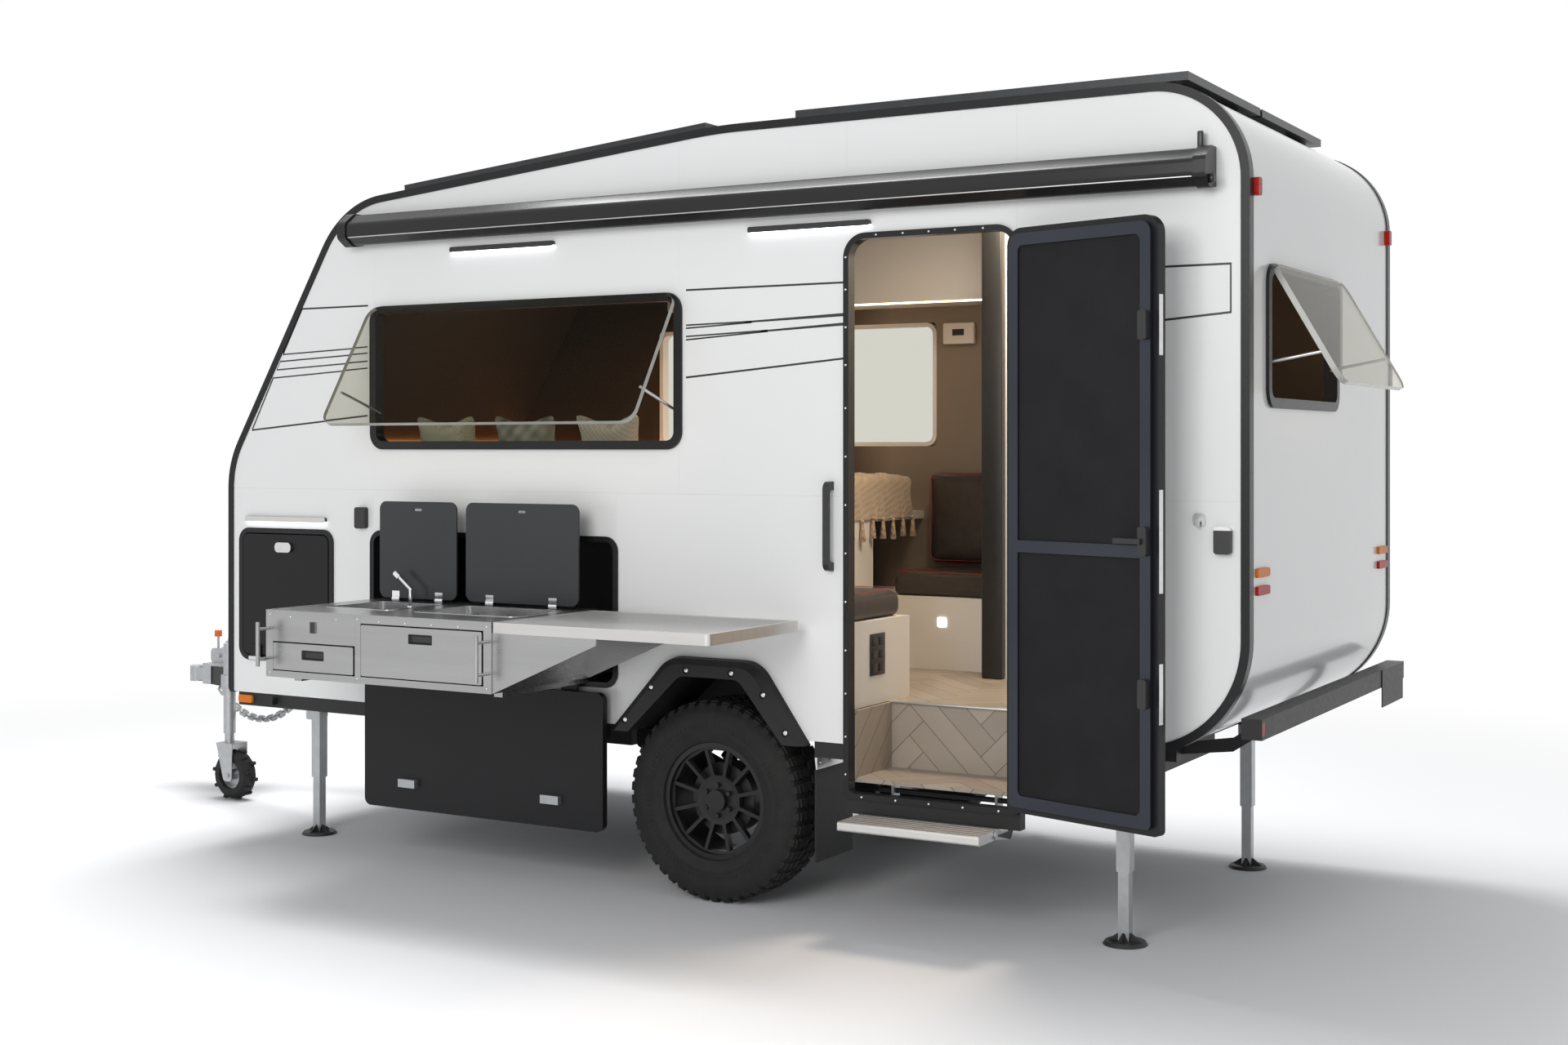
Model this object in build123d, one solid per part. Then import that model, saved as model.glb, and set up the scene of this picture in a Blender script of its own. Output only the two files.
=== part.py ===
from build123d import *
from math import atan, degrees, pi, tan
import os

# Off-road camper trailer, parked with its kitchen slid out and its door open.
# Lengths are in millimetres. X runs forward to the drawbar, Y to the door side and Z up.
# The sizes below are measured from the floor under the middle of the axle.

# Shared frame: where the origin lies, seen from the floor under the middle of the axle
ORIGIN_X = 740
ORIGIN_Y = 356

# Clearances, and how far a cut runs past the face that it opens
FIT = 0.3
RUNNING = 5
THROUGH = 1
FAR = 4000

# The most of a panel's shorter side that a corner radius may take
CORNER_SHARE = 0.45

# Body shell outline
BODY_WIDTH = 1980
WALL = 40
FRONT_X = 2570
REAR_X = -2130
BODY_BOTTOM = 671
KNEE_Z = 1703
ROOF_FRONT_X = 1885
ROOF_KNEE_X = -44
ROOF_Z = 3013
ROOF_FALL = 176
TAIL_Z = 765
TAIL_START_X = -1200
SILL_RADIUS = 20
KNEE_RADIUS = 400
ROOF_FRONT_RADIUS = 430
ROOF_KNEE_RADIUS = 2500
REAR_TOP_RADIUS = 340
REAR_BOTTOM_RADIUS = 400
TAIL_RADIUS = 600
REAR_FLOOR_X = -1735
FLOOR_TOP = 790
FLOOR_THICK = 60
TRIM_WIDTH = 26
TRIM_THICK = 5

# Awning, and the white lamp bars below it and above the front hatch
AWNING_FRONT_X = 1810
AWNING_REAR_X = -2020
AWNING_DROP = 238
AWNING_HEIGHT = 133
AWNING_DEPTH = 112
AWNING_CAP = 45
AWNING_CAP_PROUD = 6
AWNING_LIP = 12
AWNING_BELLY = 0.55
AWNING_CROWN = 0.5
AWNING_LOW_BEVEL = 35
AWNING_HIGH_BEVEL = 45
AWNING_CORNER = 26
STRIP_HEIGHT = 22
STRIP_DEPTH = 14
STRIP_CORNER = 8
STRIP_DROP = 37
STRIP_ABOVE_HATCH = 41
STRIP_SPANS = ((735, 1277), (-715, -188))
HATCH_STRIP_INSET = 41

# Front boot, across the whole width, and its two hatches
HATCH_REAR_X = 1938
HATCH_FRONT_X = 2505
HATCH_BOTTOM = 820
HATCH_TOP = 1414
HATCH_FACE = 22
HATCH_FLANGE = 8
HATCH_SLEEVE = 12
HATCH_CORNER = 60
HATCH_HOLE_CORNER = 27.5
HATCH_THICK = 30
HATCH_PROUD = 10
HATCH_KNUCKLE = 9
HATCH_KNUCKLE_LENGTH = 70
HATCH_STRAP = 60
HATCH_HINGE_SHARES = (0.2, 0.8)
HATCH_LATCH_WIDTH = 96
HATCH_LATCH_HEIGHT = 44
HATCH_LATCH_DROP = 62
HATCH_LATCH_PROUD = 14
HATCH_LATCH_CORNER = 20
BOOT_SHEET = 12
BOOT_CORNER = 2

# Kitchen opening, its bay and its hanging hatch
BAY_REAR_X = 422
BAY_FRONT_X = 1724
BAY_BOTTOM = 812
BAY_TOP = 1418
BAY_INNER_Y = 250
KITCHEN_HATCH_STANDOFF = 38
KITCHEN_HATCH_GAP = 14
KITCHEN_HINGE_WIDTH = 80
KITCHEN_HINGE_THICK = 8
KITCHEN_HINGE_LEAF = 60
KITCHEN_HINGE_INSET = 3
KITCHEN_HINGE_SHARES = (0.15, 0.5, 0.85)
KITCHEN_LATCH_WIDTH = 90
KITCHEN_LATCH_HEIGHT = 34
KITCHEN_LATCH_PROUD = 22
KITCHEN_LATCH_RISE = 95
KITCHEN_LATCH_SHARES = (0.2, 0.8)

# Windows
WINDOW_FLANGE = 35
WINDOW_FLANGE_THICK = 12
WINDOW_LAP = 15
WINDOW_CORNER = 70
WINDOW_HOLE_CORNER = 25
PANE_THICK = 20
PANE_MARGIN = 14
SIDE_WINDOW_X = 918
SIDE_WINDOW_WIDTH = 1603
SIDE_WINDOW_BELOW_AWNING = 260
SIDE_WINDOW_ABOVE_BAY = 348
SIDE_PANE_OPEN = 31
RIGHT_WINDOW_X = 740
REAR_WINDOW_Y = 325
REAR_WINDOW_DROP = 855
REAR_WINDOW_WIDTH = 938
REAR_WINDOW_HEIGHT = 497
REAR_PANE_OPEN = 30
STAY_DIAMETER = 12
STAY_RISE = 120
STAY_REACH = 0.72
STAY_DEPTH = 12

# Entry door
DOOR_FRAME_REAR_X = -1307
DOOR_FRAME_FRONT_X = -602
DOOR_FRAME_BOTTOM = 470
DOOR_BELOW_AWNING = 74
DOOR_FRAME_FACE = 22
DOOR_FRAME_FLANGE = 10
DOOR_FRAME_SLEEVE = 12
DOOR_CORNER = 90
DOOR_THICK = 34
DOOR_PROUD = 12
DOOR_KNUCKLE = 11
DOOR_KNUCKLE_LENGTH = 80
DOOR_HINGE_INSET = 17
DOOR_STRAP = 60
DOOR_STRAP_THICK = 13
DOOR_HINGE_DROP = 300
DOOR_HINGE_RISE = 250
DOOR_OPEN = 163
DOOR_HANDLE_Z = 1465
DOOR_HANDLE_LENGTH = 110
DOOR_HANDLE_HEIGHT = 36
DOOR_HANDLE_PROUD = 16
SCREEN_DEPTH = 18
SCREEN_BAR = 42
SCREEN_MARGIN = 22
SCREEN_RAIL_Z = 1430
MESH_THICK = 3
LOCK_ZS = (965, 1465, 2175)
LOCK_WIDTH = 34
LOCK_HEIGHT = 96
LOCK_PROUD = 20
LOCK_CORNER = 8
LEVER_LENGTH = 110
LEVER_HEIGHT = 18
LEVER_THICK = 10

# Step well, folding step and the beam under the doorway
WELL_FLOOR = 540
WELL_SHEET = 15
WELL_INNER_Y = 650
WELL_GAP = 6
STEP_X = -955
STEP_PIVOT_Y = 850
STEP_PIVOT_Z = 490
STEP_KNEE_Y = 925
STEP_KNEE_Z = 385
STEP_TREAD_Y = 1040
STEP_TREAD_BACK = 45
STEP_TREAD_TOP = 420
STEP_TREAD_THICK = 34
STEP_TREAD_DEPTH = 185
STEP_TREAD_WIDTH = 560
STEP_NOSE = 8
STEP_GROOVES = 5
STEP_GROOVE_WIDTH = 9
STEP_GROOVE_DEPTH = 2
STEP_PIN = 12
STEP_BAR = 20
STEP_SIDE_GAP = 1
STEP_ARM_THICK = 6
STEP_ARM_WIDTH = 30
STEP_EAR_INSET = 70
STEP_EAR_THICK = 10
STEP_EAR_WIDTH = 50
STEP_EAR_DROP = 22
BEAM_HEIGHT = 65
BEAM_THICK = 45
BEAM_INSET = 5

# Chassis
RAIL_Y = 530
RAIL_WIDTH = 60
RAIL_BOTTOM = 635
RAIL_TOP = 730
RAIL_FRONT_X = 2500
RAIL_REAR_X = -1735
CROSSMEMBER_WIDTH = 60
CROSSMEMBER_XS = (2300, 1330, 640, -560, -1605)
OUTRIGGER_Y = 925
SILL_BOTTOM = 611
SILL_THICK = 45
SILL_INSET = 5
TANK_GAP = 5
FRONT_TANK = (700, 1280, 500)
REAR_TANK = (-1540, -960, 520)

# Drawbar, coupling and safety chain
DRAWBAR_WIDTH = 50
DRAWBAR_BOTTOM = 540
DRAWBAR_START_X = 1560
DRAWBAR_BEND_X = 2300
DRAWBAR_TIP_X = 3640
DRAWBAR_TIP_Y = 62
DRAWBAR_INNER_BEND = 60
DRAWBAR_OUTER_BEND = 110
DRAWBAR_SPREAD = 3
DRAWBAR_LEAD = 10
COUPLING_TIP_X = 3875
COUPLING_BORE = 36
COUPLING_BORE_DEPTH = 61
COUPLING_EYE = 84
COUPLING_HEIGHT = 80
COUPLING_WIDTH = 190
COUPLING_PLATE = 12
COUPLING_PLATE_BACK = 345
COUPLING_NOSE = 60
COUPLING_NECK_WIDTH = 72
COUPLING_NECK_INSET = 8
CHEEK_GAP = 60
CHEEK_THICK = 8
CHEEK_LENGTH = 120
CHEEK_HEIGHT = 75
CHEEK_PIN = 22
CHEEK_LAP = 2
CHEEK_CORNER = 22
KNOB_X = 3685
KNOB_STEM = 12
KNOB_Z = 780
KNOB_DIAMETER = 38
KNOB_HEIGHT = 32
KNOB_SIDES = 24
RING_X = 3560
RING_Z = 757
RING_DIAMETER = 100
RING_BAR = 12
BRAKE_BOX_LENGTH = 170
BRAKE_BOX_WIDTH = 140
BRAKE_BOX_HEIGHT = 126
BRAKE_BOX_CORNER = 14
CHAIN_START = (3570, 92)
CHAIN_END = (2800, 352)
CHAIN_SAG = 115
CHAIN_LINKS = 19
CHAIN_BAR = 10
CHAIN_OPENING = 16
CHAIN_PLAY = 0.7
CHAIN_LEAN = 45
SHACKLE_X = 2530
SHACKLE_LENGTH = 76
SHACKLE_WIDTH = 56
SHACKLE_BAR = 13
PADLOCK_X = 2625
PADLOCK_WIDTH = 44
PADLOCK_THICK = 20
PADLOCK_HEIGHT = 46
PADLOCK_BOW = 8
PADLOCK_BOW_HEIGHT = 26

# Rear bumper and its blank plate
BUMPER_SIZE = 70
BUMPER_BOTTOM = 806
BUMPER_REAR_X = -2185
BUMPER_LENGTH = 2050
BUMPER_ARM = 10
BUMPER_ARM_LAP = 90
BUMPER_ARM_KNEE = 45
PLATE_WIDTH = 360
PLATE_HEIGHT = 150
PLATE_THICK = 4
PLATE_INSET = 35

# Wheels and suspension
TYRE_DIAMETER = 790
TYRE_WIDTH = 265
TYRE_SHOULDER_DROP = 28
TYRE_SHOULDER_INSET = 38
TYRE_WALL_DROP = 75
TYRE_WALL_INSET = 10
TYRE_BEAD_FLARE = 26
TYRE_SIDES = 28
RIM_DIAMETER = 450
RIM_LIP = 14
RIM_LIP_WIDTH = 8
RIM_SHEET = 16
RIM_INSET = 30
WHEEL_FACE_Y = 972
HUB_BORE = 60
HUB_DIAMETER = 160
HUB_CAP = 84
HUB_CAP_HEIGHT = 24
STUD_CIRCLE = 120
STUD_COUNT = 6
STUD_DIAMETER = 20
STUD_HEIGHT = 16
DISH_INSET = 48
DISH_THICK = 26
DISH_STEP = 14
HUB_THICK = 38
SPOKE_COUNT = 12
SPOKE_WIDTH = 15
SPOKE_INNER_RADIUS = 96
SPOKE_OUTER_RADIUS = 196
DRUM_DIAMETER = 280
DRUM_DEPTH = 96
DRUM_LAP = 3
STUB_GAP = 4
ARM_PIVOT_X = 520
ARM_WIDTH = 80
ARM_Y = 612
ARM_DEPTH = 75
ARM_PIVOT_DROP = 30
ARM_PIVOT_REACH = 45
ARM_HUB_REACH = 60
ARM_HUB_HALF = 45
ARM_CORNERS = (20, 20, 40, 40, 20, 20, 60)
PIVOT_PLATE = 20
PIVOT_PLATE_LENGTH = 100
PIVOT_PLATE_HEIGHT = 115
PIVOT_TIE = 12
SPRING_DIAMETER = 80
SPRING_CORE = 56
SPRING_TURNS = 6
SPRING_SIDES = 20
SPRING_X = 130
SPRING_FOOT = 91
SPRING_SEAT = 40
SPRING_SEAT_LAP = 15

# Wheel arches and mudflaps
ARCH_BOTTOM_FRONT_X = 440
ARCH_BOTTOM_REAR_X = -460
ARCH_TOP_FRONT_X = 168
ARCH_TOP_REAR_X = -243
ARCH_BOTTOM = 655
ARCH_TOP = 960
ARCH_DROP = 200
ARCH_FLARE = 72
ARCH_PROUD = 56
ARCH_BULGE = 34
ARCH_BULGE_INSET = 5
ARCH_LIP_INSET = 26
ARCH_LINER = 12
ARCH_INNER_Y = 690
ARCH_CORNER = 130
POCKET_DIAMETER = 30
POCKET_DEPTH = 7
POCKET_INSET = 48
MUDFLAP_X = -476
MUDFLAP_THICK = 6
MUDFLAP_BOTTOM = 215
MUDFLAP_TOP = 610
MUDFLAP_WIDTH = 290
MUDFLAP_STRIP = 4
MUDFLAP_STRIP_HEIGHT = 45
MUDFLAP_ANGLE = 60

# Kitchen unit, slid out
UNIT_REAR_X = 504
UNIT_FRONT_X = 1645
UNIT_BOTTOM = 861
UNIT_TOP = 1128
UNIT_BACK_Y = 1000
UNIT_FACE_Y = 1690
UNIT_SHEET = 15
BENCH_THICK = 18
DIVIDER_X = 1160
STILE_WIDTH = 38
MULLION_WIDTH = 30
LOW_RAIL = 26
TOP_RAIL = 34
FRAME_SETBACK = 4
DRAWER_FACE = 18
DRAWER_CORNER = 6
DRAWER_DEPTH = 480
DRAWER_SHEET = 10
DRAWER_HEADROOM = 40
DRAWER_RUNNER = 22
SMALL_DRAWER_TOP = 1004
PULL_WIDTH = 116
PULL_HEIGHT = 38
PULL_DEPTH = 12
PULL_DROP = 24
CATCH_WIDTH = 26
CATCH_HEIGHT = 44
CATCH_PROUD = 6
HANDLE_DIAMETER = 16
HANDLE_LENGTH = 175
HANDLE_STANDOFF = 60
HANDLE_POST = 12
HANDLE_POST_INSET = 28
RUNNER_WIDTH = 40
RUNNER_HEIGHT = 36
RUNNER_LAP = 9
RUNNER_INSET = 60
RUNNER_BACK_GAP = 20
RUNNER_FRONT_GAP = 120

# Sink, hob, their lids and the tap
SINK_FRONT_X = 1560
SINK_REAR_X = 1145
HOB_FRONT_X = 1095
HOB_REAR_X = 525
LID_HINGE_Y = 1112
LID_DEPTH = 405
LID_THICK = 8
LID_CORNER = 34
LID_LIFT = 4
LID_KNUCKLE = 11
LID_HINGE_WIDTH = 40
LID_CLIP = 34
LID_CLIP_THICK = 3
LID_HINGE_SHARES = (0.22, 0.78)
LID_GRIP_LENGTH = 44
LID_GRIP_WIDTH = 10
LID_GRIP_DROP = 34
BENCH_MARGIN = 40
BOWL_DEPTH = 125
BOWL_SHEET = 3
BOWL_CORNER = 28
HOB_DEPTH = 55
HOB_SHEET = 4
HOB_CORNER = 25
FLANGE_WIDTH = 12
FLANGE_THICK = 2
BURNER_DIAMETER = 96
BURNER_CAP = 70
BURNER_SIDES = 24
BURNER_HEIGHT = 22
BURNER_SHARES = (0.27, 0.73)
GRATE_BAR = 9
GRATE_REACH = 90
TAP_X = 1346
TAP_PIVOT_DROP = 16
TAP_PIVOT_INSET = 15
TAP_PIN = 7
TAP_BARREL = 16
TAP_BARREL_WIDTH = 22
TAP_SIDE_GAP = 1
TAP_EAR = 5
TAP_EAR_HEIGHT = 26
TAP_POST = 14
TAP_POST_HEIGHT = 74
TAP_SPOUT_REACH = 84
TAP_SPOUT_RISE = 66
TAP_NOZZLE = 24
TAP_NOZZLE_LENGTH = 30

# Side table and its gussets
TABLE_REAR_X = -450
TABLE_INNER_Y = 1060
TABLE_PANEL = 14
TABLE_RIM = 40
TABLE_RIM_WIDTH = 22
TABLE_CORNER = 18
TABLE_GAP = 0.5
TABLE_RECESS = 2
GUSSET_LENGTH = 470
GUSSET_THICK = 6
GUSSET_TIP = 25
GUSSET_INSET = 8

# Solar panels on the roof
SOLAR_LENGTH = 1560
SOLAR_WIDTH = 852
SOLAR_GAP = 26
SOLAR_THICK = 30
SOLAR_LIFT = 28
SOLAR_FRONT_X = 1640
SOLAR_REAR_X = -320
SOLAR_FOOT = 70
SOLAR_FOOT_INSET = 90
SOLAR_BEDDING = 1

# Lamps
TAIL_LAMP_Y = 850
TAIL_LAMP_WIDTH = 140
TAIL_LAMP_HEIGHT = 30
TAIL_LAMP_DEPTH = 12
RED_LAMP_Z = 1290
AMBER_LAMP_Z = 1350
CLEARANCE_LAMP_Y = 930
CLEARANCE_LAMP_WIDTH = 40
CLEARANCE_LAMP_HEIGHT = 60
CLEARANCE_LAMP_DROP = 365
CLEARANCE_LAMP_DEPTH = 22
LAMP_CORNER = 10
END_LAMP_WIDTH = 26
END_LAMP_HEIGHT = 46
END_LAMP_INSET = 18
END_LAMP_DEPTH = 14
MARKER_FRONT_X = 2510
MARKER_LENGTH = 84
MARKER_HEIGHT = 34
MARKER_DEPTH = 12

# Stabiliser legs
LEG_TUBE = 50
LEG_INNER = 40
LEG_HINGE_Z = 588
LEG_TOP = 613
LEG_TUBE_BOTTOM = 260
LEG_PAD = 160
LEG_PAD_THICK = 12
LEG_PAD_SIDES = 32
LEG_RIB = 8
LEG_RIB_HEIGHT = 30
LEG_EAR = 8
LEG_EAR_WIDTH = 60
LEG_EAR_DROP = 26
LEG_SIDE_GAP = 1
LEG_PIN = 16
LEG_STUB = 38
LEG_STUB_LENGTH = 30
FRONT_LEG_X = 2300
FRONT_LEG_Y = 700
REAR_LEG_X = -1605
REAR_LEG_Y = 735

# Jockey wheel
JOCKEY_X = 3330
JOCKEY_Y = 262
JOCKEY_TRAIL = 40
JOCKEY_DIAMETER = 250
JOCKEY_WIDTH = 84
JOCKEY_SIDES = 20
JOCKEY_LUGS = 9
JOCKEY_LUG_HEIGHT = 7
JOCKEY_LUG_LENGTH = 16
JOCKEY_LUG_WIDTH = 34
JOCKEY_SHOULDER = 18
JOCKEY_RIM = 140
JOCKEY_RIM_WIDTH = 40
JOCKEY_HUB = 52
JOCKEY_HUB_INSET = 2
JOCKEY_DISC = 10
JOCKEY_TUBE = 60
JOCKEY_INNER = 48
JOCKEY_INNER_LENGTH = 400
JOCKEY_TUBE_BOTTOM = 330
JOCKEY_TUBE_TOP = 770
JOCKEY_CAP = 14
JOCKEY_FORK_TOP = 285
JOCKEY_FORK_SHEET = 6
JOCKEY_FORK_BACK = 70
JOCKEY_FORK_FRONT = 40
JOCKEY_FORK_FOOT = 28
JOCKEY_FORK_TOE = 30
JOCKEY_FORK_CORNER = 20
JOCKEY_AXLE = 20
JOCKEY_AXLE_END = 6
CLAMP_WALL = 12
CLAMP_HEIGHT = 75
CLAMP_RISE = 10
CLAMP_LENGTH = 80
CLAMP_REACH = 80
CRANK_STEM = 16
CRANK_RISE = 34
CRANK_LENGTH = 110
CRANK_BAR = 14
CLAMP_LEVER = 14
CLAMP_LEVER_HEIGHT = 82
CLAMP_LEVER_LENGTH = 80
CLAMP_LEVER_RISE = 26
CLAMP_LEVER_Y = 212

# Small fittings on the door side
GRAB_X = -546
GRAB_BOTTOM = 1313
GRAB_TOP = 1647
GRAB_WIDTH = 24
GRAB_BAR = 16
GRAB_STANDOFF = 46
GRAB_CORNER = 30
HOOK_X = -1962
HOOK_Z = 1530
HOOK_PLATE = 44
HOOK_PROUD = 30
HOOK_BAR = 12
SOCKETS = ((-2046, 1462), (1768, 1470))
SOCKET_WIDTH = 58
SOCKET_HEIGHT = 92
SOCKET_DEPTH = 26
SOCKET_CORNER = 12

# Interior
BED_BASE_BOTTOM = 1440
BED_BASE_THICK = 36
BED_REAR_X = 20
BED_END = 20
BED_FRONT_GAP = 10
MATTRESS_THICK = 160
MATTRESS_MARGIN = 60
MATTRESS_SETBACK = 20
PILLOW_XS = (1480, 1050, 620)
PILLOW_LENGTH = 380
PILLOW_DEPTH = 190
PILLOW_HEIGHT = 300
PILLOW_WALL_GAP = 90
SEAT_BOX_REAR_X = -598
SEAT_BOX_INNER_Y = 440
SEAT_BOX_TOP = 1110
SEAT_BOX_BAY_GAP = 30
SEAT_CUSHION = 110
SEAT_FRONT_X = -40
CUSHION_GAP = 4
CUSHION_WALL_GAP = 12
BACK_REST_THICK = 110
BACK_REST_TOP = 1680
BACK_REST_INSET = 40
BOARD = 18
LOCKER_DROP = 213
LOCKER_HEIGHT = 360
LOCKER_DEPTH = 340
LOCKER_FRONT_X = 1250
REAR_BENCH_DEPTH = 420
REAR_BENCH_TOP = 1700
PARTITION_X = -640
PARTITION_Y = -300
PARTITION_THICK = 28
PARTITION_GAP = 4

# Values worked out from the sizes above
HALF = BODY_WIDTH / 2
INNER = HALF - WALL
ROOF_FRONT_Z = ROOF_Z - ROOF_FALL
AWNING_TOP = ROOF_Z - AWNING_DROP
AWNING_BOTTOM = AWNING_TOP - AWNING_HEIGHT
DOOR_FRAME_TOP = AWNING_BOTTOM - DOOR_BELOW_AWNING
SIDE_WINDOW_TOP = AWNING_BOTTOM - SIDE_WINDOW_BELOW_AWNING
SIDE_WINDOW_BOTTOM = BAY_TOP + SIDE_WINDOW_ABOVE_BAY
SIDE_WINDOW_HEIGHT = SIDE_WINDOW_TOP - SIDE_WINDOW_BOTTOM
SIDE_WINDOW_Z = (SIDE_WINDOW_TOP + SIDE_WINDOW_BOTTOM) / 2
REAR_WINDOW_Z = ROOF_Z - REAR_WINDOW_DROP
LOCKER_TOP = ROOF_Z - LOCKER_DROP
TYRE_RADIUS = TYRE_DIAMETER / 2
WHEEL_Y = WHEEL_FACE_Y - TYRE_WIDTH / 2
RIM_RADIUS = RIM_DIAMETER / 2
ARCH_CUT = ARCH_LINER + FIT - ARCH_FLARE
DOOR_HINGE_X = DOOR_FRAME_REAR_X + DOOR_HINGE_INSET
DOOR_HINGE_Y = HALF + DOOR_FRAME_FLANGE + DOOR_KNUCKLE + FIT
DOOR_INNER_Y = HALF + DOOR_PROUD - DOOR_THICK
HATCH_HINGE_Y = HALF + HATCH_FLANGE + HATCH_KNUCKLE + FIT
HATCH_HINGE_Z = HATCH_BOTTOM + HATCH_FACE / 2
STEP_PIN_Z = STEP_TREAD_TOP - STEP_TREAD_THICK / 2
LID_HINGE_Z = UNIT_TOP + LID_KNUCKLE
LID_FRONT_Y = LID_HINGE_Y + LID_DEPTH
TAP_Y = LID_HINGE_Y + BENCH_MARGIN + TAP_PIVOT_INSET
TAP_Z = UNIT_TOP - TAP_PIVOT_DROP
FRAME_BACK_Y = UNIT_FACE_Y - DRAWER_FACE
JOCKEY_RADIUS = JOCKEY_DIAMETER / 2
EYE_X = COUPLING_TIP_X - COUPLING_EYE / 2
NOSE_X = DRAWBAR_TIP_X + COUPLING_NOSE


def block(x0, x1, y0, y1, z0, z1):
    """A box between two corners."""
    centre = Pos((x0 + x1) / 2, (y0 + y1) / 2, (z0 + z1) / 2)
    return centre * Box(x1 - x0, y1 - y0, z1 - z0)


def plate_y(sketch, y0, y1):
    """A drawing in X and Z, thickened from y0 to y1."""
    return Pos(0, y0, 0) * extrude(Plane.XZ * sketch, -(y1 - y0))


def plate_x(sketch, x0, x1):
    """A drawing in Y and Z, thickened from x0 to x1."""
    return Pos(x0, 0, 0) * extrude(Plane.YZ * sketch, x1 - x0)


def plate_z(sketch, z0, z1):
    """A drawing in X and Y, thickened from z0 to z1."""
    return Pos(0, 0, z0) * extrude(sketch, z1 - z0)


def rod(start, end, diameter):
    """A round bar between two points."""
    start = Vector(*start)
    end = Vector(*end)
    plane = Plane(origin=start, z_dir=end - start)
    return extrude(plane * Circle(diameter / 2), (end - start).length)


def rounded(u0, u1, v0, v1, radius):
    """A rounded rectangle between two corners."""
    width = u1 - u0
    height = v1 - v0
    radius = min(radius, CORNER_SHARE * min(width, height))
    return Pos((u0 + u1) / 2, (v0 + v1) / 2) * RectangleRounded(width, height, radius)


def sheet(width, height, radius):
    """A rounded rectangle about the drawing's own middle."""
    return rounded(-width / 2, width / 2, -height / 2, height / 2, radius)


def polygon(points, radii):
    """A closed outline of straight runs and tangent arcs."""
    return make_face(FilletPolyline(*points, radius=radii, close=True))


def link(start, end, width):
    """A round-ended strap between two points of a drawing."""
    line = Line(start, end)
    centre = line @ 0.5
    strap = Rot(0, 0, line.tangent_angle_at(0)) * SlotCenterToCenter(line.length, width)
    return Pos(centre.X, centre.Y) * strap


def faceted(profile, sides, inside=False):
    """A turned shape with flat sides along Z, from pairs of height and radius."""
    sections = []
    for height, radius in profile:
        sections.append(Pos(0, 0, height) * RegularPolygon(radius, sides, major_radius=not inside))
    return loft(sections, ruled=True)


def mirrored(shape):
    """The same piece on the other side of the mid-plane."""
    return mirror(shape, about=Plane.XZ)


def shell_outline():
    """The side of the body: upright front, raked nose, kinked roof and round tail."""
    points = [
        (FRONT_X, BODY_BOTTOM),
        (FRONT_X, KNEE_Z),
        (ROOF_FRONT_X, ROOF_FRONT_Z),
        (ROOF_KNEE_X, ROOF_Z),
        (REAR_X, ROOF_Z),
        (REAR_X, TAIL_Z),
        (TAIL_START_X, BODY_BOTTOM),
    ]
    radii = [
        SILL_RADIUS,
        KNEE_RADIUS,
        ROOF_FRONT_RADIUS,
        ROOF_KNEE_RADIUS,
        REAR_TOP_RADIUS,
        REAR_BOTTOM_RADIUS,
        TAIL_RADIUS,
    ]
    return polygon(points, radii)


def arch_outline(grow):
    """The wheel arch: a trapezoid with a rounded top, run past the body's lower edge."""
    front_slope = (ARCH_BOTTOM_FRONT_X - ARCH_TOP_FRONT_X) / (ARCH_TOP - ARCH_BOTTOM)
    rear_slope = (ARCH_BOTTOM_REAR_X - ARCH_TOP_REAR_X) / (ARCH_TOP - ARCH_BOTTOM)
    points = [
        (ARCH_BOTTOM_FRONT_X + grow + front_slope * ARCH_DROP, ARCH_BOTTOM - ARCH_DROP),
        (ARCH_TOP_FRONT_X + grow, ARCH_TOP + grow),
        (ARCH_TOP_REAR_X - grow, ARCH_TOP + grow),
        (ARCH_BOTTOM_REAR_X - grow + rear_slope * ARCH_DROP, ARCH_BOTTOM - ARCH_DROP),
    ]
    return polygon(points, [0, ARCH_CORNER + grow, ARCH_CORNER + grow, 0])


def through_wall(sketch):
    """A drawing in X and Z, run through the left wall."""
    return plate_y(sketch, INNER - THROUGH, HALF + THROUGH)


def left_panels(wall):
    """The left wall's panels, parted by hairline seams at the edges of its openings."""
    inset = DOOR_FRAME_FACE - DOOR_FRAME_SLEEVE - FIT
    door = (DOOR_FRAME_REAR_X + inset, DOOR_FRAME_FRONT_X - inset)
    inset = HATCH_FACE - HATCH_SLEEVE - FIT
    bay = (BAY_REAR_X + inset, BAY_FRONT_X - inset)
    hatch = (HATCH_REAR_X + inset, HATCH_FRONT_X - inset)
    reach = SIDE_WINDOW_WIDTH / 2 - WINDOW_LAP
    window = (SIDE_WINDOW_X - reach, SIDE_WINDOW_X + reach)
    lower = ((-FAR, door[0]), (door[1], bay[0]), bay, (bay[1], hatch[0]), hatch, (hatch[1], FAR))
    upper = ((-FAR, door[0]), door, (door[1], window[0]), window, (window[1], FAR))
    seam_z = (BAY_TOP + SIDE_WINDOW_BOTTOM) / 2
    gap = FIT / 2
    panels = []
    for spans, z0, z1 in ((lower, 0, seam_z), (upper, seam_z, FAR)):
        for x0, x1 in spans:
            panels += (wall & block(x0 + gap, x1 - gap, 0, FAR, z0 + gap, z1 - gap)).solids()
    return panels


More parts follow.
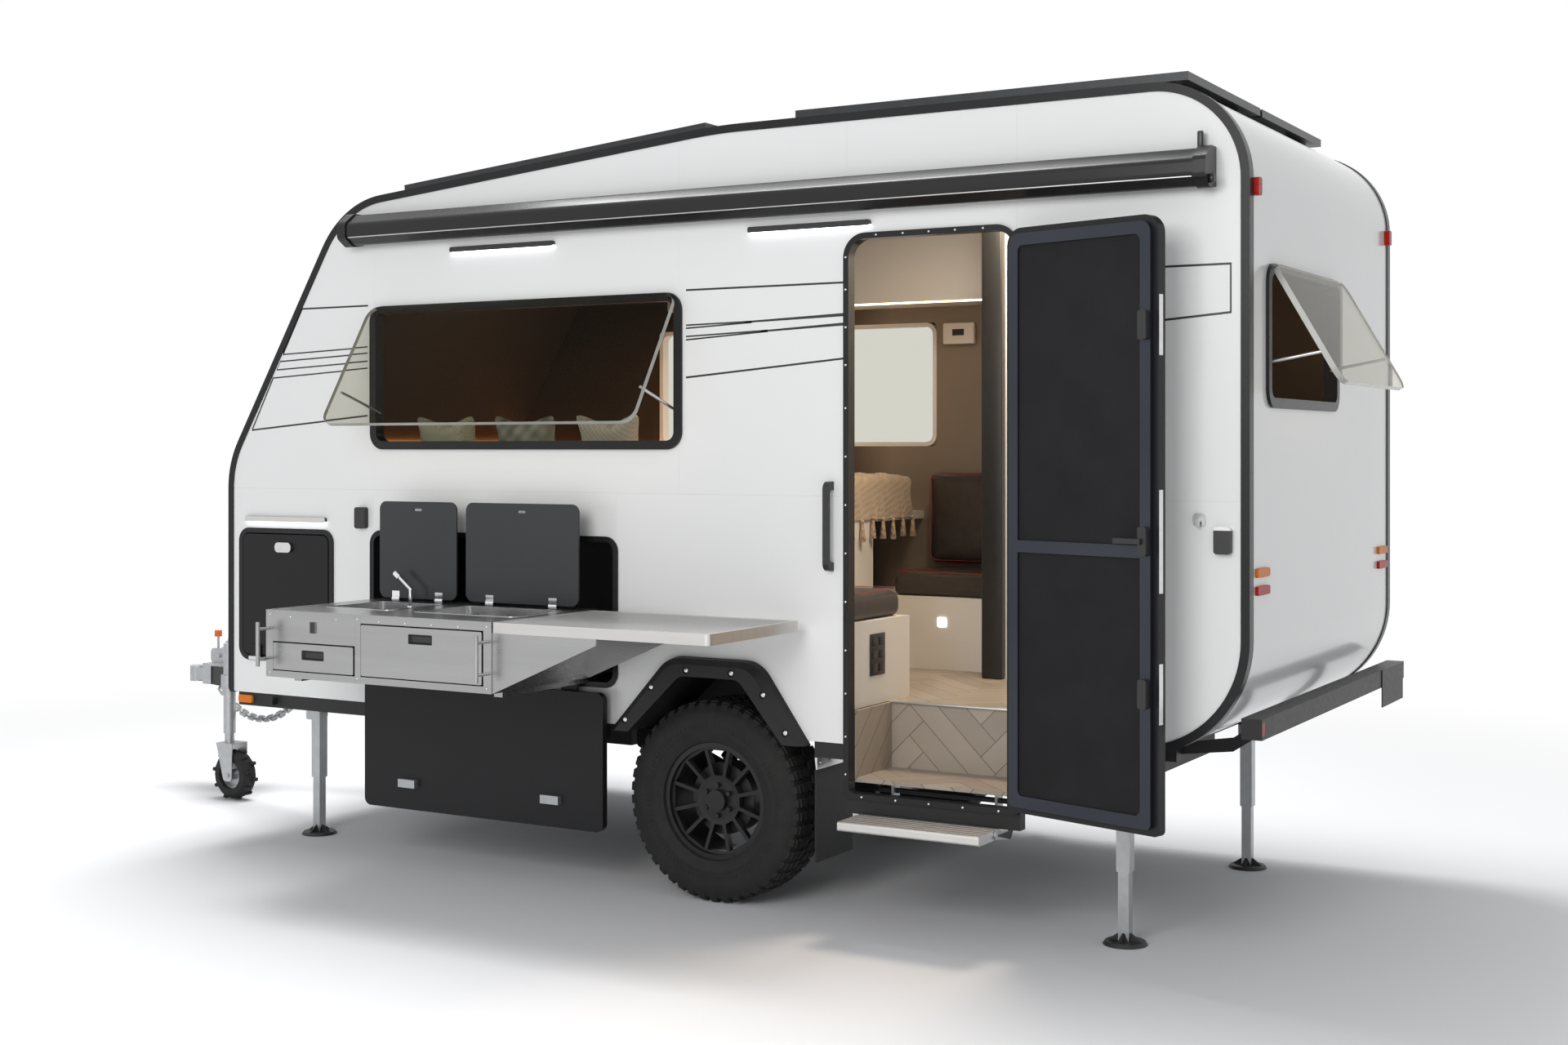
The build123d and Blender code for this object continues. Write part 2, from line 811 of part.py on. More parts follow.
def side_walls():
    """Both side walls, with their windows, hatches, arches and the doorway cut."""
    wall = plate_y(shell_outline(), INNER, HALF)
    wall = wall - through_wall(arch_outline(ARCH_CUT))
    wall = wall - through_wall(hatch_cut(HATCH_REAR_X, HATCH_FRONT_X, HATCH_BOTTOM, HATCH_TOP))
    window = window_cut(SIDE_WINDOW_WIDTH, SIDE_WINDOW_HEIGHT)
    left = wall - through_wall(Pos(SIDE_WINDOW_X, SIDE_WINDOW_Z) * window)
    left = left - through_wall(hatch_cut(BAY_REAR_X, BAY_FRONT_X, BAY_BOTTOM, BAY_TOP))
    left = left - through_wall(door_outline(DOOR_FRAME_FACE - DOOR_FRAME_SLEEVE - FIT))
    right = wall - through_wall(Pos(RIGHT_WINDOW_X, SIDE_WINDOW_Z) * window)
    return left_panels(left), mirrored(right)


def shell_wrap():
    """The front, roof and rear panels: one skin bent round the outline, split at its seams."""
    ring = shell_outline() - offset(shell_outline(), -WALL)
    band = plate_y(ring, -INNER, INNER)
    front = band & block(ROOF_FRONT_X, FRONT_X + WALL, -INNER, INNER, BODY_BOTTOM, ROOF_Z)
    front = front - block(ROOF_FRONT_X, FRONT_X - WALL, -INNER, INNER, 0, FLOOR_TOP)
    seam_x = REAR_X + REAR_TOP_RADIUS
    roof = band & block(seam_x, ROOF_FRONT_X, -INNER, INNER, KNEE_Z, ROOF_Z + WALL)
    rear_upper = band & block(REAR_X - WALL, seam_x, -INNER, INNER, BODY_BOTTOM, ROOF_Z + WALL)
    rear_lower = band & block(seam_x, REAR_FLOOR_X, -INNER, INNER, BODY_BOTTOM - WALL, FLOOR_TOP)
    rear = rear_upper + rear_lower
    window = Pos(REAR_WINDOW_Y, REAR_WINDOW_Z) * window_cut(REAR_WINDOW_WIDTH, REAR_WINDOW_HEIGHT)
    return front, roof, rear - plate_x(window, REAR_X - THROUGH, REAR_X + WALL + THROUGH)


def floor_panel():
    """The floor, cut for the step well and the two wheel arches."""
    inside = plate_y(offset(shell_outline(), -WALL), -INNER, INNER)
    slab = block(REAR_X, REAR_FLOOR_X, -INNER, INNER, FLOOR_TOP - FLOOR_THICK, FLOOR_TOP) & inside
    slab = slab + block(REAR_FLOOR_X, FRONT_X - WALL, -INNER, INNER, FLOOR_TOP - FLOOR_THICK, FLOOR_TOP)
    well = block(DOOR_FRAME_REAR_X, DOOR_FRAME_FRONT_X, WELL_INNER_Y - WELL_SHEET, HALF, 0, FAR)
    arch = plate_y(arch_outline(ARCH_CUT), ARCH_INNER_Y - ARCH_LINER, HALF)
    return slab - well - arch - mirrored(arch)


def edge_trims():
    """The dark edge strips that cover the joint of the side walls and the skin."""
    outer = offset(shell_outline(), TRIM_THICK)
    ring = outer - offset(shell_outline(), -TRIM_WIDTH)
    face = plate_y(ring, HALF, HALF + TRIM_THICK)
    lip = plate_y(outer - shell_outline(), INNER, HALF)
    low_top = BODY_BOTTOM + 2 * TRIM_WIDTH
    low = block(DOOR_FRAME_REAR_X - TRIM_WIDTH, FRONT_X - TRIM_WIDTH, 0, FAR, 0, low_top)
    left = face + lip - low
    return [left, mirrored(left)]


def window_cut(width, height):
    """The hole in the wall for a window's sleeve."""
    return sheet(width - 2 * WINDOW_LAP, height - 2 * WINDOW_LAP, WINDOW_HOLE_CORNER)


def window_frame(width, height):
    """A window's flange and sleeve, drawn flat with the outside upwards and its wall below."""
    outer = sheet(width, height, WINDOW_CORNER)
    face = 2 * WINDOW_FLANGE
    opening = sheet(width - face, height - face, WINDOW_CORNER - WINDOW_FLANGE)
    lap = 2 * WINDOW_LAP + 2 * FIT
    sleeve = sheet(width - lap, height - lap, WINDOW_CORNER - WINDOW_LAP)
    return extrude(outer - opening, WINDOW_FLANGE_THICK) + extrude(sleeve - opening, -WALL)


def window_pane(width, height, angle):
    """A double acrylic pane, drawn flat and turned about its top edge."""
    pane_width = width - 2 * PANE_MARGIN
    pane_height = height - 2 * PANE_MARGIN
    pane = extrude(sheet(pane_width, pane_height, WINDOW_CORNER - PANE_MARGIN), PANE_THICK)
    hung = Rot(-angle, 0, 0) * Pos(0, -pane_height / 2, 0) * pane
    return Pos(0, pane_height / 2, WINDOW_FLANGE_THICK + FIT) * hung


def window_stays(width, height, angle):
    """The two stays that hold a pane open, from the sleeve's sides to the back of the pane."""
    pane_height = height - 2 * PANE_MARGIN
    radius = STAY_DIAMETER / 2
    x = width / 2 - WINDOW_FLANGE - radius - FIT
    start = Vector(x, STAY_RISE + WINDOW_FLANGE - height / 2, -STAY_DEPTH)
    hang = Vector(0, -1, 0).rotate(Axis.X, -angle)
    inward = Vector(0, 0, -1).rotate(Axis.X, -angle)
    top = Vector(x, pane_height / 2, WINDOW_FLANGE_THICK + FIT)
    touch = top + hang * (STAY_REACH * pane_height)
    lean = (touch - start).normalized().dot(inward)
    end = touch + inward * (radius * (1 - lean * lean) ** 0.5 + FIT)
    stay = rod((start.X, start.Y, start.Z), (end.X, end.Y, end.Z), STAY_DIAMETER)
    return [stay, mirror(stay, about=Plane.YZ)]


def windows():
    """The three window frames, their panes and stays: left and rear open, right closed."""
    left = Plane(origin=(SIDE_WINDOW_X, HALF, SIDE_WINDOW_Z), x_dir=(-1, 0, 0), z_dir=(0, 1, 0))
    right = Plane(origin=(RIGHT_WINDOW_X, -HALF, SIDE_WINDOW_Z), x_dir=(1, 0, 0), z_dir=(0, -1, 0))
    rear = Plane(origin=(REAR_X, REAR_WINDOW_Y, REAR_WINDOW_Z), x_dir=(0, -1, 0), z_dir=(-1, 0, 0))
    side_frame = window_frame(SIDE_WINDOW_WIDTH, SIDE_WINDOW_HEIGHT)
    rear_frame = window_frame(REAR_WINDOW_WIDTH, REAR_WINDOW_HEIGHT)
    frames = [left * side_frame, right * side_frame, rear * rear_frame]
    panes = [
        left * window_pane(SIDE_WINDOW_WIDTH, SIDE_WINDOW_HEIGHT, SIDE_PANE_OPEN),
        right * window_pane(SIDE_WINDOW_WIDTH, SIDE_WINDOW_HEIGHT, 0),
        rear * window_pane(REAR_WINDOW_WIDTH, REAR_WINDOW_HEIGHT, REAR_PANE_OPEN),
    ]
    stays = [left * stay for stay in window_stays(SIDE_WINDOW_WIDTH, SIDE_WINDOW_HEIGHT, SIDE_PANE_OPEN)]
    stays += [rear * stay for stay in window_stays(REAR_WINDOW_WIDTH, REAR_WINDOW_HEIGHT, REAR_PANE_OPEN)]
    return frames, panes, stays


def door_outline(inset):
    """The doorway's outline, drawn in from the frame's outer edge."""
    points = [
        (DOOR_FRAME_FRONT_X - inset, DOOR_FRAME_BOTTOM + inset),
        (DOOR_FRAME_FRONT_X - inset, DOOR_FRAME_TOP - inset),
        (DOOR_FRAME_REAR_X + inset, DOOR_FRAME_TOP - inset),
        (DOOR_FRAME_REAR_X + inset, DOOR_FRAME_BOTTOM + inset),
    ]
    corner = max(DOOR_CORNER - inset, SILL_RADIUS)
    return polygon(points, [SILL_RADIUS, corner, corner, SILL_RADIUS])


def door_frame():
    """The doorway's frame: an outer flange and a sleeve through the wall."""
    opening = door_outline(DOOR_FRAME_FACE)
    flange = plate_y(door_outline(0) - opening, HALF, HALF + DOOR_FRAME_FLANGE)
    sleeve = plate_y(door_outline(DOOR_FRAME_FACE - DOOR_FRAME_SLEEVE) - opening, INNER, HALF)
    return flange + sleeve


def door_turn(angle):
    """A turn of the door about its hinge line."""
    return Pos(DOOR_HINGE_X, DOOR_HINGE_Y, 0) * Rot(0, 0, angle) * Pos(-DOOR_HINGE_X, -DOOR_HINGE_Y, 0)


def entry_door():
    """The door's leaf, with its hinge knuckles and the pull on its outside."""
    outer_y = HALF + DOOR_PROUD
    leaf = plate_y(door_outline(DOOR_FRAME_FACE + RUNNING), DOOR_INNER_Y, outer_y)
    middle_z = (DOOR_FRAME_BOTTOM + DOOR_FRAME_TOP) / 2
    half = DOOR_KNUCKLE_LENGTH / 2
    for z in (DOOR_FRAME_BOTTOM + DOOR_HINGE_RISE, middle_z, DOOR_FRAME_TOP - DOOR_HINGE_DROP):
        low = (DOOR_HINGE_X, DOOR_HINGE_Y, z - half)
        high = (DOOR_HINGE_X, DOOR_HINGE_Y, z + half)
        strap = block(DOOR_HINGE_X, DOOR_HINGE_X + DOOR_STRAP, outer_y, outer_y + DOOR_STRAP_THICK,
                      z - DOOR_STRAP / 2, z + DOOR_STRAP / 2)
        leaf = leaf + rod(low, high, 2 * DOOR_KNUCKLE) + strap
    pull_x = DOOR_FRAME_FRONT_X - DOOR_FRAME_FACE - RUNNING - DOOR_HANDLE_HEIGHT
    half = DOOR_HANDLE_HEIGHT / 2
    pull = rounded(pull_x - DOOR_HANDLE_LENGTH, pull_x, DOOR_HANDLE_Z - half, DOOR_HANDLE_Z + half, half)
    leaf = leaf + plate_y(pull, outer_y, outer_y + DOOR_HANDLE_PROUD)
    return door_turn(DOOR_OPEN) * leaf


def door_screen():
    """The security screen inside the door: a bar frame, a middle rail, its mesh and three locks."""
    inset = DOOR_FRAME_FACE + RUNNING + SCREEN_MARGIN
    face_y = DOOR_INNER_Y - SCREEN_DEPTH
    outline = door_outline(inset)
    screen = plate_y(outline - door_outline(inset + SCREEN_BAR), face_y, DOOR_INNER_Y)
    rear_x = DOOR_FRAME_REAR_X + inset
    front_x = DOOR_FRAME_FRONT_X - inset
    half = SCREEN_BAR / 2
    screen = screen + block(rear_x, front_x, face_y, DOOR_INNER_Y, SCREEN_RAIL_Z - half, SCREEN_RAIL_Z + half)
    middle = (face_y + DOOR_INNER_Y) / 2
    screen = screen + plate_y(outline, middle - MESH_THICK / 2, middle + MESH_THICK / 2)
    lock_y = face_y - LOCK_PROUD
    lock_x = front_x - SCREEN_BAR / 2
    for z in LOCK_ZS:
        body = Pos(lock_x, z) * sheet(LOCK_WIDTH, LOCK_HEIGHT, LOCK_CORNER)
        screen = screen + plate_y(body, lock_y, face_y)
    lever = block(lock_x - LEVER_LENGTH, lock_x, lock_y - LEVER_THICK, lock_y,
                  DOOR_HANDLE_Z - LEVER_HEIGHT / 2, DOOR_HANDLE_Z + LEVER_HEIGHT / 2)
    return door_turn(DOOR_OPEN) * (screen + lever)


def step_well():
    """The sunken entry step inside the doorway: a folded tray below the floor."""
    front = DOOR_FRAME_FRONT_X - DOOR_FRAME_FACE + DOOR_FRAME_SLEEVE
    rear = DOOR_FRAME_REAR_X + DOOR_FRAME_FACE - DOOR_FRAME_SLEEVE
    outer_y = INNER - WELL_GAP
    outside = block(rear, front, WELL_INNER_Y - WELL_SHEET, outer_y, WELL_FLOOR - WELL_SHEET, FLOOR_TOP)
    inside = block(rear + WELL_SHEET, front - WELL_SHEET, WELL_INNER_Y, FAR, WELL_FLOOR, FAR)
    return outside - inside


def step_arms():
    """The two cranked arms of the folding step, joined by their pivot bar."""
    pivot = (STEP_PIVOT_Y, STEP_PIVOT_Z)
    knee = (STEP_KNEE_Y, STEP_KNEE_Z)
    pin = (STEP_TREAD_Y, STEP_PIN_Z)
    sketch = link(pivot, knee, STEP_ARM_WIDTH) + link(knee, pin, STEP_ARM_WIDTH)
    sketch = sketch - Pos(*pin) * Circle(STEP_PIN / 2 + FIT)
    reach = STEP_TREAD_WIDTH / 2 + STEP_SIDE_GAP
    arms = rod((STEP_X - reach, *pivot), (STEP_X + reach, *pivot), STEP_BAR)
    arms = arms + plate_x(sketch, STEP_X - reach - STEP_ARM_THICK, STEP_X - reach)
    return arms + plate_x(sketch, STEP_X + reach, STEP_X + reach + STEP_ARM_THICK)


def step_tread():
    """The step's grooved tread, with a stub pin at each end for its arm."""
    low = STEP_TREAD_TOP - STEP_TREAD_THICK
    y0 = STEP_TREAD_Y - STEP_TREAD_BACK
    half = STEP_TREAD_WIDTH / 2
    section = rounded(y0, y0 + STEP_TREAD_DEPTH, low, STEP_TREAD_TOP, STEP_NOSE)
    tread = plate_x(section, STEP_X - half, STEP_X + half)
    pitch = STEP_TREAD_DEPTH / (STEP_GROOVES + 1)
    for index in range(STEP_GROOVES):
        groove_y = y0 + (index + 1) * pitch - STEP_GROOVE_WIDTH / 2
        tread = tread - block(STEP_X - FAR, STEP_X + FAR, groove_y, groove_y + STEP_GROOVE_WIDTH,
                              STEP_TREAD_TOP - STEP_GROOVE_DEPTH, FAR)
    reach = half + STEP_SIDE_GAP + STEP_ARM_THICK
    pin = (STEP_TREAD_Y, STEP_PIN_Z)
    return tread + rod((STEP_X - reach, *pin), (STEP_X + reach, *pin), STEP_PIN)


def step_hangers():
    """Ears under the step well that carry the step's pivot bar."""
    ears = []
    for side in (-1, 1):
        x = STEP_X + side * (STEP_TREAD_WIDTH / 2 - STEP_EAR_INSET)
        ear = block(x - STEP_EAR_THICK / 2, x + STEP_EAR_THICK / 2, STEP_PIVOT_Y - STEP_EAR_WIDTH / 2,
                    STEP_PIVOT_Y + STEP_EAR_WIDTH / 2, STEP_PIVOT_Z - STEP_EAR_DROP, WELL_FLOOR - WELL_SHEET)
        start = (x - STEP_EAR_THICK, STEP_PIVOT_Y, STEP_PIVOT_Z)
        end = (x + STEP_EAR_THICK, STEP_PIVOT_Y, STEP_PIVOT_Z)
        ears.append(ear - rod(start, end, STEP_BAR + 2 * FIT))
    return ears


def door_beam():
    """The dark beam across the foot of the doorway."""
    top = DOOR_FRAME_BOTTOM + DOOR_FRAME_FACE - DOOR_FRAME_SLEEVE
    outer_y = HALF - BEAM_INSET
    return block(DOOR_FRAME_REAR_X, DOOR_FRAME_FRONT_X, outer_y - BEAM_THICK, outer_y, top - BEAM_HEIGHT, top)


def chassis_rails():
    """The two long rails under the floor."""
    y = RAIL_Y - RAIL_WIDTH / 2
    left = block(RAIL_REAR_X, RAIL_FRONT_X, y, y + RAIL_WIDTH, RAIL_BOTTOM, RAIL_TOP)
    return [left, mirrored(left)]


def crossmembers():
    """Cross beams between the rails and their outriggers to the sides."""
    inner_y = RAIL_Y - RAIL_WIDTH / 2
    outer_y = RAIL_Y + RAIL_WIDTH / 2
    pieces = []
    for x in CROSSMEMBER_XS:
        x0 = x - CROSSMEMBER_WIDTH / 2
        x1 = x + CROSSMEMBER_WIDTH / 2
        pieces.append(block(x0, x1, -inner_y, inner_y, RAIL_BOTTOM, RAIL_TOP))
        outrigger = block(x0, x1, outer_y, OUTRIGGER_Y, RAIL_BOTTOM, RAIL_TOP)
        pieces.append(outrigger)
        pieces.append(mirrored(outrigger))
    return pieces


def sill_rails():
    """The dark sills under the side walls, ahead of and behind the wheels."""
    outer_y = HALF - SILL_INSET
    inner_y = outer_y - SILL_THICK
    arch_front = ARCH_BOTTOM_FRONT_X + ARCH_LINER
    arch_rear = ARCH_BOTTOM_REAR_X - ARCH_LINER
    front = block(arch_front, FRONT_X - 2 * TRIM_WIDTH, inner_y, outer_y, SILL_BOTTOM, BODY_BOTTOM)
    rear = block(DOOR_FRAME_FRONT_X, arch_rear, inner_y, outer_y, SILL_BOTTOM, BODY_BOTTOM)
    return [front, rear, mirrored(front), mirrored(rear)]


def drawbar():
    """The two beams of the A-frame, straight under the rails and then drawn in to the coupling."""
    half = DRAWBAR_WIDTH / 2
    points = [
        (DRAWBAR_START_X, RAIL_Y - half),
        (DRAWBAR_BEND_X, RAIL_Y - half),
        (DRAWBAR_TIP_X, DRAWBAR_TIP_Y - half),
        (DRAWBAR_TIP_X, DRAWBAR_TIP_Y + half + DRAWBAR_SPREAD),
        (DRAWBAR_BEND_X + DRAWBAR_LEAD, RAIL_Y + half),
        (DRAWBAR_START_X, RAIL_Y + half),
    ]
    outline = polygon(points, [0, DRAWBAR_INNER_BEND, 0, 0, DRAWBAR_OUTER_BEND, 0])
    left = plate_z(outline, DRAWBAR_BOTTOM, RAIL_BOTTOM)
    return [left, mirrored(left)]


def coupling_head():
    """The coupling's cast body: a base plate on the drawbar, a nose, a neck and the eye with its bore."""
    half = COUPLING_WIDTH / 2
    plate_top = RAIL_BOTTOM + COUPLING_PLATE
    body = block(DRAWBAR_TIP_X - COUPLING_PLATE_BACK, NOSE_X, -half, half, RAIL_BOTTOM, plate_top)
    body = body + block(DRAWBAR_TIP_X, NOSE_X, -half, half, DRAWBAR_BOTTOM, RAIL_BOTTOM)
    eye_top = DRAWBAR_BOTTOM + COUPLING_HEIGHT
    body = body + block(NOSE_X, EYE_X, -COUPLING_NECK_WIDTH / 2, COUPLING_NECK_WIDTH / 2,
                        DRAWBAR_BOTTOM + COUPLING_NECK_INSET, eye_top - COUPLING_NECK_INSET)
    body = body + plate_z(Pos(EYE_X, 0) * Circle(COUPLING_EYE / 2), DRAWBAR_BOTTOM, eye_top)
    bore = Pos(EYE_X, 0) * Circle(COUPLING_BORE / 2)
    return body - plate_z(bore, DRAWBAR_BOTTOM - THROUGH, DRAWBAR_BOTTOM + COUPLING_BORE_DEPTH)


def coupling():
    """The tow coupling with its cheeks and cross pin, release knob, brake box and pull ring."""
    plate_top = RAIL_BOTTOM + COUPLING_PLATE
    body = coupling_head()
    pin_z = plate_top + CHEEK_HEIGHT / 2
    pin_x = NOSE_X - CHEEK_LENGTH / 2
    outline = rounded(NOSE_X - CHEEK_LENGTH, NOSE_X, plate_top - CHEEK_LAP, plate_top + CHEEK_HEIGHT,
                      CHEEK_CORNER)
    outer = CHEEK_GAP / 2 + CHEEK_THICK
    cheek = plate_y(outline, CHEEK_GAP / 2, outer)
    pin = rod((pin_x, -outer - CHEEK_THICK, pin_z), (pin_x, outer + CHEEK_THICK, pin_z), CHEEK_PIN)
    body = body + cheek + mirrored(cheek) + pin
    stem = rod((KNOB_X, 0, plate_top - THROUGH), (KNOB_X, 0, KNOB_Z + KNOB_HEIGHT / 2), KNOB_STEM)
    knob = faceted([(0, KNOB_DIAMETER / 2), (KNOB_HEIGHT, KNOB_DIAMETER / 2)], KNOB_SIDES)
    knob = Pos(KNOB_X, 0, KNOB_Z) * knob
    box_x = DRAWBAR_TIP_X - COUPLING_PLATE_BACK
    box_top = plate_top + BRAKE_BOX_HEIGHT
    half = BRAKE_BOX_WIDTH / 2
    box = plate_z(rounded(box_x, box_x + BRAKE_BOX_LENGTH, -half, half, BRAKE_BOX_CORNER), plate_top, box_top)
    ring = Pos(RING_X, 0) * (Circle(RING_DIAMETER / 2) - Circle(RING_DIAMETER / 2 - RING_BAR))
    ring_low = RING_Z - RING_BAR / 2
    half = RING_BAR / 2
    arm_end = RING_X - RING_DIAMETER / 2 + half
    arm = block(box_x + BRAKE_BOX_LENGTH / 2, arm_end, -half, half, ring_low, ring_low + RING_BAR)
    return body + stem + knob + box + arm + plate_z(ring, ring_low, ring_low + RING_BAR)


def octagon(length, width, corner):
    """A rectangle with its four corners cut off."""
    u = length / 2
    v = width / 2
    points = [(u - corner, v), (corner - u, v), (-u, v - corner), (-u, corner - v),
              (corner - u, -v), (u - corner, -v), (u, corner - v), (u, v - corner)]
    return make_face(Polyline(*points, close=True))


def safety_chain():
    """The chain below the left beam: links threaded at right angles, its two ends at the beam."""
    start = Vector(*CHAIN_START, 0)
    end = Vector(*CHAIN_END, 0)
    path = ThreePointArc(start, (start + end) * 0.5 - Vector(0, 0, CHAIN_SAG), end)
    across = Vector(0, 0, 1).cross(end - start).normalized()
    inner = (path @ (1 / CHAIN_LINKS) - start).length + CHAIN_PLAY
    hole = Rectangle(inner, CHAIN_OPENING)
    ring = octagon(inner + 2 * CHAIN_BAR, CHAIN_OPENING + 2 * CHAIN_BAR, CHAIN_BAR) - hole
    piece = extrude(ring, CHAIN_BAR / 2, both=True)
    links = []
    for index in range(CHAIN_LINKS):
        first = path @ (index / CHAIN_LINKS)
        second = path @ ((index + 1) / CHAIN_LINKS)
        plane = Plane(origin=(first + second) * 0.5, x_dir=second - first, z_dir=across)
        lean = CHAIN_LEAN if index % 2 else -CHAIN_LEAN
        links.append(plane * Rot(lean, 0, 0) * piece)
    top = max(piece.bounding_box().max.Z for piece in links)
    return [Pos(0, 0, DRAWBAR_BOTTOM - FIT - top) * piece for piece in links]


def drawbar_y(x):
    """The middle of the left beam at a place along the drawbar."""
    share = (x - DRAWBAR_BEND_X) / (DRAWBAR_TIP_X - DRAWBAR_BEND_X)
    return RAIL_Y + share * (DRAWBAR_TIP_Y - RAIL_Y)


def shackle():
    """The tow shackle hung under the left beam."""
    ring = octagon(SHACKLE_LENGTH, SHACKLE_WIDTH, SHACKLE_WIDTH / 4)
    bars = 2 * SHACKLE_BAR
    ring = ring - octagon(SHACKLE_LENGTH - bars, SHACKLE_WIDTH - bars, SHACKLE_WIDTH / 6)
    y = drawbar_y(SHACKLE_X)
    top = DRAWBAR_BOTTOM - FIT
    return plate_y(Pos(SHACKLE_X, top - SHACKLE_WIDTH / 2) * ring, y - SHACKLE_BAR / 2, y + SHACKLE_BAR / 2)


def padlock():
    """The padlock hung beside the shackle: a body and its square bow."""
    y = drawbar_y(PADLOCK_X)
    top = DRAWBAR_BOTTOM - FIT
    half = PADLOCK_WIDTH / 2
    low = top - PADLOCK_BOW_HEIGHT
    bow = rounded(PADLOCK_X - half, PADLOCK_X + half, low - PADLOCK_BOW, top, PADLOCK_BOW)
    bow = bow - rounded(PADLOCK_X - half + PADLOCK_BOW, PADLOCK_X + half - PADLOCK_BOW, low - 2 * PADLOCK_BOW,
                        top - PADLOCK_BOW, PADLOCK_BOW / 2)
    bow = plate_y(bow, y - PADLOCK_BOW / 2, y + PADLOCK_BOW / 2)
    body = plate_y(rounded(PADLOCK_X - half, PADLOCK_X + half, low - PADLOCK_HEIGHT, low, PADLOCK_BOW),
                   y - PADLOCK_THICK / 2, y + PADLOCK_THICK / 2)
    return bow + body


def lamp_outline(side, grow):
    """The outline of a lamp set in the bumper's rear face, near one end."""
    place = Pos(side * (BUMPER_LENGTH / 2 - END_LAMP_INSET), BUMPER_BOTTOM + BUMPER_SIZE / 2)
    return place * sheet(END_LAMP_WIDTH + 2 * grow, END_LAMP_HEIGHT + 2 * grow, LAMP_CORNER)


def rear_bumper():
    """The square bumper bar with a blank plate behind its far end and pockets for its two lamps."""
    half = BUMPER_LENGTH / 2
    top = BUMPER_BOTTOM + BUMPER_SIZE
    bar = block(BUMPER_REAR_X, BUMPER_REAR_X + BUMPER_SIZE, -half, half, BUMPER_BOTTOM, top)
    y0 = PLATE_INSET - half
    plate = block(BUMPER_REAR_X - PLATE_THICK, BUMPER_REAR_X, y0, y0 + PLATE_WIDTH, top - PLATE_HEIGHT, top)
    floor_x = BUMPER_REAR_X + END_LAMP_DEPTH
    pockets = [plate_x(lamp_outline(side, FIT), BUMPER_REAR_X, floor_x) for side in (-1, 1)]
    return bar - pockets + plate


def bumper_brackets():
    """Steel arms from the rails' ends to the bumper bar."""
    bar_x = BUMPER_REAR_X + BUMPER_SIZE
    knee_x = (RAIL_REAR_X + bar_x) / 2
    lap_x = RAIL_REAR_X + BUMPER_ARM_LAP
    points = [
        (lap_x, RAIL_BOTTOM + BUMPER_ARM),
        (lap_x, RAIL_TOP - 2 * BUMPER_ARM),
        (RAIL_REAR_X, RAIL_TOP - 3 * BUMPER_ARM),
        (knee_x, RAIL_TOP),
        (bar_x, BUMPER_BOTTOM + BUMPER_SIZE - 2 * BUMPER_ARM),
        (bar_x, BUMPER_BOTTOM),
        (knee_x, RAIL_BOTTOM + BUMPER_ARM_KNEE),
    ]
    y = RAIL_Y - RAIL_WIDTH / 2
    left = plate_y(make_face(Polyline(*points, close=True)), y - BUMPER_ARM, y)
    return [left, mirrored(left)]


def tyre(side):
    """A tyre: flat-sided outside, hollowed for the rim and its lips."""
    half = TYRE_WIDTH / 2
    profile = [
        (-half, TYRE_RADIUS - TYRE_WALL_DROP),
        (TYRE_WALL_INSET - half, TYRE_RADIUS - TYRE_SHOULDER_DROP),
        (TYRE_SHOULDER_INSET - half, TYRE_RADIUS),
        (half - TYRE_SHOULDER_INSET, TYRE_RADIUS),
        (half - TYRE_WALL_INSET, TYRE_RADIUS - TYRE_SHOULDER_DROP),
        (half, TYRE_RADIUS - TYRE_WALL_DROP),
    ]
    lip_y = half - RIM_INSET - RIM_LIP_WIDTH - FIT
    lip = RIM_RADIUS + RIM_LIP + FIT
    bore = faceted([(-half, RIM_RADIUS + FIT), (half, RIM_RADIUS + FIT)], TYRE_SIDES, inside=True)
    seat = faceted([(lip_y, lip), (half + THROUGH, lip + TYRE_BEAD_FLARE)], TYRE_SIDES, inside=True)
    ring = faceted(profile, TYRE_SIDES) - bore - seat - mirror(seat, about=Plane.XY)
    return Pos(0, side * WHEEL_Y, TYRE_RADIUS) * Rot(-90, 0, 0) * ring


def rim_face():
    """The wheel's dished face: thin spokes, a hub with its wheel nuts and a plain cap."""
    half = TYRE_WIDTH / 2
    bore = HUB_BORE / 2 + FIT
    hub = HUB_DIAMETER / 2
    hub_y = half - DISH_INSET - DISH_STEP
    outer = RIM_RADIUS - RIM_SHEET / 2
    points = [
        (bore, hub_y - HUB_THICK),
        (outer, half - DISH_INSET - DISH_THICK),
        (outer, half - DISH_INSET),
        (hub, hub_y),
        (bore, hub_y),
    ]
    face = revolve(make_face(Polyline(*points, close=True)), Axis.Y)
    lean = tan(pi / SPOKE_COUNT)
    near = SPOKE_INNER_RADIUS * lean - SPOKE_WIDTH / 2
    far = SPOKE_OUTER_RADIUS * lean - SPOKE_WIDTH / 2
    window = [(-near, SPOKE_INNER_RADIUS), (near, SPOKE_INNER_RADIUS),
              (far, SPOKE_OUTER_RADIUS), (-far, SPOKE_OUTER_RADIUS)]
    cut = plate_y(make_face(Polyline(*window, close=True)), 0, half)
    face = face - [Rot(0, index * 360 / SPOKE_COUNT, 0) * cut for index in range(SPOKE_COUNT)]
    nut = plate_y(Pos(0, STUD_CIRCLE / 2) * RegularPolygon(STUD_DIAMETER / 2, 6), hub_y, hub_y + STUD_HEIGHT)
    face = face + [Rot(0, index * 360 / STUD_COUNT, 0) * nut for index in range(STUD_COUNT)]
    return face + plate_y(Circle(HUB_CAP / 2), hub_y, hub_y + HUB_CAP_HEIGHT)


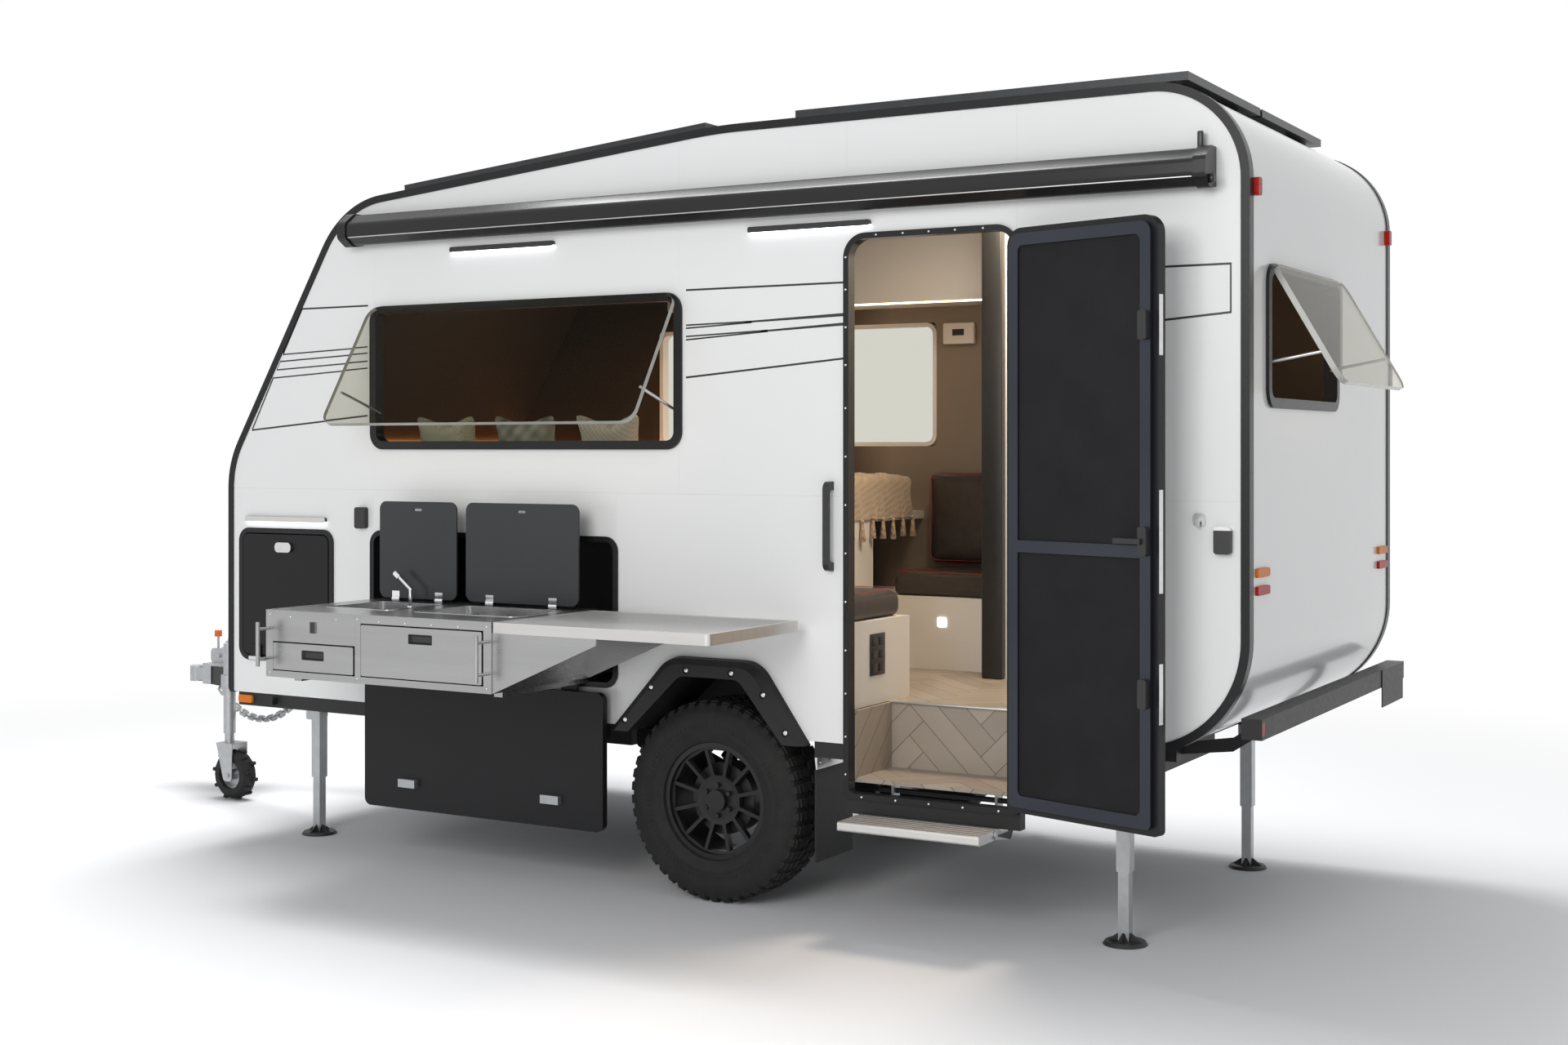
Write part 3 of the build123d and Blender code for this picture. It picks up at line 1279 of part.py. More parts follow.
def rim(side):
    """An alloy wheel: a barrel with lips, its spoked face, and the brake drum behind it."""
    half = TYRE_WIDTH / 2
    lip_out = half - RIM_INSET
    lip_in = lip_out - RIM_LIP_WIDTH
    barrel = [
        (RIM_RADIUS - RIM_SHEET, -lip_out),
        (RIM_RADIUS + RIM_LIP, -lip_out),
        (RIM_RADIUS + RIM_LIP, -lip_in),
        (RIM_RADIUS, -lip_in),
        (RIM_RADIUS, lip_in),
        (RIM_RADIUS + RIM_LIP, lip_in),
        (RIM_RADIUS + RIM_LIP, lip_out),
        (RIM_RADIUS - RIM_SHEET, lip_out),
    ]
    wheel = revolve(make_face(Polyline(*barrel, close=True)), Axis.Y) + rim_face()
    drum_y = half - DISH_INSET - DISH_STEP - HUB_THICK + DRUM_LAP
    drum = Circle(DRUM_DIAMETER / 2) - Circle(HUB_BORE / 2 + FIT)
    wheel = wheel + plate_y(drum, drum_y - DRUM_DEPTH, drum_y)
    if side < 0:
        wheel = mirrored(wheel)
    return Pos(0, side * WHEEL_Y, TYRE_RADIUS) * wheel


def trailing_arms():
    """One trailing arm a side, with its pivot bracket and the stub axle that carries the wheel."""
    top = RAIL_BOTTOM - ARM_PIVOT_DROP
    outline = [
        (ARM_PIVOT_X + ARM_PIVOT_REACH, top - ARM_DEPTH),
        (ARM_PIVOT_X + ARM_PIVOT_REACH, top),
        (ARM_PIVOT_X - ARM_HUB_REACH, top),
        (ARM_HUB_REACH, TYRE_RADIUS + ARM_HUB_HALF),
        (-ARM_HUB_REACH, TYRE_RADIUS + ARM_HUB_HALF),
        (-ARM_HUB_REACH, TYRE_RADIUS - ARM_HUB_HALF),
        (ARM_HUB_REACH, TYRE_RADIUS - ARM_HUB_HALF),
    ]
    half = ARM_WIDTH / 2
    inner_y = ARM_Y - half
    arm = plate_y(polygon(outline, ARM_CORNERS), inner_y, ARM_Y + half)
    stub_end = WHEEL_FACE_Y - DISH_INSET - DISH_STEP - STUB_GAP
    stub = rod((0, ARM_Y, TYRE_RADIUS), (0, stub_end, TYRE_RADIUS), HUB_BORE)
    x0 = ARM_PIVOT_X - PIVOT_PLATE_LENGTH / 2
    x1 = ARM_PIVOT_X + PIVOT_PLATE_LENGTH / 2
    bracket = block(x0, x1, inner_y - PIVOT_PLATE, inner_y, RAIL_BOTTOM - PIVOT_PLATE_HEIGHT, RAIL_BOTTOM)
    tie = block(x0, x1, RAIL_Y - RAIL_WIDTH / 2, inner_y, RAIL_BOTTOM - PIVOT_TIE, RAIL_BOTTOM)
    left = arm + stub + bracket + tie
    return [left, mirrored(left)]


def springs():
    """A coil spring between each trailing arm and the seat on its rail."""
    half = SPRING_DIAMETER / 2
    low = TYRE_RADIUS + SPRING_FOOT
    high = RAIL_TOP - SPRING_SEAT
    reach = half + SPRING_SEAT_LAP
    seat = block(SPRING_X - reach, SPRING_X + reach, RAIL_Y + RAIL_WIDTH / 2, ARM_Y + half, high, RAIL_TOP)
    steps = 2 * SPRING_TURNS
    profile = []
    for index in range(steps + 1):
        radius = SPRING_CORE / 2 if index % 2 else half
        profile.append((low + index * (high - low) / steps, radius))
    left = seat + Pos(SPRING_X, ARM_Y, 0) * faceted(profile, SPRING_SIDES)
    return [left, mirrored(left)]


def arch_pockets():
    """The bolt pockets round the flare: two on its top and two on each slope."""
    places = []
    for share in (0.25, 0.75):
        x = ARCH_TOP_REAR_X + share * (ARCH_TOP_FRONT_X - ARCH_TOP_REAR_X)
        places.append((x, ARCH_TOP - POCKET_INSET))
    for share in (0.15, 0.6):
        z = ARCH_BOTTOM + share * (ARCH_TOP - ARCH_BOTTOM)
        front = ARCH_BOTTOM_FRONT_X + share * (ARCH_TOP_FRONT_X - ARCH_BOTTOM_FRONT_X)
        rear = ARCH_BOTTOM_REAR_X + share * (ARCH_TOP_REAR_X - ARCH_BOTTOM_REAR_X)
        places.append((front - POCKET_INSET, z))
        places.append((rear + POCKET_INSET, z))
    face_y = HALF + ARCH_PROUD
    return [rod((x, face_y - POCKET_DEPTH, z), (x, face_y + THROUGH, z), POCKET_DIAMETER) for x, z in places]


def wheel_arches():
    """The arch on each side: a bulged flare outside the wall and a liner that closes it inside."""
    opening = arch_outline(-ARCH_FLARE)
    lining = arch_outline(ARCH_LINER - ARCH_FLARE)
    sections = []
    for proud, inset in ((0, 0), (ARCH_BULGE, ARCH_BULGE_INSET), (ARCH_PROUD, ARCH_LIP_INSET)):
        sections.append(Pos(0, HALF + proud, 0) * (Plane.XZ * arch_outline(-inset)))
    flare = loft(sections, ruled=True) - plate_y(opening, HALF - THROUGH, HALF + ARCH_PROUD + THROUGH)
    for pocket in arch_pockets():
        flare = flare - pocket
    barrel = plate_y(lining - opening, ARCH_INNER_Y, HALF)
    back = plate_y(lining, ARCH_INNER_Y - ARCH_LINER, ARCH_INNER_Y)
    left = flare + barrel + back - block(-FAR, FAR, -FAR, FAR, 0, ARCH_BOTTOM)
    return [left, mirrored(left)]


def mudflaps():
    """A rubber flap behind each wheel, with the metal strip that clamps it."""
    back_x = MUDFLAP_X - MUDFLAP_THICK
    inner_y = HALF - MUDFLAP_WIDTH
    flap = block(back_x, MUDFLAP_X, inner_y, HALF, MUDFLAP_BOTTOM, MUDFLAP_TOP)
    strip_low = MUDFLAP_TOP - MUDFLAP_STRIP_HEIGHT
    strip = block(back_x - MUDFLAP_STRIP, back_x, inner_y, HALF, strip_low, MUDFLAP_TOP)
    outer_y = HALF - MUDFLAP_ANGLE
    angle = block(MUDFLAP_X - MUDFLAP_ANGLE, MUDFLAP_X, inner_y, outer_y, MUDFLAP_TOP, RAIL_BOTTOM)
    left = flap + strip + angle
    return [left, mirrored(left)]


def hatch_cut(x0, x1, z0, z1):
    """The hole in the side wall for a hatch frame's sleeve."""
    inset = HATCH_FACE - HATCH_SLEEVE - FIT
    return rounded(x0 + inset, x1 - inset, z0 + inset, z1 - inset, HATCH_HOLE_CORNER)


def hatch_frame(x0, x1, z0, z1):
    """A hatch's frame in the left wall: flange and sleeve."""
    face = HATCH_FACE
    opening = rounded(x0 + face, x1 - face, z0 + face, z1 - face, HATCH_CORNER - face)
    inset = HATCH_FACE - HATCH_SLEEVE
    sleeve = rounded(x0 + inset, x1 - inset, z0 + inset, z1 - inset, HATCH_CORNER - inset)
    flange = plate_y(rounded(x0, x1, z0, z1, HATCH_CORNER) - opening, HALF, HALF + HATCH_FLANGE)
    return flange + plate_y(sleeve - opening, INNER, HALF)


def hatch_frames():
    """The frames of the two boot hatches and of the kitchen opening."""
    boot = hatch_frame(HATCH_REAR_X, HATCH_FRONT_X, HATCH_BOTTOM, HATCH_TOP)
    return [boot, mirrored(boot), hatch_frame(BAY_REAR_X, BAY_FRONT_X, BAY_BOTTOM, BAY_TOP)]


def boot_hatch():
    """The left boot hatch, closed, with the knuckles of its lower hinge and its latch."""
    inset = HATCH_FACE + RUNNING
    outer_y = HALF + HATCH_PROUD
    outline = rounded(HATCH_REAR_X + inset, HATCH_FRONT_X - inset, HATCH_BOTTOM + inset, HATCH_TOP - inset,
                      HATCH_CORNER - inset)
    leaf = plate_y(outline, outer_y - HATCH_THICK, outer_y)
    half = HATCH_KNUCKLE_LENGTH / 2
    for share in HATCH_HINGE_SHARES:
        x = HATCH_REAR_X + share * (HATCH_FRONT_X - HATCH_REAR_X)
        start = (x - half, HATCH_HINGE_Y, HATCH_HINGE_Z)
        end = (x + half, HATCH_HINGE_Y, HATCH_HINGE_Z)
        strap = block(x - HATCH_STRAP / 2, x + HATCH_STRAP / 2, outer_y, HATCH_HINGE_Y,
                      HATCH_HINGE_Z, HATCH_HINGE_Z + HATCH_STRAP)
        leaf = leaf + rod(start, end, 2 * HATCH_KNUCKLE) + strap
    x = (HATCH_REAR_X + HATCH_FRONT_X) / 2
    top = HATCH_TOP - HATCH_LATCH_DROP
    latch = rounded(x - HATCH_LATCH_WIDTH / 2, x + HATCH_LATCH_WIDTH / 2, top - HATCH_LATCH_HEIGHT, top,
                    HATCH_LATCH_CORNER)
    return leaf + plate_y(latch, outer_y, outer_y + HATCH_LATCH_PROUD)


def front_boot():
    """The tunnel boot behind the two hatches: four sheets across the width."""
    lap = HATCH_FACE - BOOT_SHEET
    outer = rounded(HATCH_REAR_X + lap, HATCH_FRONT_X - lap, HATCH_BOTTOM + lap, HATCH_TOP - lap, BOOT_SHEET)
    face = HATCH_FACE
    inner = rounded(HATCH_REAR_X + face, HATCH_FRONT_X - face, HATCH_BOTTOM + face, HATCH_TOP - face,
                    BOOT_CORNER)
    return plate_y(outer - inner, FIT - INNER, INNER - FIT)


def kitchen_bay():
    """The dark box inside the wall that the kitchen slides into."""
    x0 = BAY_REAR_X + HATCH_FACE
    x1 = BAY_FRONT_X - HATCH_FACE
    z0 = BAY_BOTTOM + HATCH_FACE
    z1 = BAY_TOP - HATCH_FACE
    skin = BOOT_SHEET
    outside = block(x0 - skin, x1 + skin, BAY_INNER_Y - skin, INNER - FIT, z0 - skin, z1 + skin)
    return outside - block(x0, x1, BAY_INNER_Y, HALF, z0, z1)


def kitchen_hatch():
    """The kitchen's hatch, swung down to hang outside the sill, with its two latches."""
    inset = HATCH_FACE + RUNNING
    top = BAY_BOTTOM - KITCHEN_HATCH_GAP
    low = top - (BAY_TOP - BAY_BOTTOM - 2 * inset)
    x0 = BAY_REAR_X + inset
    x1 = BAY_FRONT_X - inset
    back_y = HALF + KITCHEN_HATCH_STANDOFF
    face_y = back_y + HATCH_THICK
    leaf = plate_y(rounded(x0, x1, low, top, HATCH_CORNER - inset), back_y, face_y)
    half = KITCHEN_HINGE_WIDTH / 2
    hinge_low = BAY_BOTTOM + KITCHEN_HINGE_INSET
    hinge_top = BAY_BOTTOM + HATCH_FACE - KITCHEN_HINGE_INSET
    leaf_y = back_y - KITCHEN_HINGE_THICK
    for share in KITCHEN_HINGE_SHARES:
        x = x0 + share * (x1 - x0)
        arm = block(x - half, x + half, HALF + HATCH_FLANGE, back_y, hinge_low, hinge_top)
        drop = block(x - half, x + half, leaf_y, back_y, top - KITCHEN_HINGE_LEAF, hinge_top)
        leaf = leaf + arm + drop
    half = KITCHEN_LATCH_WIDTH / 2
    latch_z = low + KITCHEN_LATCH_RISE
    for share in KITCHEN_LATCH_SHARES:
        x = x0 + share * (x1 - x0)
        leaf = leaf + block(x - half, x + half, face_y, face_y + KITCHEN_LATCH_PROUD,
                            latch_z, latch_z + KITCHEN_LATCH_HEIGHT)
    return leaf


def drawer_bays():
    """The two drawer openings in the kitchen's front, each as X and Z limits."""
    low = UNIT_BOTTOM + LOW_RAIL
    small = (DIVIDER_X + MULLION_WIDTH / 2, UNIT_FRONT_X - STILE_WIDTH, low, SMALL_DRAWER_TOP)
    large = (UNIT_REAR_X + STILE_WIDTH, DIVIDER_X - MULLION_WIDTH / 2, low, UNIT_TOP - TOP_RAIL)
    return small, large


def bench_hole(x0, x1, corner):
    """The outline of a hole in the bench top, under a lid."""
    y0 = LID_HINGE_Y + BENCH_MARGIN
    y1 = LID_FRONT_Y - BENCH_MARGIN
    return rounded(x0 + BENCH_MARGIN, x1 - BENCH_MARGIN, y0, y1, corner)


def bench_top():
    """The bench top's strips, laid round the holes for the sink and the hob."""
    y0 = LID_HINGE_Y + BENCH_MARGIN
    y1 = LID_FRONT_Y - BENCH_MARGIN
    spans = [
        (UNIT_REAR_X, UNIT_FRONT_X, UNIT_BACK_Y, y0 - FIT),
        (UNIT_REAR_X, UNIT_FRONT_X, y1 + FIT, FRAME_BACK_Y),
        (UNIT_REAR_X, HOB_REAR_X + BENCH_MARGIN, y0, y1),
        (HOB_FRONT_X - BENCH_MARGIN, SINK_REAR_X + BENCH_MARGIN, y0, y1),
        (SINK_FRONT_X - BENCH_MARGIN, UNIT_FRONT_X, y0, y1),
    ]
    return [block(*span, UNIT_TOP - BENCH_THICK, UNIT_TOP) for span in spans]


def drawer_slides():
    """The runners inside the carcass that carry the two drawers."""
    small, large = drawer_bays()
    half = UNIT_SHEET / 2
    reach = RUNNING - FIT
    spans = [
        (UNIT_REAR_X + UNIT_SHEET + FIT, large[0] + reach),
        (large[1] - reach, DIVIDER_X - half - FIT),
        (DIVIDER_X + half + FIT, small[0] + reach),
        (small[1] - reach, UNIT_FRONT_X - UNIT_SHEET - FIT),
    ]
    z0 = UNIT_BOTTOM + LOW_RAIL + DRAWER_RUNNER
    back_y = FRAME_BACK_Y - DRAWER_DEPTH
    return [block(x0, x1, back_y, FRAME_BACK_Y, z0, z0 + DRAWER_RUNNER) for x0, x1 in spans]


def kitchen_carcass():
    """The sliding kitchen's sheets: floor, back, ends, divider, bench top and drawer slides."""
    floor_top = UNIT_BOTTOM + UNIT_SHEET
    low = floor_top + FIT
    high = UNIT_TOP - BENCH_THICK - FIT
    back_y = UNIT_BACK_Y + UNIT_SHEET
    pieces = [
        block(UNIT_REAR_X, UNIT_FRONT_X, UNIT_BACK_Y, FRAME_BACK_Y, UNIT_BOTTOM, floor_top),
        block(UNIT_REAR_X, UNIT_FRONT_X, UNIT_BACK_Y, back_y, low, high),
    ]
    for x in (UNIT_REAR_X, DIVIDER_X - UNIT_SHEET / 2, UNIT_FRONT_X - UNIT_SHEET):
        pieces.append(block(x, x + UNIT_SHEET, back_y + FIT, FRAME_BACK_Y, low, high))
    return pieces + bench_top() + drawer_slides()


def kitchen_runners():
    """The two heavy slides that carry the unit out of its bay."""
    pieces = []
    low = UNIT_BOTTOM - RUNNER_HEIGHT + RUNNER_LAP
    for x in (UNIT_REAR_X + RUNNER_INSET, UNIT_FRONT_X - RUNNER_INSET):
        pieces.append(block(x - RUNNER_WIDTH / 2, x + RUNNER_WIDTH / 2, BAY_INNER_Y + RUNNER_BACK_GAP,
                            UNIT_FACE_Y - RUNNER_FRONT_GAP, low, UNIT_BOTTOM - FIT))
    return pieces


def front_stile(x0):
    """An end stile of the kitchen's front, with its bar handle."""
    face_y = UNIT_FACE_Y - FRAME_SETBACK
    stile = block(x0, x0 + STILE_WIDTH, FRAME_BACK_Y, face_y, UNIT_BOTTOM, UNIT_TOP)
    x = x0 + STILE_WIDTH / 2
    bar_y = UNIT_FACE_Y + HANDLE_STANDOFF
    low = (UNIT_BOTTOM + UNIT_TOP - HANDLE_LENGTH) / 2
    high = low + HANDLE_LENGTH
    stile = stile + rod((x, bar_y, low), (x, bar_y, high), HANDLE_DIAMETER)
    for z in (low + HANDLE_POST_INSET, high - HANDLE_POST_INSET):
        stile = stile + rod((x, face_y - THROUGH, z), (x, bar_y, z), HANDLE_POST)
    return stile


def kitchen_front():
    """The kitchen's front frame: two stiles, a mullion, the rails, and a fixed panel with its catch."""
    face_y = UNIT_FACE_Y - FRAME_SETBACK
    small, large = drawer_bays()
    members = [front_stile(UNIT_REAR_X), front_stile(UNIT_FRONT_X - STILE_WIDTH)]
    members.append(block(large[1], small[0], FRAME_BACK_Y, face_y, UNIT_BOTTOM, UNIT_TOP))
    for x0, x1, z0, z1 in (small, large):
        members.append(block(x0 + FIT, x1 - FIT, FRAME_BACK_Y, face_y, UNIT_BOTTOM, z0))
    x0, x1, z0, z1 = large
    members.append(block(x0 + FIT, x1 - FIT, FRAME_BACK_Y, face_y, z1, UNIT_TOP))
    x0, x1, z0, z1 = small
    panel = block(x0 + FIT, x1 - FIT, FRAME_BACK_Y, face_y, z1, UNIT_TOP)
    x = (x0 + x1) / 2
    z = (z1 + UNIT_TOP) / 2
    catch = block(x - CATCH_WIDTH / 2, x + CATCH_WIDTH / 2, face_y, face_y + CATCH_PROUD,
                  z - CATCH_HEIGHT / 2, z + CATCH_HEIGHT / 2)
    members.append(panel + catch)
    return members


def drawer(x0, x1, z0, z1):
    """A drawer: a front with a sunk pull, set in its opening, and an open tray behind it."""
    x0 = x0 + RUNNING
    x1 = x1 - RUNNING
    z0 = z0 + RUNNING
    z1 = z1 - RUNNING
    face = plate_y(rounded(x0, x1, z0, z1, DRAWER_CORNER), FRAME_BACK_Y, UNIT_FACE_Y)
    middle = (x0 + x1) / 2
    top = z1 - PULL_DROP
    pull = rounded(middle - PULL_WIDTH / 2, middle + PULL_WIDTH / 2, top - PULL_HEIGHT, top, DRAWER_CORNER)
    face = face - plate_y(pull, UNIT_FACE_Y - PULL_DEPTH, UNIT_FACE_Y + THROUGH)
    back_y = FRAME_BACK_Y - DRAWER_DEPTH
    skin = DRAWER_SHEET
    tray = block(x0, x1, back_y, FRAME_BACK_Y, z0, z1 - DRAWER_HEADROOM)
    tray = tray - block(x0 + skin, x1 - skin, back_y + skin, FRAME_BACK_Y - skin, z0 + skin, FAR)
    return face + tray


def pressed_tray(outline, depth, skin):
    """A pressed steel tray, hung in the bench top by its rim."""
    inner = offset(outline, -skin)
    low = UNIT_TOP - depth
    cup = plate_z(outline, low, UNIT_TOP) - plate_z(inner, low + skin, UNIT_TOP + THROUGH)
    return cup + plate_z(offset(outline, FLANGE_WIDTH) - inner, UNIT_TOP, UNIT_TOP + FLANGE_THICK)


def sink_bowl():
    """The pressed steel sink, with the ears and pin that the tap folds on."""
    outline = offset(bench_hole(SINK_REAR_X, SINK_FRONT_X, BOWL_CORNER), -FIT)
    bowl = pressed_tray(outline, BOWL_DEPTH, BOWL_SHEET)
    gap = TAP_BARREL_WIDTH / 2 + TAP_SIDE_GAP
    wall_y = LID_HINGE_Y + BENCH_MARGIN + FIT + BOWL_SHEET / 2
    for x0 in (TAP_X - gap - TAP_EAR, TAP_X + gap):
        bowl = bowl + block(x0, x0 + TAP_EAR, wall_y, TAP_Y + TAP_EAR, TAP_Z - TAP_EAR_HEIGHT / 2,
                            TAP_Z + TAP_EAR_HEIGHT / 2)
    reach = gap + TAP_EAR
    return bowl + rod((TAP_X - reach, TAP_Y, TAP_Z), (TAP_X + reach, TAP_Y, TAP_Z), TAP_PIN)


def hob():
    """The gas hob: a shallow steel tray with two burners and the bars of their grates."""
    outline = offset(bench_hole(HOB_REAR_X, HOB_FRONT_X, HOB_CORNER), -FIT)
    tray = pressed_tray(outline, HOB_DEPTH, HOB_SHEET)
    base = UNIT_TOP - HOB_DEPTH + HOB_SHEET
    y = (LID_HINGE_Y + LID_FRONT_Y) / 2
    for share in BURNER_SHARES:
        x = HOB_REAR_X + share * (HOB_FRONT_X - HOB_REAR_X)
        profile = [(base - THROUGH, BURNER_DIAMETER / 2), (base + BURNER_HEIGHT, BURNER_CAP / 2)]
        tray = tray + Pos(x, y, 0) * faceted(profile, BURNER_SIDES)
        top = base + BURNER_HEIGHT + GRATE_BAR
        half = GRATE_BAR / 2
        tray = tray + block(x - GRATE_REACH, x + GRATE_REACH, y - half, y + half, top - 2 * GRATE_BAR, top)
        tray = tray + block(x - half, x + half, y - GRATE_REACH, y + GRATE_REACH, top - 2 * GRATE_BAR, top)
    return tray


def lid(x0, x1):
    """A glass lid standing up on its two hinges behind the bench top, with a finger slot near its top."""
    y0 = LID_HINGE_Y - LID_THICK / 2
    low = LID_HINGE_Z + LID_LIFT
    outline = rounded(x0, x1, low, low + LID_DEPTH, LID_CORNER)
    grip = Pos((x0 + x1) / 2, low + LID_DEPTH - LID_GRIP_DROP) * SlotOverall(LID_GRIP_LENGTH, LID_GRIP_WIDTH)
    leaf = plate_y(outline - grip, y0, y0 + LID_THICK)
    half = LID_HINGE_WIDTH / 2
    depth = LID_THICK / 2 + LID_CLIP_THICK
    for share in LID_HINGE_SHARES:
        x = x0 + share * (x1 - x0)
        start = (x - half, LID_HINGE_Y, LID_HINGE_Z)
        end = (x + half, LID_HINGE_Y, LID_HINGE_Z)
        clip = block(x - half, x + half, LID_HINGE_Y - depth, LID_HINGE_Y + depth,
                     LID_HINGE_Z, LID_HINGE_Z + LID_CLIP)
        leaf = leaf + rod(start, end, 2 * LID_KNUCKLE - 2 * FIT) + clip
    return leaf


def tap():
    """The folding tap: a barrel on its pin, a short post and a spout that leans forward."""
    half = TAP_BARREL_WIDTH / 2
    knee = (TAP_X, TAP_Y, TAP_Z + TAP_POST_HEIGHT)
    tip = (TAP_X + TAP_SPOUT_REACH, TAP_Y, TAP_Z + TAP_POST_HEIGHT + TAP_SPOUT_RISE)
    shape = rod((TAP_X - half, TAP_Y, TAP_Z), (TAP_X + half, TAP_Y, TAP_Z), TAP_BARREL)
    shape = shape + rod((TAP_X, TAP_Y, TAP_Z), knee, TAP_POST) + Pos(*knee) * Sphere(TAP_POST / 2)
    shape = shape + rod(knee, tip, TAP_POST)
    nozzle = Vector(*tip) - (Vector(*tip) - Vector(*knee)).normalized() * TAP_NOZZLE_LENGTH
    shape = shape + rod((nozzle.X, nozzle.Y, nozzle.Z), tip, TAP_NOZZLE)
    return shape - rod((TAP_X - 2 * half, TAP_Y, TAP_Z), (TAP_X + 2 * half, TAP_Y, TAP_Z), TAP_PIN + 2 * FIT)


def side_table():
    """The folding side table at the unit's rear end: a panel in a deep rim."""
    outline = rounded(TABLE_REAR_X, UNIT_REAR_X - TABLE_GAP, TABLE_INNER_Y, UNIT_FACE_Y, TABLE_CORNER)
    rim = plate_z(outline - offset(outline, -TABLE_RIM_WIDTH), UNIT_TOP - TABLE_RIM, UNIT_TOP)
    top = UNIT_TOP - TABLE_RECESS
    return rim + plate_z(offset(outline, -TABLE_RECESS), top - TABLE_PANEL, top)


def table_gussets():
    """The two triangular steel brackets under the side table."""
    top = UNIT_TOP - TABLE_RIM
    points = [
        (UNIT_REAR_X, UNIT_BOTTOM),
        (UNIT_REAR_X, top),
        (UNIT_REAR_X - GUSSET_LENGTH, top),
        (UNIT_REAR_X - GUSSET_LENGTH, top - GUSSET_TIP),
    ]
    gusset = make_face(Polyline(*points, close=True))
    outer_y = UNIT_FACE_Y - GUSSET_INSET
    inner_y = TABLE_INNER_Y + GUSSET_INSET
    outer = plate_y(gusset, outer_y - GUSSET_THICK, outer_y)
    return [outer, plate_y(gusset, inner_y, inner_y + GUSSET_THICK)]


def awning_outline(grow):
    """The awning cassette's section, grown for its end caps."""
    depth = AWNING_DEPTH + grow
    low = AWNING_BOTTOM - grow
    high = AWNING_TOP + grow
    points = [
        (HALF, low + AWNING_LIP),
        (HALF + AWNING_BELLY * depth, low),
        (HALF + depth, low + AWNING_LOW_BEVEL),
        (HALF + depth, high - AWNING_HIGH_BEVEL),
        (HALF + AWNING_CROWN * depth, high),
        (HALF, high),
    ]
    return polygon(points, [0, AWNING_CORNER, AWNING_CORNER, AWNING_CORNER, AWNING_CORNER, 0])


def awning():
    """The rolled awning in its cassette along the door side, with a cap at each end."""
    cap = awning_outline(AWNING_CAP_PROUD)
    body = plate_x(awning_outline(0), AWNING_REAR_X, AWNING_FRONT_X)
    body = body + plate_x(cap, AWNING_REAR_X, AWNING_REAR_X + AWNING_CAP)
    return body + plate_x(cap, AWNING_FRONT_X - AWNING_CAP, AWNING_FRONT_X)


def lamp_strips():
    """White lamp bars on the door side and above the front hatch."""
    half = STRIP_HEIGHT / 2
    z = AWNING_BOTTOM - STRIP_DROP
    outlines = [rounded(x0, x1, z - half, z + half, STRIP_CORNER) for x0, x1 in STRIP_SPANS]
    x0 = HATCH_REAR_X + HATCH_STRIP_INSET
    x1 = HATCH_FRONT_X - HATCH_STRIP_INSET
    z = HATCH_TOP + STRIP_ABOVE_HATCH
    outlines.append(rounded(x0, x1, z - half, z + half, STRIP_CORNER))
    return [plate_y(outline, HALF, HALF + STRIP_DEPTH) for outline in outlines]


def rear_lamp(y, z, width, height, depth):
    """A lamp on the rear face."""
    outline = rounded(y - width / 2, y + width / 2, z - height / 2, z + height / 2, LAMP_CORNER)
    return plate_x(outline, REAR_X - depth, REAR_X)


def marker_lamps():
    """Red clearance, tail and bumper lamps, and amber tail lamps and front markers, on both sides."""
    red = []
    amber = []
    for side in (-1, 1):
        y = side * TAIL_LAMP_Y
        red.append(rear_lamp(y, RED_LAMP_Z, TAIL_LAMP_WIDTH, TAIL_LAMP_HEIGHT, TAIL_LAMP_DEPTH))
        amber.append(rear_lamp(y, AMBER_LAMP_Z, TAIL_LAMP_WIDTH, TAIL_LAMP_HEIGHT, TAIL_LAMP_DEPTH))
        red.append(rear_lamp(side * CLEARANCE_LAMP_Y, ROOF_Z - CLEARANCE_LAMP_DROP, CLEARANCE_LAMP_WIDTH,
                             CLEARANCE_LAMP_HEIGHT, CLEARANCE_LAMP_DEPTH))
        red.append(plate_x(lamp_outline(side, 0), BUMPER_REAR_X, BUMPER_REAR_X + END_LAMP_DEPTH - FIT))
    middle_z = (SILL_BOTTOM + BODY_BOTTOM) / 2
    marker = rounded(MARKER_FRONT_X - MARKER_LENGTH, MARKER_FRONT_X, middle_z - MARKER_HEIGHT / 2,
                     middle_z + MARKER_HEIGHT / 2, LAMP_CORNER)
    marker = plate_y(marker, HALF - SILL_INSET, HALF - SILL_INSET + MARKER_DEPTH)
    return red, amber + [marker, mirrored(marker)]


def solar_panels():
    """Four solar panels on feet: a pair on the sloping roof and a pair on the flat roof."""
    rise = ROOF_FALL / (ROOF_FRONT_X - ROOF_KNEE_X)
    slope = degrees(atan(rise))
    panel = Box(SOLAR_LENGTH, SOLAR_WIDTH, SOLAR_THICK)
    panel = Pos(-SOLAR_LENGTH / 2, 0, SOLAR_LIFT + SOLAR_THICK / 2) * panel
    foot = Box(SOLAR_FOOT, SOLAR_FOOT, SOLAR_LIFT)
    for x in (-SOLAR_FOOT_INSET, SOLAR_FOOT_INSET - SOLAR_LENGTH):
        for side in (-1, 1):
            panel = panel + Pos(x, side * (SOLAR_WIDTH / 2 - SOLAR_FOOT), SOLAR_LIFT / 2) * foot
    front_z = ROOF_Z - (SOLAR_FRONT_X - ROOF_KNEE_X) * rise + SOLAR_BEDDING
    panels = []
    for side in (-1, 1):
        y = side * (SOLAR_WIDTH + SOLAR_GAP) / 2
        panels.append(Pos(SOLAR_FRONT_X, y, front_z) * Rot(0, slope, 0) * panel)
        panels.append(Pos(SOLAR_REAR_X, y, ROOF_Z) * panel)
    return panels


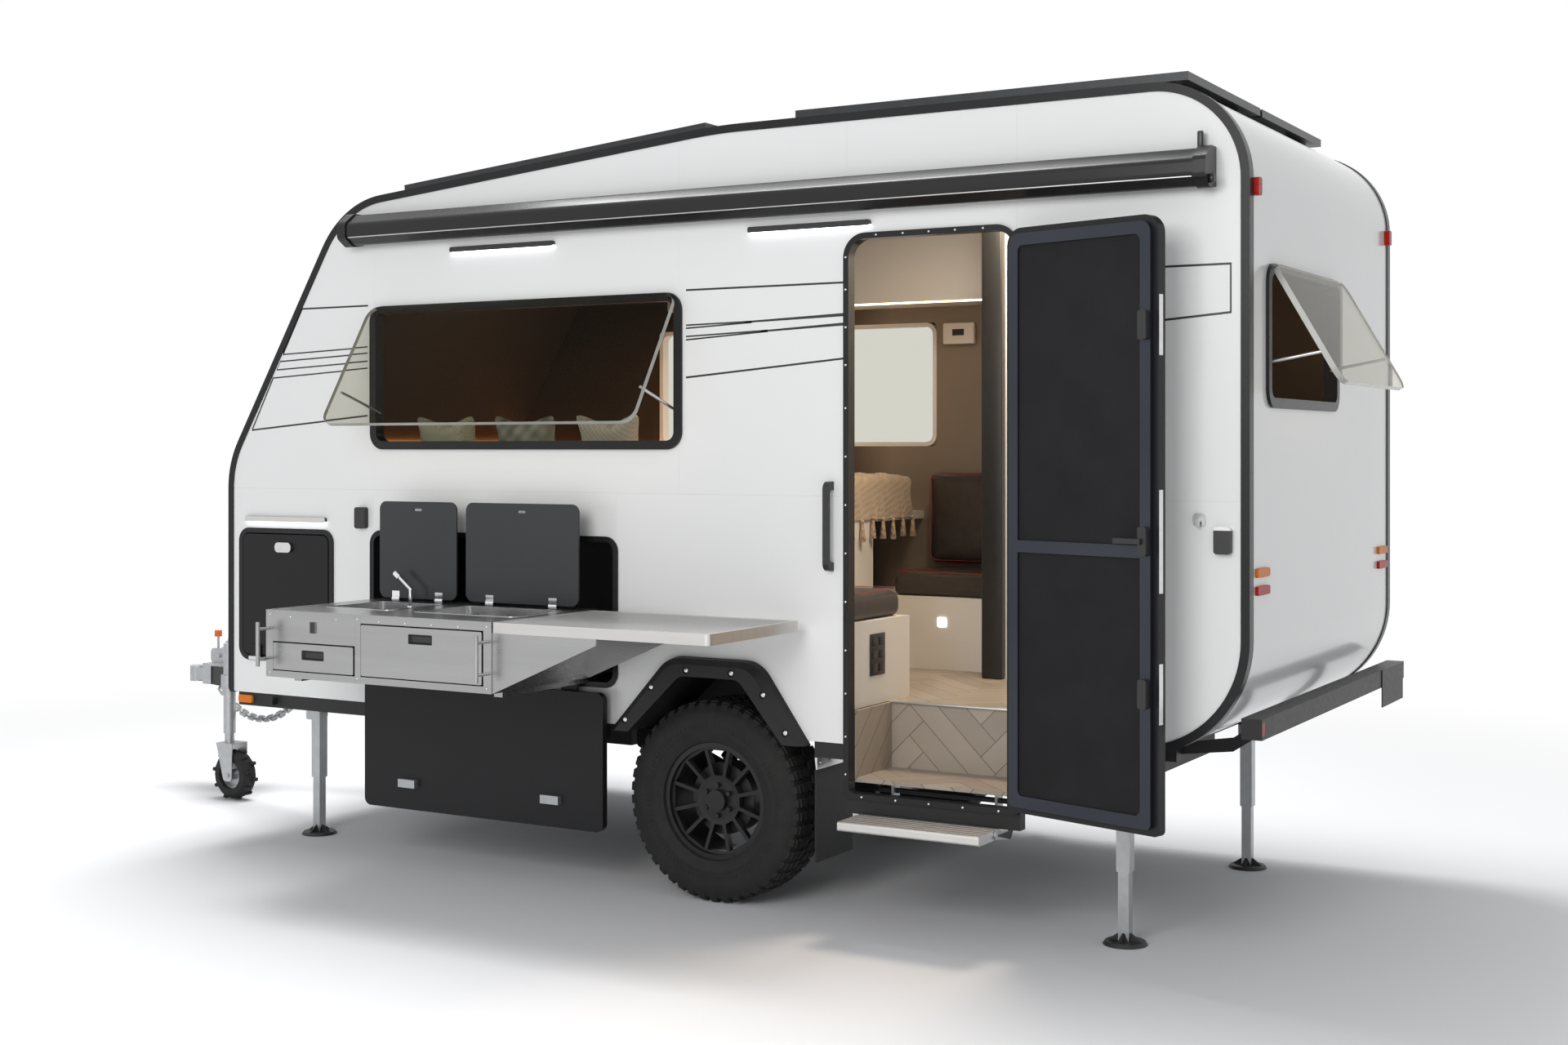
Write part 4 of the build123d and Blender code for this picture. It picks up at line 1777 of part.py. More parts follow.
def leg(x, y):
    """A stabiliser leg: an outer tube, its inner tube and a ribbed round pad, hung on a pin."""
    half = LEG_TUBE / 2
    outer = block(x - half, x + half, y - half, y + half, LEG_TUBE_BOTTOM, LEG_TOP)
    half = LEG_INNER / 2
    inner = block(x - half, x + half, y - half, y + half, LEG_PAD_THICK, LEG_TUBE_BOTTOM)
    pad = faceted([(0, LEG_PAD / 2), (LEG_PAD_THICK, LEG_PAD / 2 - LEG_RIB)], LEG_PAD_SIDES)
    foot = LEG_PAD / 2 - 2 * LEG_RIB
    top = LEG_PAD_THICK + LEG_RIB_HEIGHT
    points = [(-foot, LEG_PAD_THICK - THROUGH), (foot, LEG_PAD_THICK - THROUGH), (half, top), (-half, top)]
    rib = make_face(Polyline(*points, close=True))
    pad = pad + plate_y(rib, -LEG_RIB / 2, LEG_RIB / 2) + plate_x(rib, -LEG_RIB / 2, LEG_RIB / 2)
    hole = rod((x, y - LEG_TUBE, LEG_HINGE_Z), (x, y + LEG_TUBE, LEG_HINGE_Z), LEG_PIN + 2 * FIT)
    return outer + inner + Pos(x, y, 0) * pad - hole


def leg_brackets():
    """Forked brackets under the outriggers, each with its leg's pin, and the winding sockets."""
    pieces = []
    gap = LEG_TUBE / 2 + LEG_SIDE_GAP
    half = LEG_EAR_WIDTH / 2
    low = LEG_HINGE_Z - LEG_EAR_DROP
    for x, y in ((FRONT_LEG_X, FRONT_LEG_Y), (REAR_LEG_X, REAR_LEG_Y)):
        bracket = rod((x, y - gap - LEG_EAR, LEG_HINGE_Z), (x, y + gap + LEG_EAR, LEG_HINGE_Z), LEG_PIN)
        for y0 in (y - gap - LEG_EAR, y + gap):
            bracket = bracket + block(x - half, x + half, y0, y0 + LEG_EAR, low, RAIL_BOTTOM)
        pieces += [bracket, mirrored(bracket)]
    middle_z = (SILL_BOTTOM + BODY_BOTTOM) / 2
    sill_y = HALF - SILL_INSET
    stub = rod((FRONT_LEG_X, sill_y, middle_z), (FRONT_LEG_X, sill_y + LEG_STUB_LENGTH, middle_z), LEG_STUB)
    return pieces + [stub, mirrored(stub)]


def jockey_clamp():
    """The jockey wheel's outer tube, its clamp on the drawbar with a lever, and the winding handle on top."""
    axis = Pos(JOCKEY_X, JOCKEY_Y)
    radius = JOCKEY_TUBE / 2
    ring = Circle(radius) - Circle(JOCKEY_INNER / 2 + FIT)
    clamp = plate_z(axis * ring, JOCKEY_TUBE_BOTTOM, JOCKEY_TUBE_TOP)
    clamp = clamp + plate_z(axis * Circle(radius), JOCKEY_TUBE_TOP, JOCKEY_TUBE_TOP + JOCKEY_CAP)
    low = DRAWBAR_BOTTOM + CLAMP_RISE
    high = low + CLAMP_HEIGHT
    clamp = clamp + plate_z(axis * (Circle(radius + CLAMP_WALL) - Circle(radius - THROUGH)), low, high)
    half = CLAMP_LENGTH / 2
    tube_y = JOCKEY_Y - radius - THROUGH
    saddle = block(JOCKEY_X - half, JOCKEY_X + half, JOCKEY_Y - CLAMP_REACH, tube_y, low, high)
    clamp = clamp + (saddle - drawbar()[0]).solids().sort_by(Axis.Y)[-1]
    arm_z = JOCKEY_TUBE_TOP + CRANK_RISE
    hub = (JOCKEY_X, JOCKEY_Y, arm_z)
    stem = (JOCKEY_X, JOCKEY_Y, JOCKEY_TUBE_TOP)
    clamp = clamp + rod(stem, (JOCKEY_X, JOCKEY_Y, arm_z + CRANK_BAR / 2), CRANK_STEM)
    clamp = clamp + rod(hub, (JOCKEY_X - CRANK_LENGTH, JOCKEY_Y, arm_z), CRANK_BAR)
    elbow_z = high + CLAMP_LEVER_RISE
    foot = (JOCKEY_X, CLAMP_LEVER_Y, high - THROUGH)
    clamp = clamp + rod(foot, (JOCKEY_X, CLAMP_LEVER_Y, high + CLAMP_LEVER_HEIGHT), CLAMP_LEVER)
    elbow = (JOCKEY_X, CLAMP_LEVER_Y, elbow_z)
    return clamp + rod(elbow, (JOCKEY_X - CLAMP_LEVER_LENGTH, CLAMP_LEVER_Y, elbow_z), CLAMP_LEVER)


def jockey_leg():
    """The jockey wheel's inner tube and fork, which swivel in the outer tube."""
    top = JOCKEY_FORK_TOP
    inner = plate_z(Pos(JOCKEY_X, JOCKEY_Y) * Circle(JOCKEY_INNER / 2), top, top + JOCKEY_INNER_LENGTH)
    gap = JOCKEY_WIDTH / 2 + RUNNING
    reach = gap + JOCKEY_FORK_SHEET
    back_x = JOCKEY_X - JOCKEY_FORK_BACK
    front_x = JOCKEY_X + JOCKEY_FORK_FRONT
    bridge = block(back_x, front_x, JOCKEY_Y - reach, JOCKEY_Y + reach, top - JOCKEY_FORK_SHEET, top)
    axle_x = JOCKEY_X - JOCKEY_TRAIL
    toe_z = JOCKEY_RADIUS - JOCKEY_FORK_TOE
    points = [
        (back_x, top),
        (axle_x - JOCKEY_FORK_FOOT, toe_z),
        (axle_x + JOCKEY_FORK_FOOT, toe_z),
        (front_x, top),
    ]
    cheek = polygon(points, [0, JOCKEY_FORK_CORNER, JOCKEY_FORK_CORNER, 0])
    left = plate_y(cheek, JOCKEY_Y + gap, JOCKEY_Y + reach)
    right = plate_y(cheek, JOCKEY_Y - reach, JOCKEY_Y - gap)
    end = reach + JOCKEY_AXLE_END
    axle = rod((axle_x, JOCKEY_Y - end, JOCKEY_RADIUS), (axle_x, JOCKEY_Y + end, JOCKEY_RADIUS), JOCKEY_AXLE)
    return inner + bridge + left + right + axle


def jockey_place():
    """The jockey wheel's middle, with its axle along Y."""
    return Pos(JOCKEY_X - JOCKEY_TRAIL, JOCKEY_Y, JOCKEY_RADIUS)


def jockey_tyre():
    """The jockey wheel's solid rubber tyre, with two rows of lugs."""
    half = JOCKEY_WIDTH / 2
    base = JOCKEY_RADIUS - JOCKEY_LUG_HEIGHT
    profile = [
        (-half, base - JOCKEY_SHOULDER),
        (JOCKEY_SHOULDER - half, base),
        (half - JOCKEY_SHOULDER, base),
        (half, base - JOCKEY_SHOULDER),
    ]
    bore = faceted([(-half, JOCKEY_RIM / 2), (half, JOCKEY_RIM / 2)], JOCKEY_SIDES, inside=True)
    ring = Rot(-90, 0, 0) * (faceted(profile, JOCKEY_SIDES) - bore)
    depth = 2 * JOCKEY_LUG_HEIGHT
    lug = Box(JOCKEY_LUG_LENGTH, JOCKEY_LUG_WIDTH, depth)
    lug = Pos(0, JOCKEY_LUG_WIDTH / 2, JOCKEY_RADIUS - depth / 2) * lug
    step = 360 / JOCKEY_LUGS
    lugs = [Rot(0, index * step, 0) * lug for index in range(JOCKEY_LUGS)]
    lugs += [Rot(0, (index + 0.5) * step, 0) * mirrored(lug) for index in range(JOCKEY_LUGS)]
    return jockey_place() * (ring + lugs)


def jockey_rim():
    """The jockey wheel's rim, disc and hub."""
    half = JOCKEY_RIM_WIDTH / 2
    outer = JOCKEY_RIM / 2 - FIT
    rim = faceted([(-half, outer), (half, outer)], JOCKEY_SIDES, inside=True)
    inner = outer - JOCKEY_DISC
    hollow = faceted([(JOCKEY_DISC / 2, inner), (half + THROUGH, inner)], JOCKEY_SIDES)
    rim = rim - hollow - mirror(hollow, about=Plane.XY)
    end = JOCKEY_WIDTH / 2 - JOCKEY_HUB_INSET
    rim = rim + faceted([(-end, JOCKEY_HUB / 2), (end, JOCKEY_HUB / 2)], JOCKEY_SIDES)
    rim = rim - plate_z(Circle(JOCKEY_AXLE / 2 + FIT), -JOCKEY_WIDTH, JOCKEY_WIDTH)
    return jockey_place() * Rot(-90, 0, 0) * rim


def grab_handle():
    """The bar handle on the wall ahead of the doorway."""
    outer = rounded(HALF - GRAB_STANDOFF, HALF + GRAB_STANDOFF, GRAB_BOTTOM, GRAB_TOP, GRAB_CORNER)
    inner = rounded(HALF - GRAB_STANDOFF, HALF + GRAB_STANDOFF - GRAB_BAR, GRAB_BOTTOM + 2 * GRAB_BAR,
                    GRAB_TOP - 2 * GRAB_BAR, GRAB_CORNER - GRAB_BAR)
    bar = plate_x(outer - inner, GRAB_X - GRAB_WIDTH / 2, GRAB_X + GRAB_WIDTH / 2)
    return bar - block(-FAR, FAR, 0, HALF, 0, FAR)


def door_hook():
    """The hook on the wall that holds the open door."""
    half = HOOK_PLATE / 2
    plate = rounded(HOOK_X - half, HOOK_X + half, HOOK_Z - half, HOOK_Z + half, HOOK_BAR)
    hook = plate_y(plate, HALF, HALF + HOOK_BAR / 2)
    bar = HOOK_BAR / 2
    hook = hook + block(HOOK_X - bar, HOOK_X + bar, HALF, HALF + HOOK_PROUD, HOOK_Z - bar, HOOK_Z + bar)
    return hook + block(HOOK_X - bar, HOOK_X + bar, HALF + HOOK_PROUD - HOOK_BAR, HALF + HOOK_PROUD,
                        HOOK_Z - half, HOOK_Z + bar)


def sockets():
    """The two capped outlets on the door side."""
    pieces = []
    for x, z in SOCKETS:
        outline = Pos(x, z) * sheet(SOCKET_WIDTH, SOCKET_HEIGHT, SOCKET_CORNER)
        pieces.append(plate_y(outline, HALF, HALF + SOCKET_DEPTH))
    return pieces


def bed():
    """The bed base and the panel that closes its rear end."""
    inside = INNER - FIT
    base = block(BED_REAR_X, FRONT_X - WALL - BED_FRONT_GAP, -inside, inside, BED_BASE_BOTTOM,
                 BED_BASE_BOTTOM + BED_BASE_THICK)
    half = SEAT_BOX_INNER_Y - BED_END / 2
    return base + block(BED_REAR_X, BED_REAR_X + BED_END, -half, half, FLOOR_TOP, BED_BASE_BOTTOM)


def seat_box():
    """The left seat's box, open over the wheel arch."""
    front_x = BAY_REAR_X - SEAT_BOX_BAY_GAP
    outer = block(SEAT_BOX_REAR_X, front_x, SEAT_BOX_INNER_Y, INNER - FIT, FLOOR_TOP, SEAT_BOX_TOP)
    return outer - block(SEAT_BOX_REAR_X + BOARD, front_x - BOARD, SEAT_BOX_INNER_Y + BOARD, FAR,
                         FLOOR_TOP - THROUGH, SEAT_BOX_TOP - BOARD)


def cabinets():
    """White furniture: bed base, seat boxes over the arches, lockers, rear bench and washroom walls."""
    inside = INNER - FIT
    seat = seat_box()
    locker_x = PARTITION_X + PARTITION_THICK + RUNNING
    locker = block(locker_x, LOCKER_FRONT_X, -inside, LOCKER_DEPTH - inside,
                   LOCKER_TOP - LOCKER_HEIGHT, LOCKER_TOP)
    room = plate_y(offset(shell_outline(), -WALL - FIT), -inside, inside)
    bench_x = REAR_X + WALL + REAR_BENCH_DEPTH
    wall_y = PARTITION_Y + PARTITION_THICK
    bench = block(REAR_X, bench_x, wall_y, inside, FLOOR_TOP, REAR_BENCH_TOP) & room
    wall_top = ROOF_Z - WALL - PARTITION_GAP
    long_wall = block(bench_x, PARTITION_X, PARTITION_Y, wall_y, FLOOR_TOP, wall_top)
    cross_wall = block(PARTITION_X, PARTITION_X + PARTITION_THICK, -inside, wall_y, FLOOR_TOP, wall_top)
    return [bed(), seat, mirrored(seat), locker, bench, long_wall + cross_wall]


def cushions():
    """The seat cushions and the back rest."""
    inside = INNER - CUSHION_WALL_GAP
    low = SEAT_BOX_TOP + FIT
    high = SEAT_BOX_TOP + SEAT_CUSHION
    seat = block(SEAT_BOX_REAR_X + CUSHION_GAP, SEAT_FRONT_X, SEAT_BOX_INNER_Y + CUSHION_GAP, inside,
                 low, high)
    back = block(SEAT_BOX_REAR_X + BACK_REST_INSET, SEAT_FRONT_X, -inside, BACK_REST_THICK - inside,
                 high + FIT, BACK_REST_TOP)
    return [seat, mirrored(seat), back]


def mattress():
    """The mattress on the bed base, stopped short of the raked nose."""
    low = BED_BASE_BOTTOM + BED_BASE_THICK + FIT
    half = INNER - MATTRESS_MARGIN
    return block(BED_REAR_X + MATTRESS_SETBACK, FRONT_X - WALL - MATTRESS_MARGIN, -half, half, low,
                 low + MATTRESS_THICK)


def pillows():
    """Three pillows along the window side of the bed."""
    low = BED_BASE_BOTTOM + BED_BASE_THICK + MATTRESS_THICK + 2 * FIT
    high = low + PILLOW_HEIGHT
    outer_y = INNER - PILLOW_WALL_GAP
    inner_y = outer_y - PILLOW_DEPTH
    half = PILLOW_LENGTH / 2
    return [block(x - half, x + half, inner_y, outer_y, low, high) for x in PILLOW_XS]


def water_tanks():
    """Two tanks between the rails, ahead of and behind the axle."""
    y = RAIL_Y - RAIL_WIDTH / 2 - TANK_GAP
    return [block(x0, x1, -y, y, low, RAIL_TOP) for x0, x1, low in (FRONT_TANK, REAR_TANK)]


def nodes():
    """Every piece of the trailer by name."""
    left_wall, right_wall = side_walls()
    front_panel, roof_panel, rear_panel = shell_wrap()
    frames, panes, stays = windows()
    red, amber = marker_lamps()
    hatch = boot_hatch()
    small, large = drawer_bays()
    return {
        "side_wall_left": left_wall,
        "side_wall_right": [right_wall],
        "front_panel": [front_panel],
        "roof_panel": [roof_panel],
        "rear_panel": [rear_panel],
        "floor_panel": [floor_panel()],
        "edge_trims": edge_trims(),
        "wall_frames": frames + hatch_frames(),
        "window_panes": panes,
        "door_frame": [door_frame()],
        "entry_door": [entry_door()],
        "door_screen": [door_screen()],
        "wall_fittings": stays + [grab_handle(), door_hook()] + sockets(),
        "step_well": [step_well()],
        "step_arms": [step_arms()],
        "step_tread": [step_tread()],
        "chassis_rails": chassis_rails() + sill_rails() + [door_beam()],
        "crossmembers": crossmembers(),
        "drawbar": drawbar(),
        "coupling": [coupling()],
        "safety_chains": safety_chain() + [shackle(), padlock()],
        "rear_bumper": [rear_bumper()],
        "tyre_left": [tyre(1)],
        "tyre_right": [tyre(-1)],
        "rim_left": [rim(1)],
        "rim_right": [rim(-1)],
        "trailing_arms": trailing_arms() + springs(),
        "wheel_arches": wheel_arches() + mudflaps(),
        "boot_hatch_left": [hatch],
        "boot_hatch_right": [mirrored(hatch)],
        "storage_liners": [front_boot(), kitchen_bay()],
        "kitchen_hatch": [kitchen_hatch()],
        "kitchen_carcass": kitchen_carcass() + kitchen_runners(),
        "kitchen_front": kitchen_front(),
        "bench_fittings": [sink_bowl(), hob()],
        "sink_lid": [lid(SINK_REAR_X, SINK_FRONT_X)],
        "hob_lid": [lid(HOB_REAR_X, HOB_FRONT_X)],
        "tap": [tap()],
        "drawer_small": [drawer(*small)],
        "drawer_large": [drawer(*large)],
        "side_table": [side_table()],
        "table_gussets": table_gussets(),
        "awning": [awning()],
        "lamp_strips": lamp_strips(),
        "red_lamps": red,
        "amber_lamps": amber,
        "solar_panels": solar_panels(),
        "brackets": leg_brackets() + step_hangers() + bumper_brackets(),
        "leg_front_left": [leg(FRONT_LEG_X, FRONT_LEG_Y)],
        "leg_front_right": [leg(FRONT_LEG_X, -FRONT_LEG_Y)],
        "leg_rear_left": [leg(REAR_LEG_X, REAR_LEG_Y)],
        "leg_rear_right": [leg(REAR_LEG_X, -REAR_LEG_Y)],
        "jockey_clamp": [jockey_clamp()],
        "jockey_leg": [jockey_leg()],
        "jockey_tyre": [jockey_tyre()],
        "jockey_rim": [jockey_rim()],
        "cabinets": cabinets(),
        "cushions": cushions() + pillows(),
        "mattress": [mattress()],
        "water_tanks": water_tanks(),
    }


def solids_of(pieces):
    """The solids of a node, moved into the shared frame."""
    found = []
    for piece in pieces:
        for solid in piece.solids():
            found.append(Pos(-ORIGIN_X, -ORIGIN_Y, 0) * solid)
    return found


def main():
    os.makedirs("parts", exist_ok=True)
    for name, pieces in nodes().items():
        solids = solids_of(pieces)
        shape = solids[0] if len(solids) == 1 else Compound(solids)
        export_step(shape, os.path.join("parts", name + ".step"))


if __name__ == "__main__":
    main()
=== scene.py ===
from math import cos, pi, radians, sin

import bmesh
import bpy
from mathutils import Matrix, Vector


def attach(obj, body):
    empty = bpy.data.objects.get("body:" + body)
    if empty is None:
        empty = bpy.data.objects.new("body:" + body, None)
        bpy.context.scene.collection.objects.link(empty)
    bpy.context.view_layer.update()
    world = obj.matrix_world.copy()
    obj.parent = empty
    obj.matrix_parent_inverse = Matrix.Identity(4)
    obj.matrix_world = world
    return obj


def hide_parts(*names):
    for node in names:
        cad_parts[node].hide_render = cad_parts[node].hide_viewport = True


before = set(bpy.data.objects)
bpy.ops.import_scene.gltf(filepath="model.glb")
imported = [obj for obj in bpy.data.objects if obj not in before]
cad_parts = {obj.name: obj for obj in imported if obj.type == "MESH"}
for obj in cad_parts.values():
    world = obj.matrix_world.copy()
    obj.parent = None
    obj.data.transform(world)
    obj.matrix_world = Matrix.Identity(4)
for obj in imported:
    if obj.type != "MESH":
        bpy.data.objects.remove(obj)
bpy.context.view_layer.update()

# The viewer's camera stands off the rear left corner at eye height, level, with a mild
# telephoto lens. Its frame is shifted down a little to take in the feet of the legs.
# Every place below is given from the point on the floor under the middle of the axle.
AXLE = Vector((0.740, 0.356, 0))
EYE = Vector((-4.045, 7.344, 1.77))
HEADING = radians(-149.77)
bpy.ops.object.select_all(action="DESELECT")
bpy.ops.object.camera_add(rotation=(radians(90), 0, HEADING))
camera = bpy.context.object
camera.location = EYE - AXLE
camera.data.lens = 44.59
camera.data.sensor_width = 36
camera.data.shift_y = -0.0472
bpy.context.scene.camera = camera
bpy.context.scene.view_settings.view_transform = "Standard"

# A plain pale studio: a floor that keeps the trailer's shadow and fades to white away from
# it, a white surround, one wide soft lamp overhead and a weaker one beside the camera.
bpy.ops.mesh.primitive_plane_add(size=60, location=(0, 0, -0.001))
floor = bpy.context.object
floor.name = "studio_floor"


def maths(tree, operation, *values):
    """One sum in a shader, where each value is a number or another node's output."""
    node = tree.nodes.new("ShaderNodeMath")
    node.operation = operation
    for socket, value in zip(node.inputs, values):
        if isinstance(value, (int, float)):
            socket.default_value = value
        else:
            tree.links.new(value, socket)
    return node.outputs[0]


def background_mix(tree, lit, seen, share=None):
    """Lets camera, glossy and transmission rays see one shader and all other rays another."""
    path = tree.nodes.new("ShaderNodeLightPath")
    factor = maths(tree, "MAXIMUM", path.outputs["Is Camera Ray"], path.outputs["Is Glossy Ray"])
    factor = maths(tree, "MAXIMUM", factor, path.outputs["Is Transmission Ray"])
    if share is not None:
        factor = maths(tree, "MULTIPLY", factor, share)
    mix = tree.nodes.new("ShaderNodeMixShader")
    for socket, value in zip(mix.inputs, (factor, lit, seen)):
        tree.links.new(value, socket)
    return mix.outputs[0]


pale = bpy.data.materials.new("pale_floor")
pale.use_nodes = True
nodes, links = pale.node_tree.nodes, pale.node_tree.links
shader = nodes["Principled BSDF"]
shader.inputs["Base Color"].default_value = (0.86, 0.86, 0.87, 1)
shader.inputs["Roughness"].default_value = 0.9
shader.inputs["Specular IOR Level"].default_value = 0.1
white = nodes.new("ShaderNodeEmission")
place = nodes.new("ShaderNodeTexCoord")
distance = nodes.new("ShaderNodeVectorMath")
distance.operation = "LENGTH"
links.new(place.outputs["Object"], distance.inputs[0])
fade = nodes.new("ShaderNodeMapRange")
fade.interpolation_type = "SMOOTHSTEP"
fade.inputs["From Min"].default_value = 2.6
fade.inputs["From Max"].default_value = 7.5
links.new(distance.outputs["Value"], fade.inputs["Value"])
shown = background_mix(pale.node_tree, shader.outputs[0], white.outputs[0], fade.outputs[0])
links.new(shown, nodes["Material Output"].inputs["Surface"])
floor.data.materials.append(pale)

world = bpy.data.worlds.new("studio")
bpy.context.scene.world = world
world.use_nodes = True
nodes, links = world.node_tree.nodes, world.node_tree.links
soft = nodes["Background"]
soft.inputs["Color"].default_value = (0.95, 0.97, 1, 1)
soft.inputs["Strength"].default_value = 0.42
bright = nodes.new("ShaderNodeBackground")
bright.inputs["Color"].default_value = (1, 1, 1, 1)
shown = background_mix(world.node_tree, soft.outputs[0], bright.outputs[0])
links.new(shown, nodes["World Output"].inputs["Surface"])


def lamp(name, place, aim, size, power, tint=(1, 1, 1)):
    """A square area lamp at one point, turned to another."""
    data = bpy.data.lights.new(name, "AREA")
    data.size = size
    data.energy = power
    data.color = tint
    made = bpy.data.objects.new(name, data)
    bpy.context.scene.collection.objects.link(made)
    made.location = Vector(place) - AXLE
    made.rotation_euler = (Vector(aim) - Vector(place)).to_track_quat("-Z", "Y").to_euler()
    return made


lamp("overhead", (2.2, -1.2, 8.5), (0.2, 0.2, 0.5), 4.0, 760)
lamp("beside_camera", (-1.5, 9.5, 4.2), (0.2, 0, 1.4), 4.0, 330)

# The chassis is welded steel: two rails, sills under the walls, crossmembers, outriggers,
# the drawbar's two beams and a square bumper bar, all in satin black paint with road dust.
FINENESS = 14


def new_group(name, takes, *gives):
    """An empty shader group: the sockets it takes, each with its kind, and the values it gives."""
    group = bpy.data.node_groups.new(name, "ShaderNodeTree")
    for socket, kind in takes.items():
        group.interface.new_socket(socket, in_out="INPUT", socket_type="NodeSocket" + kind)
    for socket in gives:
        group.interface.new_socket(socket, in_out="OUTPUT", socket_type="NodeSocketFloat")
    return group, group.nodes.new("NodeGroupInput"), group.nodes.new("NodeGroupOutput")


def grain_group():
    """A shared drift of tone, in a coarse and a fine noise that may be drawn out one way."""
    group, given, result = new_group("grain", {"Scale": "Float", "Stretch": "Vector"}, "Drift", "Fine")
    nodes, links = group.nodes, group.links
    place = nodes.new("ShaderNodeTexCoord")
    drawn = nodes.new("ShaderNodeVectorMath")
    drawn.operation = "MULTIPLY"
    links.new(place.outputs["Object"], drawn.inputs[0])
    links.new(given.outputs["Stretch"], drawn.inputs[1])
    fine_scale = maths(group, "MULTIPLY", given.outputs["Scale"], FINENESS)
    for name, scale in (("Drift", given.outputs["Scale"]), ("Fine", fine_scale)):
        noise = nodes.new("ShaderNodeTexNoise")
        noise.inputs["Detail"].default_value = 3
        links.new(drawn.outputs[0], noise.inputs["Vector"])
        links.new(scale, noise.inputs["Scale"])
        links.new(noise.outputs["Fac"], result.inputs[name])
    return group


GRAIN = grain_group()


def coat(name, tint, shade, rough, scale=3.0, spread=0.06, height=0.0, stretch=(1, 1, 1), **plain):
    """A finish that drifts between two tones, with gloss and relief from the same grain."""
    material = bpy.data.materials.new(name)
    material.use_nodes = True
    nodes, links = material.node_tree.nodes, material.node_tree.links
    shader = nodes["Principled BSDF"]
    for socket, value in plain.items():
        shader.inputs[socket.replace("_", " ")].default_value = value
    grain = nodes.new("ShaderNodeGroup")
    grain.node_tree = GRAIN
    grain.name = "grain"
    grain.inputs["Scale"].default_value = scale
    grain.inputs["Stretch"].default_value = stretch
    tone = nodes.new("ShaderNodeMix")
    tone.name = "tone"
    tone.data_type = "RGBA"
    tone.inputs[6].default_value = (*tint, 1)
    tone.inputs[7].default_value = (*shade, 1)
    links.new(grain.outputs["Drift"], tone.inputs[0])
    links.new(tone.outputs[2], shader.inputs["Base Color"])
    gloss = nodes.new("ShaderNodeMapRange")
    gloss.inputs["To Min"].default_value = rough - spread
    gloss.inputs["To Max"].default_value = rough + spread
    links.new(grain.outputs["Fine"], gloss.inputs["Value"])
    links.new(gloss.outputs[0], shader.inputs["Roughness"])
    if height:
        relief = nodes.new("ShaderNodeBump")
        relief.name = "relief"
        relief.inputs["Distance"].default_value = height
        links.new(grain.outputs["Fine"], relief.inputs["Height"])
        links.new(relief.outputs[0], shader.inputs["Normal"])
    return material


def dress(material, *names):
    """Gives whole CAD nodes one finish."""
    for name in names:
        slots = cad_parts[name].data.materials
        slots.clear()
        slots.append(material)


def dress_where(material, name, chosen):
    """Gives the faces of a CAD node whose middle is chosen a finish of their own."""
    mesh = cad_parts[name].data
    mesh.materials.append(material)
    for face in mesh.polygons:
        if chosen(face.center + AXLE, face):
            face.material_index = len(mesh.materials) - 1


chassis_black = coat("chassis_black", (0.012, 0.012, 0.013), (0.024, 0.023, 0.022), 0.46, 4, 0.1, 0.0004,
                     Specular_IOR_Level=0.3)
dress(chassis_black, "chassis_rails", "crossmembers", "drawbar", "rear_bumper", "trailing_arms", "brackets")
galvanised = coat("galvanised", (0.5, 0.51, 0.52), (0.36, 0.37, 0.385), 0.42, 28, 0.1, 0.0003, Metallic=0.9)
PLATED_TOP, PLATED_HALF, PLATED_REAR = 0.655, 0.9, -1.7
dress_where(galvanised, "brackets",
            lambda at, face: at.z < PLATED_TOP and abs(at.y) < PLATED_HALF and at.x > PLATED_REAR)

# The body is sandwich panel: glossy white glass-fibre skins bonded over foam, one piece a
# side, a raked nose, a roof and a rounded tail. Inside it is lined with taupe board, which
# gives way to dark walnut round the bed.


def overlay(material, tint, share):
    """Lays a second tone over a coat's own, by as much as a mask says."""
    tree = material.node_tree
    mix = tree.nodes.new("ShaderNodeMix")
    mix.data_type = "RGBA"
    mix.inputs[7].default_value = (*tint, 1)
    tree.links.new(share, mix.inputs[0])
    tree.links.new(tree.nodes["tone"].outputs[2], mix.inputs[6])
    tree.links.new(mix.outputs[2], tree.nodes["Principled BSDF"].inputs["Base Color"])


gelcoat = coat("white_gelcoat", (0.83, 0.83, 0.82), (0.79, 0.79, 0.785), 0.2, 0.9, 0.03, 0.0002,
               Coat_Weight=0.25, Coat_Roughness=0.06)
dress(gelcoat, "side_wall_left", "side_wall_right", "front_panel", "rear_panel", "roof_panel", "entry_door")
lining = coat("taupe_lining", (0.27, 0.22, 0.17), (0.22, 0.175, 0.135), 0.55, 2.5, 0.06, 0.0002)
WALNUT_FROM, WALNUT_TO = -0.55, -0.3
nodes, links = lining.node_tree.nodes, lining.node_tree.links
place = nodes.new("ShaderNodeTexCoord")
split = nodes.new("ShaderNodeSeparateXYZ")
links.new(place.outputs["Object"], split.inputs[0])
bed_end = nodes.new("ShaderNodeMapRange")
bed_end.inputs["From Min"].default_value = WALNUT_FROM
bed_end.inputs["From Max"].default_value = WALNUT_TO
links.new(split.outputs["X"], bed_end.inputs["Value"])
overlay(lining, (0.045, 0.03, 0.02), bed_end.outputs[0])
dress_where(lining, "side_wall_right", lambda at, face: face.normal.y > 0.9)
dress_where(lining, "side_wall_left", lambda at, face: face.normal.y < -0.9)
dress_where(lining, "front_panel", lambda at, face: face.normal.x < -0.3)
dress_where(lining, "rear_panel", lambda at, face: face.normal.x > 0.3)
dress_where(lining, "roof_panel", lambda at, face: face.normal.z < -0.5)
liner_black = coat("black_liner", (0.012, 0.012, 0.013), (0.022, 0.022, 0.022), 0.55, 8, 0.08, 0.0004)
dress(liner_black, "storage_liners", "water_tanks")

